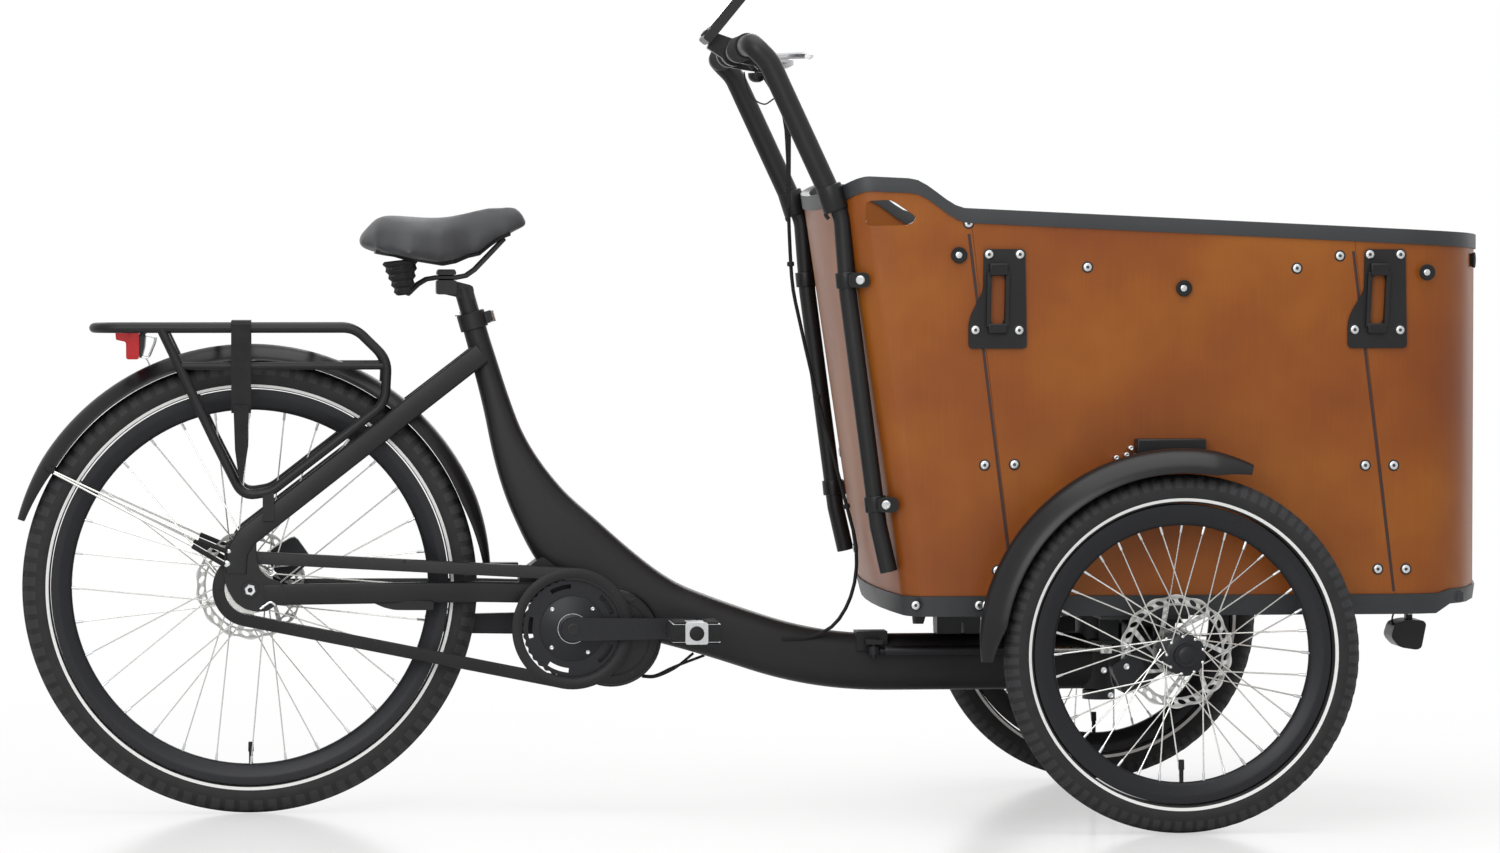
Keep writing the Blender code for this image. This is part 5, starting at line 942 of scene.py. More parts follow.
# %% [markdown]
# ## Slotted brackets
# Each bracket holds a pole of the rain cover. A folded channel stands on the flat plate, open at the front
# through a long slot, with a small latch at each end.

# %% Bracket channels
SLOT_LOW_Z, SLOT_TOP_Z = 0.707, 0.776
CHANNEL_HEIGHT = 0.0072
channels, latches = [], []
for word, side in SIDES:
    plane = side * PLATE_FACE
    for low_x, top_x in ((1.0309, 1.0324), (1.5683, 1.5721)):
        for near, far in ((-0.0060, 0.0), (0.0200, 0.0260)):
            channels.append(slat((low_x, SLOT_LOW_Z - 0.004), (top_x, SLOT_TOP_Z + 0.004), near, far,
                                 plane, plane + side * CHANNEL_HEIGHT))
        for x, low_z, high_z, reach in ((top_x, SLOT_TOP_Z - 0.001, SLOT_TOP_Z + 0.016, 0.0105),
                                        (low_x, SLOT_LOW_Z - 0.013, SLOT_LOW_Z + 0.001, 0.0085)):
            latches.append(block(spot(x - 0.003, plane, low_z), spot(x + 0.023, plane + side * reach, high_z)))
piece("bracket_channels", channels, powder, "steered_front", bevel=0.0008)
piece("bracket_latches", latches, gloss_plastic, "steered_front", bevel=0.0016)
print("bracket slots:", len(channels) // 2)

# %% [markdown]
# ## Mudguards
# A mudguard is a thin arched strip, moulded in plastic, whose skirts reach down beside the tyre. Its section
# is drawn once and carried round the wheel, narrowing towards both ends as the real one does.

# %% Mudguards
REAR_GUARD = (0.345, 163.4, 5.5, 0.0270, 0.021, 0.0022)
FRONT_GUARD = (0.278, 182.0, 69.0, 0.0325, 0.031, 0.0025)


def guard(centre, radius, start, end, half, skirt, thickness, steps=72, across=12):
    """A mudguard between two angles, from its radius, half width, skirt and thickness."""
    rings = []
    for i in range(steps + 1):
        t = i / steps
        turn = math.radians(start + (end - start) * t)
        outward = Vector((math.cos(turn), 0.0, math.sin(turn)))
        share = min(1.0, 0.40 + 6.0 * min(t, 1.0 - t))
        ring = []
        for depth, order in ((0.0, range(across + 1)), (thickness, range(across, -1, -1))):
            for u in [2.0 * j / across - 1.0 for j in order]:
                fall = skirt * share * (u * u - 0.25) + depth
                ring.append(centre + outward * (radius - fall) + AXIS_Y * (half * share * u))
        rings.append(ring)
    return skin(rings)


piece("rear_guard_strip", guard(REAR_CENTRE, *REAR_GUARD), gloss_plastic, "frame", ("rear_mudguard",))
for word, side in SIDES:
    centre = spot(FRONT_WHEEL_X, side * FRONT_WHEEL_Y, FRONT_WHEEL_Z)
    crown = FRONT_WHEEL_Z + FRONT_GUARD[0]
    piece(word + "_front_guard_strip", guard(centre, *FRONT_GUARD), gloss_plastic, "steered_front",
          (word + "_front_mudguard",))
    inner, outer, ledge = side * 0.3103, side * 0.395, side * 0.340
    mount = [block(spot(1.2274, inner, crown - 0.008), spot(1.3410, outer, crown - 0.0005)),
             block(spot(1.2350, inner, crown - 0.004), spot(1.3330, ledge, crown + 0.019))]
    piece(word + "_front_guard_mount", mount, gloss_plastic, "steered_front", bevel=0.0022)
print("mudguards of", [round(2000.0 * g[0]) for g in (REAR_GUARD, FRONT_GUARD)], "mm across the curve")

# %% [markdown]
# Two bright wires a side hold the tail of the rear mudguard. They are stainless rod, bent to run from the
# dropouts to the sides of the strip, where small clips hold them.

# %% Mudguard wires
wires, clips = [], []
for word, side in SIDES:
    for begin, joint in (((-0.0369, 0.0775, 0.3630), (-0.0767, 0.0750, 0.3870)),
                         ((-0.0335, 0.0775, 0.3816), (-0.0680, 0.0750, 0.3960))):
        start, middle, end = spots(begin, joint, (-0.2866, 0.0272, 0.4960 + 0.25 * (joint[2] - 0.3870)), side=side)
        wires.append(rod([middle, middle.lerp(end, 0.5), end], 0.0017, 10))
        clips.append(rod([start, middle + (end - middle).normalized() * 0.006], 0.0036, 12))
    clips.append(rod([end + Vector((0.008, 0.0, -0.004)), end + Vector((-0.006, 0.0, 0.003))], 0.0045, 12))
piece("rear_guard_wires", wires, stainless, "frame")
piece("rear_guard_clips", clips, rubber, "frame", bevel=0.0008)
tab = block(spot(0.334, -0.010, 0.3560), spot(0.3856, 0.010, 0.3600))
piece("rear_guard_tab", tab, gloss_plastic, "frame", bevel=0.0010)
print("mudguard wires:", len(wires))

# %% [markdown]
# ## Stays and dropouts
# Seat stays and chain stays are flat bars that meet in a plate, the dropout, which holds the axle. The plate
# is cut from sheet and leaves the lower rear of the chain case in view.

# %% Stays
DROPOUT_OUTLINE = [
    (-0.0360, 0.3930), (-0.0372, 0.3480), (-0.0330, 0.3280), (-0.0220, 0.3090), (-0.0070, 0.2985), (0.0100, 0.2945),
    (0.0250, 0.2960), (0.0350, 0.3030), (0.0480, 0.3080), (0.0480, 0.3350), (0.0240, 0.3440), (0.0130, 0.3560),
    (0.0080, 0.3760), (0.0100, 0.4060), (-0.0120, 0.4060),
]
for word, side in SIDES:
    seat_line = fillet(spots((0.3330, 0.0246, 0.6635), (0.3130, 0.0246, 0.6480), (-0.0060, 0.0685, 0.4010),
                             (-0.0185, 0.0685, 0.3800), (-0.0200, 0.0685, 0.3500), side=side), 0.030)
    chain_line = fillet(spots((0.4080, 0.0336, 0.3180), (0.3300, 0.0380, 0.3200), (0.0200, 0.0685, 0.3190),
                              side=side), 0.060)
    dropout = stamped(placed(rounded(DROPOUT_OUTLINE)), side * 0.0640, side * 0.0720,
                      [circle(REAR_CENTRE, 0.0064, 20)])
    piece(word + "_stay_bars", [flat_bar(seat_line, 0.0155, 0.006), flat_bar(chain_line, 0.0150, 0.006)], powder,
          "frame", (word + "_stay",))
    piece(word + "_dropout", dropout, powder, "frame", bevel=0.0010)
lug = [(0.170, 0.3080), (0.190, 0.2990), (0.206, 0.2950), (0.262, 0.2945), (0.262, 0.3080)]
piece("stay_lug", plate(lug, 0.2, -0.0545, -0.0430), powder, "frame", bevel=0.0010)
print("dropout corners:", len(DROPOUT_OUTLINE))

# %% [markdown]
# ## Frame tube
# One tube carries the whole machine. It leaves the saddle round, grows deep and square over the motor, and
# runs level under the box. Its section is a rounded square whose power, depth and width ease from one
# station to the next, and the line it follows is a smooth curve through bends of different size.

# %% Frame tube
SEAT_TOP = spot(0.3169, 0.0, 0.7215)
SEAT_LEAN = math.radians(16.0)
SEAT_TUBE = 0.169
WAIST, BEND, LEVEL = spots((0.618, 0.0, 0.280), (0.7287, 0.0, 0.243), (0.9247, 0.0, 0.2122))
DEPTHS = [(0.0, 0.0170), (0.05, 0.0172), (0.169, 0.0225), (0.29, 0.040), (0.37, 0.053), (0.45, 0.054),
          (0.57, 0.0435), (0.68, 0.041)]
WIDTHS = [(0.0, 0.0170), (0.05, 0.0172), (0.17, 0.021), (0.37, 0.029), (0.60, 0.031)]
POWERS = [(0.0, 2.0), (0.08, 2.0), (0.32, 3.4)]
SECTION_POINTS = 40


def eased(table, distance):
    """A value on a smooth curve through the listed pairs of distance and value."""
    slopes = [(v2 - v0) / (d2 - d0) for (d0, v0), (d2, v2) in zip(table, table[2:])]
    slopes = [0.0] + slopes + [0.0]
    for k, ((d0, v0), (d1, v1)) in enumerate(zip(table, table[1:])):
        if distance <= d1:
            span = d1 - d0
            t = (distance - d0) / span
            return (v0 * (1 + 2 * t) * (1 - t) ** 2 + slopes[k] * span * t * (1 - t) ** 2
                    + v1 * t * t * (3 - 2 * t) - slopes[k + 1] * span * t * t * (1 - t))
    return table[-1][1]


def bend(a, b, c, d, steps):
    """Points on a smooth curve from a to d that leaves towards b and arrives from c."""
    shares = [i / steps for i in range(steps + 1)]
    return [a * (1 - t) ** 3 + b * 3 * t * (1 - t) ** 2 + c * 3 * t * t * (1 - t) + d * t ** 3 for t in shares]


down = Vector((math.sin(SEAT_LEAN), 0.0, -math.cos(SEAT_LEAN)))
foot = SEAT_TOP + down * SEAT_TUBE
slope = (BEND - WAIST).normalized()
line = [SEAT_TOP + down * SEAT_TUBE * i / 12 for i in range(12)]
line += bend(foot, foot + down * 0.130, WAIST - slope * 0.130, WAIST, 48)
line += [WAIST.lerp(BEND, i / 6) for i in range(1, 6)]
line += bend(BEND, BEND + slope * 0.070, LEVEL - Vector((0.070, 0.0, 0.0)), LEVEL, 20)
line += [LEVEL.lerp(spot(PIVOT_X - 0.010, 0.0, 0.2122), i / 4) for i in range(1, 5)]
rings, run = [], 0.0
for i, point in enumerate(line):
    way = (line[min(i + 1, len(line) - 1)] - line[max(i - 1, 0)]).normalized()
    run += (point - line[i - 1]).length if i else 0.0
    across = Vector((-way.z, 0.0, way.x))
    power = 2.0 / eased(POWERS, run)
    ring = []
    for j in range(SECTION_POINTS):
        turn = 2.0 * math.pi * (j + 0.5) / SECTION_POINTS
        high, wide = [math.copysign(abs(part) ** power, part) for part in (math.cos(turn), math.sin(turn))]
        ring.append(point + across * eased(DEPTHS, run) * high + AXIS_Y * eased(WIDTHS, run) * wide)
    rings.append(ring)
heel = plate([(0.386, 0.304), (0.386, 0.345), (0.420, 0.370), (0.470, 0.330), (0.445, 0.304)], 0.12, -0.027, 0.027)
head = lathe([(14.0, 0.0), (33.0, 0.0), (34.0, 1.0), (34.0, 117.5), (33.0, 118.5), (14.0, 118.5)],
             spot(PIVOT_X, 0.0, 0.172), AXIS_Z, 48)
shelf = block(spot(0.8745, -0.0385, 0.2312), spot(0.9195, 0.004, 0.2590))
arm = block(spot(0.885, -0.0720, 0.2425), spot(0.909, -0.030, 0.2490))
pin = lathe([(4.0, 0.0), (4.0, 24.0), (3.0, 25.0)], spot(0.897, -0.062, 0.2222), AXIS_Z, 20)
piece("frame_tube", [skin(rings), heel, head, shelf, arm, pin], powder, "frame", ("frame_spine",), sharp=36.0)
print("frame tube", round(run * 1000.0), "mm long")

# %% [markdown]
# The axle ends in a bright nut over a dark washer on each side. Around it sit the small bright parts that the
# eye picks out first: the chain tensioner, the bolts of the wires and the cable of the gear hub.

# %% Axle nuts and small parts of the rear end
nuts, washers, bright = [], [], []
for word, side in SIDES:
    out = AXIS_Y * side
    washers.append(lathe([(6.2, 72.2), (11.8, 72.2), (12.2, 72.8), (11.8, 73.7), (6.2, 73.7)],
                          REAR_CENTRE, out, 32, True))
    nuts.append(lathe([(3.8, 73.7), (8.4, 73.7), (8.4, 79.2), (7.4, 80.2), (4.0, 80.2)], REAR_CENTRE, out, 6, True))
    for x, z, radius in ((-0.0300, 0.3816, 3.4), (-0.0325, 0.3640, 5.0), (0.0180, 0.3020, 2.6)):
        bright.append(lathe([(radius, 0.0), (radius, 1.6), (radius * 0.72, 2.6), (radius * 0.3, 2.8)],
                            spot(x, side * 0.0722, z), out, 20))
    tensioner = spots((0.0140, 0.0734, 0.2990), (0.0290, 0.0734, 0.3100), (0.0360, 0.0734, 0.3040), side=side)
    cable = spots((0.0200, 0.0700, 0.3530), (0.0290, 0.0690, 0.3450), (0.0370, 0.0690, 0.3510), side=side)
    bright += [rod(fillet(tensioner, 0.006), 0.0019, 8), rod(fillet(cable, 0.005), 0.0013, 8)]
spindle = rod([REAR_CENTRE - AXIS_Y * 0.0790, REAR_CENTRE + AXIS_Y * 0.0790], 0.0056, 20)
piece("rear_axle_bar", spindle, blackened_steel_and_socket_shade, "frame", ("rear_axle",))
piece("rear_axle_nuts", nuts, zinc, "frame")
piece("rear_axle_washers", washers, blackened_steel_and_socket_shade, "frame")
piece("rear_end_bolts", bright, zinc, "frame")
print("bright parts at the rear axle:", len(bright))

# %% [markdown]
# ## Chain case
# The case is a channel of black plastic that runs round the chain and is open inward. A U-shaped section with
# rounded outer corners follows the belt line round chainring and sprocket.

# %% Chain case
CASE_Y = -0.052
CASE_BAND = 0.0175
CASE_HALF = 0.009
WALL = 0.0018
CORNER = 0.0032
HALF_SECTION = [
    (0.0, CASE_HALF - CORNER), (0.3 * CORNER, CASE_HALF - 0.3 * CORNER), (CORNER, CASE_HALF), (CASE_BAND, CASE_HALF),
    (CASE_BAND, CASE_HALF - WALL), (CORNER, CASE_HALF - WALL), (WALL, CASE_HALF - CORNER),
]
CASE_SECTION = HALF_SECTION + [(depth, -across) for depth, across in reversed(HALF_SECTION)]
belts = [belt(REAR_CENTRE, 0.054 - depth, CRANK_CENTRE, 0.0875 - depth, 36) for depth, across in CASE_SECTION]
rings = [[Vector((line[i][0], CASE_Y + across, line[i][1])) for line, (depth, across) in zip(belts, CASE_SECTION)]
         for i in range(len(belts[0]))]
piece("chain_case_channel", skin(rings, closed=True), grained, "frame", ("chain_case",))
case_face = [(72.8, -8.5), (72.8, -9.2), (73.4, -9.6), (86.8, -9.6), (87.4, -9.2), (87.4, -8.5)]
piece("chain_case_ring", lathe(case_face, CRANK_CENTRE + AXIS_Y * CASE_Y, AXIS_Y, 72, True), grained, "frame")
case_bolts = [
    lathe([(2.2, 0.0), (2.2, 1.0), (1.2, 1.4), (0.4, 1.0)], spot(x, CASE_Y - CASE_HALF, z), -AXIS_Y, 12)
    for x, z in ((-0.0430, 0.3265), (0.2200, 0.3660), (0.2200, 0.2290), (0.4615, 0.1880), (0.5200, 0.3190))]
piece("chain_case_bolts", case_bolts, blackened_steel_and_socket_shade, "frame")
print("case section points:", len(CASE_SECTION))

# %% [markdown]
# ## Motor
# The motor's two covers are moulded and screwed to a cast body. Each cover has a step and a groove near its
# rim, and those two lines make it read as a lid and not as a plain drum.

# %% Motor
MOTOR_CENTRE = spot(0.5188, 0.0, 0.2536)
RIGHT_COVER = [(70.5, 0.0), (70.2, 6.0), (68.5, 8.5), (65.0, 9.9), (56.0, 10.0), (55.6, 9.2), (54.2, 9.2),
               (53.8, 10.0), (30.0, 10.0), (1.0, 9.8)]
LEFT_COVER = [(68.5, 0.0), (68.0, 6.0), (66.0, 8.5), (62.0, 9.8), (50.0, 10.0), (49.6, 9.2), (48.2, 9.2),
              (47.8, 10.0), (30.0, 10.0), (1.0, 9.8)]
drum = stamped(belt(CRANK_CENTRE, 0.046, MOTOR_CENTRE, 0.0725, 36), -0.0367, 0.0440,
               [circle(CRANK_CENTRE, 0.0110, 24)])
piece("motor_body", drum, grained, "frame", ("motor_housing",), bevel=0.0020)
covers, screws = [], []
for side, profile, face, lid, reach, first, spacing in (
        (-1.0, RIGHT_COVER, 0.0327, 0.0427, 0.0610, -60.0, 40.0),
        (1.0, LEFT_COVER, 0.0420, 0.0520, 0.0560, 20.0, 72.0)):
    covers.append(lathe(profile, MOTOR_CENTRE + AXIS_Y * side * face, AXIS_Y * side, 56))
    for k in range(5):
        x, z = at_turn(MOTOR_CENTRE, reach, math.radians(first + spacing * k))
        screws.append(lathe([(3.0, -0.4), (3.0, 0.6), (1.4, 0.9), (1.3, 0.2)], Vector((x, side * lid, z)),
                            AXIS_Y * side, 16))
piece("motor_covers", covers, gloss_plastic, "frame")
piece("motor_screws", screws, blackened_steel_and_socket_shade, "frame")
leads = []
for y, x, z in ((-0.010, 0.6395, 0.2270), (0.008, 0.6570, 0.2225)):
    line = spots((0.5650, y, 0.1935), (0.5850, y, 0.1935), (0.6130, y, 0.2060), (x, y, z))
    leads.append(rod(curve_through(line), 0.0020, 8))
piece("motor_leads", leads, rubber, "frame")
print("motor screws:", len(screws))

# %% [markdown]
# ## Chainring and cranks
# The ring is stamped with teeth and narrow slots and carries a stepped boss, whose step has a painted highlight
# ring. The cranks are forged, with rounded edges, and a dark cap closes the spindle.

# %% Chainring
RING_TEETH = 38
turns = [2.0 * math.pi * i / (RING_TEETH * 6) for i in range(RING_TEETH * 6)]
outline = [at_turn(CRANK_CENTRE, 0.0707 + 0.0012 * math.cos(RING_TEETH * turn), turn) for turn in turns]
slots = []
for start in [2.0 * math.pi * k / 5.0 + 0.35 for k in range(5)]:
    slots.append([at_turn(CRANK_CENTRE, 0.0640, start + 0.1 * i) for i in range(6)]
                 + [at_turn(CRANK_CENTRE, 0.0575, start + 0.5 - 0.1 * i) for i in range(6)])
boss = lathe([(47.0, -0.6), (46.8, 3.4), (46.0, 4.0), (21.8, 4.0), (20.6, 4.4), (20.5, 9.0), (19.6, 9.7), (9.8, 9.7)],
             CRANK_CENTRE - AXIS_Y * 0.0525, -AXIS_Y, 56)
spindle = rod([CRANK_CENTRE - AXIS_Y * 0.0750, CRANK_CENTRE + AXIS_Y * 0.0750], 0.0095, 24)
piece("chainring_plate", [stamped(outline, -0.0535, -0.0505, slots), boss, spindle], anodised, "crankset",
      ("chainring",))
# The bright zinc ring on the boss is a painted highlight: it stands where the black boss catches a glint of light.
bolts_and_glint_ring = [lathe([(21.2, 0.0), (21.9, 0.4), (21.6, 1.2), (20.9, 1.2)], CRANK_CENTRE - AXIS_Y * 0.0566, -AXIS_Y, 48,
                True)]
for degrees in (44.0, 136.0, 222.0, 303.0):
    x, z = at_turn(CRANK_CENTRE, 0.0405, math.radians(degrees))
    bolts_and_glint_ring.append(lathe([(3.0, 0.0), (3.0, 1.2), (1.8, 1.8), (0.6, 1.4)], Vector((x, -0.0565, z)), -AXIS_Y, 16))
piece("chainring_bolts_and_glint_ring", bolts_and_glint_ring, zinc, "crankset")
print("chainring teeth:", RING_TEETH)

# %% [markdown]
# The right crank points forward and the left one back. Each is a belt outline with a wide eye and a narrower
# end, given thickness and softened edges, and ends in the pin on which its pedal turns.

# %% Cranks
CRANK_LENGTH = 0.170
CRANK_FACE = 0.0765
CAP = [(8.8, 0.0), (8.8, 0.6), (7.2, 1.2), (4.6, 0.8), (4.4, 0.2), (0.6, 0.2)]
for word, side in SIDES:
    out = AXIS_Y * side
    end = CRANK_CENTRE - Vector((side * CRANK_LENGTH, 0.0, 0.0))
    arm = stamped(belt(CRANK_CENTRE, 0.0168, end, 0.0138, 24), side * 0.0635, side * CRANK_FACE)
    piece(word + "_crank_arm", arm, anodised, "crankset", (word + "_crank",), bevel=0.0024)
    piece(word + "_pedal_pin", rod([end + out * 0.0675, end + out * 0.1610], 0.0058, 20), stainless, "crankset")
    piece(word + "_crank_cap", lathe(CAP, CRANK_CENTRE + out * CRANK_FACE, out, 32), blackened_steel_and_socket_shade, "crankset")
print("crank length", CRANK_LENGTH, "m")

# %% [markdown]
# City pedals have rubber blocks between two plates. The outer plate is a bright square around a black dust
# cap, and thin bright edges run along the top and bottom. The blocks carry cross ribs for grip.

# %% Pedals
PLATE_Y = 0.1726


def slab(centre, low, high):
    """A box between two corners measured from a centre."""
    return block(centre + Vector(low), centre + Vector(high))


for word, side in SIDES:
    body = word + "_pedal_body"
    centre = CRANK_CENTRE - Vector((side * CRANK_LENGTH, 0.0, 0.0))
    face = side * PLATE_Y
    square = [(centre.x + dx, centre.z + dz) for dx, dz in ((-0.0163, -0.0157), (0.0163, -0.0157), (0.0163, 0.0157),
                                                            (-0.0163, 0.0157))]
    edges = [slab(centre, (-0.0340, side * 0.0840, level - 0.0004), (0.0340, side * 0.1700, level + 0.0004))
             for level in (-0.0127, 0.0127)]
    cap = lathe([(10.4, 0.0), (10.4, 2.2), (9.0, 3.4), (3.0, 3.8)], centre + AXIS_Y * (face + side * 0.0012),
                AXIS_Y * side, 32)
    ribs = [slab(centre, (row - 0.0088, side * y, level - 0.0007),
                 (row + 0.0088, side * (y + 0.0040), level + 0.0007))
            for row in (-0.0230, 0.0230) for y in [0.0915 + 0.0082 * k for k in range(10)]
            for level in (-0.0150, 0.0150)]
    piece(word + "_pedal_plate", stamped(rounded(square, 0.12), face, face + side * 0.0014), alloy, body,
          bevel=0.0004)
    piece(word + "_pedal_edges", edges, alloy, body)
    piece(word + "_pedal_cap", cap, rubber, body)
    piece(word + "_pedal_ribs", ribs, rubber, body)
print("pedal ribs:", len(ribs))

# %% [markdown]
# ## Rear rack
# The rack is one long tube of 14 mm, bent round the load deck and down to the dropouts, with cross bars
# welded between its sides. Tubes are drawn as rods along lines whose corners are rounded.

# %% Rack
RACK_TOP_Z = 0.700
RACK_HALF = 0.070
CROSS_BARS = (-0.169, -0.050, 0.100)
RACK_LINE = [(-0.2213, RACK_TOP_Z), (0.150, RACK_TOP_Z), (0.196, 0.655), (0.1926, 0.592), (0.030, 0.4665),
             (-0.010, 0.4600), (-0.050, 0.5400), (-0.1250, RACK_TOP_Z - 0.001)]
round_trip = [spot(x, RACK_HALF, z) for x, z in reversed(RACK_LINE)] + [spot(x, -RACK_HALF, z) for x, z in RACK_LINE]
tubes, welds = [rod(fillet(round_trip, 0.042, 8), 0.0070, 20)], []
for word, side in SIDES:
    tubes.append(rod(spots((-0.105, RACK_HALF, 0.646), (0.195, RACK_HALF, 0.646), side=side), 0.0056, 16))
    tubes.append(block(spot(0.018, side * 0.0709, 0.425), spot(0.034, side * 0.0760, 0.468)))
    for x in CROSS_BARS:
        welds.append(lathe([(5.3, 0.0), (6.6, 0.8), (7.2, 3.0), (6.0, 5.2)],
                           spot(x, side * (RACK_HALF - 0.0040), RACK_TOP_Z), AXIS_Y * side, 16))
for x in CROSS_BARS:
    tubes.append(rod(spots((x, -RACK_HALF, RACK_TOP_Z), (x, RACK_HALF, RACK_TOP_Z)), 0.0053, 16))
piece("rack_tubes", tubes, powder, "frame", ("rear_rack",))
piece("rack_welds", welds, powder, "frame")
print("rack tubes:", len(tubes))

# %% [markdown]
# The rear lamp is a red lens shaped like a seven: its head reaches back under the rack, and its body hangs
# down before a black holder. A thin bent wire carries it and leads its cable to the mudguard.

# %% Rear lamp
LENS_OUTLINE = [(-0.1909, 0.6950), (-0.1900, 0.6830), (-0.1757, 0.6800), (-0.1757, 0.6550), (-0.1571, 0.6550),
                (-0.1571, 0.6950)]
HOLDER_OUTLINE = [(-0.1568, 0.6940), (-0.1568, 0.6570), (-0.1540, 0.6570), (-0.1500, 0.6720), (-0.1480, 0.6940)]
piece("rear_lamp_lens", plate(LENS_OUTLINE, 0.18, -0.042, 0.042), red_lens, "frame", ("rear_lamp",), bevel=0.0020)
piece("rear_lamp_holder", plate(HOLDER_OUTLINE, 0.20, -0.038, 0.038), gloss_plastic, "frame", bevel=0.0015)
lamp_wires = []
for y in (-0.030, 0.030):
    hook = spots((-0.1500, y, 0.6900), (-0.1340, y, 0.6860), (-0.1360, y, 0.6780), (-0.1450, y, 0.6560),
                 (-0.1560, y, 0.6590))
    lamp_wires.append(rod(fillet(hook, 0.006), 0.0014, 8))
cable = spots((-0.1500, 0.0, 0.6580), (-0.1450, 0.0, 0.6500), (-0.1430, 0.0, 0.6430), (-0.1440, 0.0, 0.6370))
lamp_wires.append(rod(curve_through(cable, 5), 0.0012, 8))
piece("rear_lamp_wires", lamp_wires, zinc, "frame")
print("lamp wires:", len(lamp_wires))

# %% [markdown]
# ## Headlamp and reflector
# The headlamp hangs under the front of the box. Its lens bows out before a bright bowl, and the white
# reflector above it is a thin plate of moulded prisms.

# %% Headlamp
LENS_HALF = 0.0215
LENS_ROWS = 12
lens_low, lens_high = spots((1.7100, 0.0, 0.2330), (1.7150, 0.0, 0.2610))
rings = []
for t in [i / LENS_ROWS for i in range(LENS_ROWS + 1)]:
    middle = lens_low.lerp(lens_high, t) + Vector((0.0030 * math.sin(math.pi * t), 0.0, 0.0))
    width = LENS_HALF * (1.0 - 0.12 * abs(2.0 * t - 1.0) ** 3)
    across = (-1.0, -0.6, -0.2, 0.2, 0.6, 1.0)
    rings.append([middle + Vector((0.0022 * (1.0 - u * u) - 0.0016, width * u, 0.0)) for u in across]
                 + [middle + Vector((-0.0034, -width * u, 0.0)) for u in across])
piece("headlamp_lens", skin(rings), clear_lens, "steered_front")
bowl = plate([(1.7060, 0.2345), (1.7085, 0.2345), (1.7125, 0.2595), (1.7100, 0.2595)], 0.2, -0.0195, 0.0195)
piece("headlamp_bowl", bowl, alloy, "steered_front")
lamp_bolt = lathe([(4.2, 0.0), (4.2, 2.2), (3.0, 3.0), (1.0, 2.6)], spot(1.695, -0.006, 0.279), -AXIS_Y, 16)
piece("headlamp_bolt", lamp_bolt, zinc, "steered_front")
lead = spots((1.6700, -0.010, 0.2620), (1.6690, -0.010, 0.2720), (1.6735, -0.010, 0.2850), (1.6800, -0.010, 0.3030))
piece("headlamp_lead", rod(curve_through(lead), 0.0014, 8), rubber, "steered_front")
place, facing = on_surface("front_panel", spot(2.2, 0.0, 0.393), (-1.0, 0.0, 0.0))
up = Vector((-facing.z, 0.0, facing.x))
for name, half, back, front, narrow, reach, finish in (
        ("front_reflector", 0.0200, 0.0002, 0.0028, 0.0010, 0.0290, clear_lens),
        ("reflector_frame", 0.0225, 0.0, 0.0021, 0.0, 0.0320, gloss_plastic)):
    corners = [place + up * rise + facing * out for rise, out in (
        (-half, back), (half, back), (half - narrow, front), (narrow - half, front))]
    piece(name, stamped([(c.x, c.z) for c in corners], -reach, reach), finish, "steered_front", bevel=0.0006)
print("reflector at", tuple(round(v, 3) for v in place))

# %% [markdown]
# ## Handlebar
# The bar is one tube of 31 mm, bent into a gate. Sleeves join it to two thinner legs that run down the corners
# of the box, where clamps hold them. The clamps have an ear on one side and a bolt through it.

# %% Handlebar
BAR_X, BAR_Z = 0.700, 1.098
BAR_HALF = 0.280
SLEEVE = [(15.7, -12.0), (17.6, -11.0), (18.2, -9.0), (18.6, 22.0), (17.2, 25.0), (12.8, 26.2)]
CLAMP = [(13.0, -11.2), (15.0, -11.0), (15.7, -10.0), (15.7, 10.0), (15.0, 11.0), (13.0, 11.2)]
CLAMP_BOLT = [(6.2, 0.0), (6.2, 2.4), (5.0, 3.4), (2.6, 3.4), (2.4, 1.2), (0.4, 1.2)]
gate = spots((0.8155, -BAR_HALF, 0.8770), (0.7240, -BAR_HALF, 1.0740), (BAR_X, -BAR_HALF, BAR_Z))
gate += [Vector((point.x, -point.y, point.z)) for point in reversed(gate)]
bar_tubes = [rod(fillet(gate, 0.058, 10), 0.0155, 28)]
clamps, clamp_bolts = [], []
for word, side in SIDES:
    y = side * BAR_HALF
    lug_y = y + side * 0.0318
    leg = spots((0.8100, y, 0.8880), (0.8265, y, 0.8600), (0.8350, y, 0.7500),
                (0.8780, y, 0.4250), (0.8930, y, 0.3600))
    hook = spots((0.8080, y, 0.8720), (0.8030, y, 0.8600), (0.8080, y, 0.8540))
    bar_tubes += [rod(fillet(leg, 0.060, 8), 0.0125, 24), rod(fillet(hook, 0.005), 0.0028, 10),
                  lathe(SLEEVE, spot(0.8110, y, 0.8900), (0.32, 0.0, -0.95), 32)]
    for z, x, reach in ((0.7688, 0.8330, 0.0158), (0.4550, 0.8740, 0.0113)):
        ear = [(x, z - 0.0105), (x + 0.0290, z - 0.0105), (x + 0.0290, z + 0.0105), (x, z + 0.0105)]
        clamps += [lathe(CLAMP, spot(x, y, z), (-0.10, 0.0, 1.0), 28), plate(ear, 0.34, y - side * 0.006, lug_y, 6)]
        clamp_bolts.append(lathe(CLAMP_BOLT, spot(x + reach, lug_y, z), AXIS_Y * side, 20))
piece("handlebar_tubes", bar_tubes, powder, "steered_front", ("handlebar",))
piece("leg_clamps", clamps, gloss_plastic, "steered_front", bevel=0.0014)
piece("leg_clamp_bolts", clamp_bolts, zinc, "steered_front")
print("leg clamps:", len(clamp_bolts))

# %% [markdown]
# Grips are moulded with rings that stop a wet hand from slipping. One turned profile whose radius rises and
# falls makes them, closed by a rounded end.

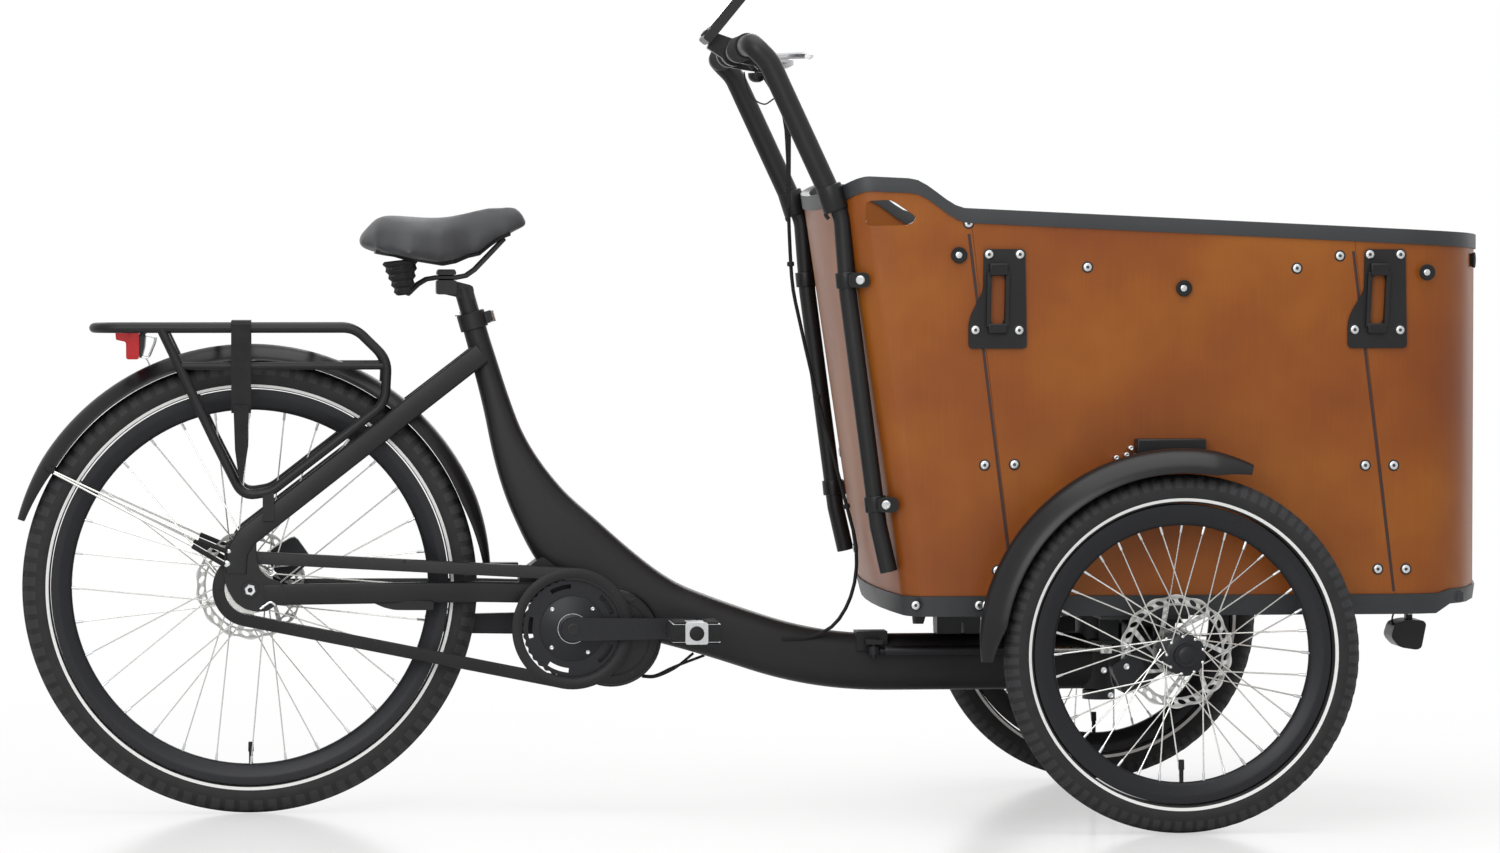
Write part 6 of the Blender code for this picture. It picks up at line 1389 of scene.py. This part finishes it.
# %% Grips
GRIP_RINGS = 22
grip = [(15.7, 100.0), (17.6, 100.4), (18.5, 102.0), (18.5, 106.0)]
grip += [(18.0 + 0.4 * math.cos(math.pi * i / 2.0), 106.5 + 103.0 * i / (GRIP_RINGS * 4))
         for i in range(GRIP_RINGS * 4 + 1)]
grip += [(18.5, 211.0), (18.5, 214.0), (17.6, 215.0), (15.7, 215.0)]
for word, side in SIDES:
    piece(word + "_grip_rings", lathe(grip, spot(BAR_X, 0.0, BAR_Z), AXIS_Y * side, 36, True), rubber,
          "steered_front", (word + "_grip",), sharp=60.0)
print("grip rings:", GRIP_RINGS)

# %% [markdown]
# Each brake lever turns in a small bracket clamped to the bar. A hose leaves the bracket and joins the cable
# harness in a loose curve. A bell hangs under the bar, and a thin lead loops between the sides.

# %% Brake brackets, hoses and bell
LEVER_X, LEVER_Y, LEVER_Z = 0.736, 0.083, 1.088
BAND = [(15.7, 74.0), (18.4, 74.4), (19.0, 75.6), (19.0, 90.4), (18.4, 91.6), (15.7, 92.0)]
BELL = [(0.8, 16.5), (5.0, 16.0), (9.5, 13.5), (12.0, 9.5), (12.7, 5.0), (12.4, 3.0), (10.6, 2.8),
        (3.0, 2.6), (3.0, 0.0)]
brackets, pins, hoses = [], [], []
for word, side in SIDES:
    y = side * LEVER_Y
    cheek = [(LEVER_X + dx, LEVER_Z + dz) for dx, dz in ((-0.038, -0.009), (0.011, -0.016), (0.011, -0.0048),
                                                         (-0.012, -0.0048), (-0.028, 0.014))]
    brackets.append(plate(cheek, 0.22, y - 0.009, y + 0.009))
    brackets.append(lathe(BAND, spot(BAR_X, 0.0, BAR_Z), AXIS_Y * side, 32, True))
    pins.append(lathe([(4.2, -1.0), (4.2, 6.0), (3.0, 7.0), (1.2, 6.2)], spot(LEVER_X, y, LEVER_Z), AXIS_Z, 16))
    hose = spots((0.7440, LEVER_Y - 0.004, 1.0780), (0.7600, LEVER_Y - 0.010, 1.0700), (0.7740, 0.040, 1.0380),
                 (0.7790, 0.014, 0.9900), (0.7800, 0.0050, 0.9400), (0.7795, 0.0045, 0.8730), side=side)
    hoses.append(rod(curve_through(hose, 8), 0.0021, 10))
stem = spots((0.7275, -0.055, 1.0690), (0.7200, -0.055, 1.0760), (0.7080, -0.055, 1.0860))
loop = spots((0.7150, 0.010, 1.0700), (0.7200, 0.010, 1.0450), (0.7275, 0.010, 1.0320), (0.7450, 0.010, 1.0233),
             (0.7625, 0.008, 1.0320), (0.7720, 0.004, 1.0120))
hoses.append(rod(curve_through(loop, 8), 0.0011, 8))
piece("brake_brackets", brackets, gloss_plastic, "steered_front", bevel=0.0008)
piece("brake_pins", pins, zinc, "steered_front")
piece("bell_cup", [lathe(BELL, stem[0], -AXIS_Z, 32), rod(stem, 0.0032, 10)], gloss_plastic, "steered_front")
piece("brake_hoses", hoses, rubber, "steered_front")
print("hoses:", len(hoses))

# %% [markdown]
# The display is a slim case with a sheet of dark glass on its face and three keys below it. Bands hold the
# cable harness where it passes the box.

# %% Display glass and harness bands
DISPLAY_UP = Vector((0.633, 0.0, 0.774))
DISPLAY_FACING = Vector((-0.774, 0.0, 0.633))
DISPLAY_CORNER = spot(0.656, 0.0, 1.113) + DISPLAY_FACING * 0.0070


def display_plate(u_from, u_to, half, rise, middle=0.0):
    """A thin plate on the display's face, from its reach up the face, half width and height above it."""
    return skin([[DISPLAY_CORNER + DISPLAY_UP * u + AXIS_Y * (middle + y) + DISPLAY_FACING * out for y, out in (
        (-half, 0.0001), (half, 0.0001), (half, rise), (-half, rise))] for u in (u_from, u_to)])


keys = [display_plate(0.0060, 0.0150, 0.0070, 0.0022, y) for y in (-0.020, 0.0, 0.020)]
bands = [lathe([(3.0, -3.5), (5.0, -3.0), (5.4, 0.0), (5.0, 3.0), (3.0, 3.5)], spot(x, 0.0, z), (lean, 0.0, 1.0), 16)
         for x, z, lean in ((0.7784, 0.9000, 0.0), (0.7821, 0.7914, -0.06),
                            (0.8210, 0.5980, -0.26), (0.8640, 0.4390, -0.26))]
piece("display_glass", display_plate(0.0200, 0.0770, 0.0370, 0.0012), glass, "steered_front", bevel=0.0006)
piece("display_keys", keys, rubber, "steered_front", bevel=0.0007)
piece("harness_bands", bands, rubber, "steered_front")
print("keys:", len(keys), "bands:", len(bands))

# %% [markdown]
# ## Rim of the box
# The rim is an aluminium channel that sits on the panels all round. Its plan is the box's own outline, two
# bowed ends with rounded corners, and its height falls gently forward with a hump over the hand holes.

# %% Rim
REAR_X, FRONT_X = 0.896, 1.775
REAR_BOW, REAR_CORNER, FRONT_BOW, FRONT_CORNER = 2.600, 0.040, 0.600, 0.120
SEAM_REAR_X, SEAM_FRONT_X = 1.0675, 1.6085
RIM_Z, RIM_SLOPE, RIM_PEAK = 0.8692, 0.0463, 0.038
HUMP_REAR_X, HUMP_FRONT_X = 0.870, 0.925
FLOOR_Z = 0.3265


def bowed_end(tip_x, way, bow, corner, steps):
    """Half of a bowed end, from its middle to where the straight side starts."""
    swing = math.asin((BOX_SIDE - corner) / (bow - corner))
    line = [(tip_x - way * bow * (1.0 - math.cos(swing * i / steps)), bow * math.sin(swing * i / steps))
            for i in range(steps)]
    middle_x = tip_x - way * (bow - (bow - corner) * math.cos(swing))
    for turn in [swing + (math.pi / 2.0 - swing) * i / steps for i in range(steps + 1)]:
        line.append((middle_x + way * corner * math.cos(turn), BOX_SIDE - corner + corner * math.sin(turn)))
    return line


def leant(x, z):
    """Where a point of the floor outline comes at a height, as the wall leans back as it rises."""
    if x >= SEAM_FRONT_X + 0.0006:
        return x
    share = min(1.0, max(0.0, (SEAM_REAR_X - x) / (SEAM_REAR_X - REAR_X)))
    return x - (0.120 + 0.030 * share) * (z - FLOOR_Z)


def rim_height(x):
    """The top of the rim above a point of the floor outline."""
    top_x = leant(x, RIM_Z)
    past = min(1.0, max(0.0, (HUMP_REAR_X - top_x) / 0.090, (top_x - HUMP_FRONT_X) / 0.072))
    level = RIM_Z - RIM_SLOPE * (top_x - leant(SEAM_REAR_X, RIM_Z))
    return level + RIM_PEAK * (1.0 - past * past * (3.0 - 2.0 * past))


RIM_SECTION = [(0.0025, 0.021), (0.0025, 0.0012), (0.0021, 0.0003), (0.0012, 0.0), (-0.0102, 0.0), (-0.0111, 0.0003),
               (-0.0115, 0.0012), (-0.0115, 0.021), (-0.0098, 0.021), (-0.0098, 0.0050), (0.0008, 0.0050),
               (0.0008, 0.021)]
rear_half = bowed_end(REAR_X, -1.0, REAR_BOW, REAR_CORNER, 10)
front_half = bowed_end(FRONT_X, 1.0, FRONT_BOW, FRONT_CORNER, 12)
straight = [(rear_half[-1][0] + (front_half[-1][0] - rear_half[-1][0]) * i / 60, BOX_SIDE) for i in range(1, 60)]
half = rear_half + straight + front_half[::-1]
plan = half + [(x, -y) for x, y in half[-2:0:-1]]
rings = []
for i, (x, y) in enumerate(plan):
    way = (Vector(plan[(i + 1) % len(plan)]) - Vector(plan[i - 1])).normalized()
    outward = Vector((way.y, -way.x, 0.0))
    if outward.dot(Vector((x - PIVOT_X, y, 0.0))) < 0.0:
        outward = -outward
    top = rim_height(x)
    rings.append([spot(leant(x, top - fall), y, top - fall) + outward * off for off, fall in RIM_SECTION])
piece("rim_profile", skin(rings, closed=True), trim, "steered_front", ("top_rim",))
print("rim stations:", len(plan))

# %% [markdown]
# ## Small hardware
# The calipers are bolted together and to their brackets, the mudguards and the seat clamp have bolts too, and
# the saddle springs have ribbed rubber boots. They are small, but a machine without them looks like a toy.

# %% Bolts and boots
CALIPER_BOLT = [(4.2, -1.0), (4.2, 1.8), (3.0, 2.6), (1.4, 2.0)]
GUARD_BOLT = [(2.6, -22.0), (2.6, 0.0), (3.6, 0.0), (3.6, 1.4), (2.4, 2.0), (0.8, 1.6)]
BOOT_RIBS = 5
front_bolts, boots = [], []
for word, side in SIDES:
    low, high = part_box(word + "_front_caliper")
    face = high.y if side > 0.0 else low.y
    for x, z in ((1.1860, 0.2250), (1.1960, 0.1900), (1.2180, 0.2300)):
        front_bolts.append(lathe(CALIPER_BOLT, spot(x, face, z), AXIS_Y * side, 16))
    for x, z in ((1.2070, 0.5205), (1.2215, 0.5245), (1.2275, 0.5340)):
        front_bolts.append(lathe(GUARD_BOLT, spot(x, side * 0.3330, z), AXIS_Y * side, 16))
    low, high = spots((0.2218, 0.050, 0.7470), (0.2157, 0.050, 0.7985), side=side)
    span = (high - low).length * 1000.0
    profile = [(10.0, 0.0)]
    for k in range(BOOT_RIBS):
        widest = 13.1 + 11.5 * k / (BOOT_RIBS - 1)
        at = span * (k + 0.10) / BOOT_RIBS
        profile += [(widest - 3.0, at), (widest, at + span * 0.06), (widest, at + span * 0.10),
                    (widest - 3.0, at + span * 0.15)]
    boots.append(lathe(profile, low, high - low, 36))
low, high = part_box("rear_caliper")
frame_bolts = [lathe(CALIPER_BOLT, Vector((low.x * (1.0 - t) + high.x * t, high.y, 0.382)), AXIS_Y, 16)
               for t in (0.35, 0.65)]
frame_bolts.append(lathe([(4.6, 0.0), (4.6, 3.6), (3.0, 4.4), (1.0, 4.0)], spot(0.3390, 0.0080, 0.7175), AXIS_Y, 20))
frame_bolts.append(lathe([(4.0, 0.0), (4.0, 3.0), (2.8, 3.8), (1.0, 3.4)], spot(0.8934, -0.0180, 0.2312), -AXIS_Z, 6))
piece("front_bolts", front_bolts, zinc, "steered_front")
piece("frame_bolts", frame_bolts, zinc, "frame")
piece("saddle_boots", boots, rubber, "seat")
print("boots:", len(boots))

# %% [markdown]
# ## Finishes for the solids
# Every solid that keeps its own shape gets the finish of its real material. A solid's faces share one slot,
# so a finish is simply put in that slot. The solids come with flat faces: where two of them meet at a small
# angle, they are shaded as one smooth surface.

# %% Dressing the solids
FINISHES = {
    powder: ["seat_collar", "seatpost", "front_axle", "right_rear_bracket", "left_rear_bracket",
             "right_front_bracket", "left_front_bracket"],
    grained: ["saddle_base", "battery"],
    gloss_plastic: ["headlamp", "display"],
    rubber: ["rack_strap", "right_pedal", "left_pedal", "cable_harness"],
    anodised: ["rear_caliper", "right_front_caliper", "left_front_caliper", "damper_body"],
    alloy: ["right_brake_lever", "left_brake_lever"],
    stainless: ["seat_lever", "damper_rod", "sprocket", "chain"],
    plywood: ["rear_panel", "right_side_panel", "left_side_panel", "front_panel", "floor_board", "bench"],
    trim: ["floor_frame"],
}
SMOOTH_BELOW = math.radians(36.0)
WELD_DISTANCE = 0.00001

group = bpy.data.node_groups.new("smooth below an angle", "GeometryNodeTree")
for way in ("INPUT", "OUTPUT"):
    group.interface.new_socket("Geometry", in_out=way, socket_type="NodeSocketGeometry")
entry = put(group, "NodeGroupInput")
bare = put(group, "GeometryNodeRemoveAttribute", None, {"Name": "custom_normal"}, {"Geometry": entry.outputs[0]})
whole = put(group, "GeometryNodeMergeByDistance", None, {"Distance": WELD_DISTANCE}, {"Geometry": bare.outputs[0]})
faces = put(group, "GeometryNodeSetShadeSmooth", {"domain": "FACE"}, None, {"Geometry": whole.outputs[0]})
turn = put(group, "GeometryNodeInputMeshEdgeAngle")
crisp = put(group, "FunctionNodeCompare", {"data_type": "FLOAT", "operation": "GREATER_THAN"},
            {1: SMOOTH_BELOW}, {0: turn.outputs["Unsigned Angle"]})
edges = put(group, "GeometryNodeSetShadeSmooth", {"domain": "EDGE"}, {"Shade Smooth": False},
            {"Geometry": faces.outputs[0], "Selection": crisp.outputs[0]})
put(group, "NodeGroupOutput", links={0: edges.outputs[0]})
for finish, names in FINISHES.items():
    for name in names:
        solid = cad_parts[name]
        solid.data.materials.clear()
        solid.data.materials.append(finish)
        solid.modifiers.new("smooth below an angle", "NODES").node_group = group
print("solids with a finish:", sum(len(names) for names in FINISHES.values()))

# %% [markdown]
# ## Floor, light and camera
# A white sweep under big soft lamps shows a black machine by its edges. The world is white to the camera and
# in reflections, and weaker as a lamp. The floor is partly its own light to the camera, so it stays white
# where no shadow falls, and its gloss mirrors the tyres faintly. That share grows with the distance from the
# tricycle, so that the floor runs into the white world with no horizon.

# %% Floor and world
FLOOR_NEAR = 1.0
FLOOR_FAR = 2.6
FLOOR_DROP = 0.0004
WHITE = (1.0, 1.0, 1.0, 1.0)
bpy.ops.mesh.primitive_plane_add(size=60.0, location=(0.0, 0.0, -FLOOR_DROP))
floor = bpy.context.object
floor.name = "studio_floor"
floor_white, tree, shader = material("Painted studio floor", Base_Color=(0.90, 0.90, 0.90, 1.0), Roughness=0.16)
seen = put(tree, "ShaderNodeLightPath").outputs["Is Camera Ray"]
own_light = put(tree, "ShaderNodeEmission", None, {"Color": WHITE, "Strength": 1.0})
spread = mapped(tree, step(tree, "VectorMath", "LENGTH", coords(tree)), {"interpolation_type": "SMOOTHSTEP"},
                From_Min=FLOOR_NEAR, From_Max=FLOOR_FAR, To_Min=0.50, To_Max=1.0)
blend = put(tree, "ShaderNodeMixShader", None, None, {
    0: step(tree, "Math", "MULTIPLY", seen, spread), 1: shader.outputs["BSDF"], 2: own_light.outputs[0]})
tree.links.new(blend.outputs[0], tree.nodes["Material Output"].inputs["Surface"])
floor.data.materials.append(floor_white)
floor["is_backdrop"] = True

world = bpy.data.worlds.new("White studio")
bpy.context.scene.world = world
world.use_nodes = True
tree = world.node_tree
back = tree.nodes["Background"]
back.inputs["Color"].default_value = WHITE
rays = put(tree, "ShaderNodeLightPath").outputs
seen = step(tree, "Math", "MAXIMUM", rays["Is Camera Ray"], rays["Is Glossy Ray"])
seen = step(tree, "Math", "MAXIMUM", seen, rays["Is Transmission Ray"])
tree.links.new(mapped(tree, seen, To_Min=0.50, To_Max=1.0), back.inputs["Strength"])
print("floor glows fully from", FLOOR_FAR, "m")

# %% [markdown]
# Three large soft lamps model the shape: one above, one behind the camera's shoulder and one on the far side.
# Large lamps close to the object give wide, soft highlights, as a photographer's cloths do.

# %% Lamps
LAMPS = [
    ("top softbox", (0.2, -0.6, 3.2), (0.0, 0.0, 0.3), 3.0, 60.0),
    ("front softbox", (-1.2, -4.2, 2.2), (0.1, 0.0, 0.5), 2.4, 75.0),
    ("rear softbox", (1.0, 3.6, 2.6), (0.1, 0.0, 0.5), 2.4, 50.0),
]
for name, place, target, size, watts in LAMPS:
    lamp = bpy.data.lights.new(name, "AREA")
    lamp.shape = "SQUARE"
    lamp.size = size
    lamp.energy = watts
    holder = bpy.data.objects.new(name, lamp)
    holder.location = place
    holder.rotation_euler = (Vector(target) - Vector(place)).to_track_quat("-Z", "Y").to_euler()
    bpy.context.scene.collection.objects.link(holder)
print("lamps:", len(LAMPS))

# %% [markdown]
# The camera stands about 7.5 m off, nearly square to the side and as high as the box. Such a long lens
# keeps the near and the far wheels almost the same size.

# %% Camera
VIEW_LENGTH_PX = 5179.1
FRAME_WIDTH_PX = 1500.0
SENSOR_MM = 36.0
LOOKING_DOWN = 1.756
TURNED = 5.168
camera = bpy.data.cameras.new("studio camera")
camera.sensor_width = SENSOR_MM
camera.lens = SENSOR_MM * VIEW_LENGTH_PX / FRAME_WIDTH_PX
camera.clip_end = 100.0
eye = bpy.data.objects.new("studio camera", camera)
eye.location = spot(0.0456, -7.4881, 0.7860)
eye.rotation_euler = (math.radians(90.0 - LOOKING_DOWN), 0.0, math.radians(-TURNED))
bpy.context.scene.collection.objects.link(eye)
bpy.context.scene.camera = eye
bpy.context.scene.view_settings.view_transform = "Standard"
print("lens", round(camera.lens, 1), "mm")

# %% [markdown]
# Last, the outer box of the dressed model is printed.

# %% Sizes
low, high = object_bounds()
print("visual box", [round(v, 4) for v in low], [round(v, 4) for v in high])
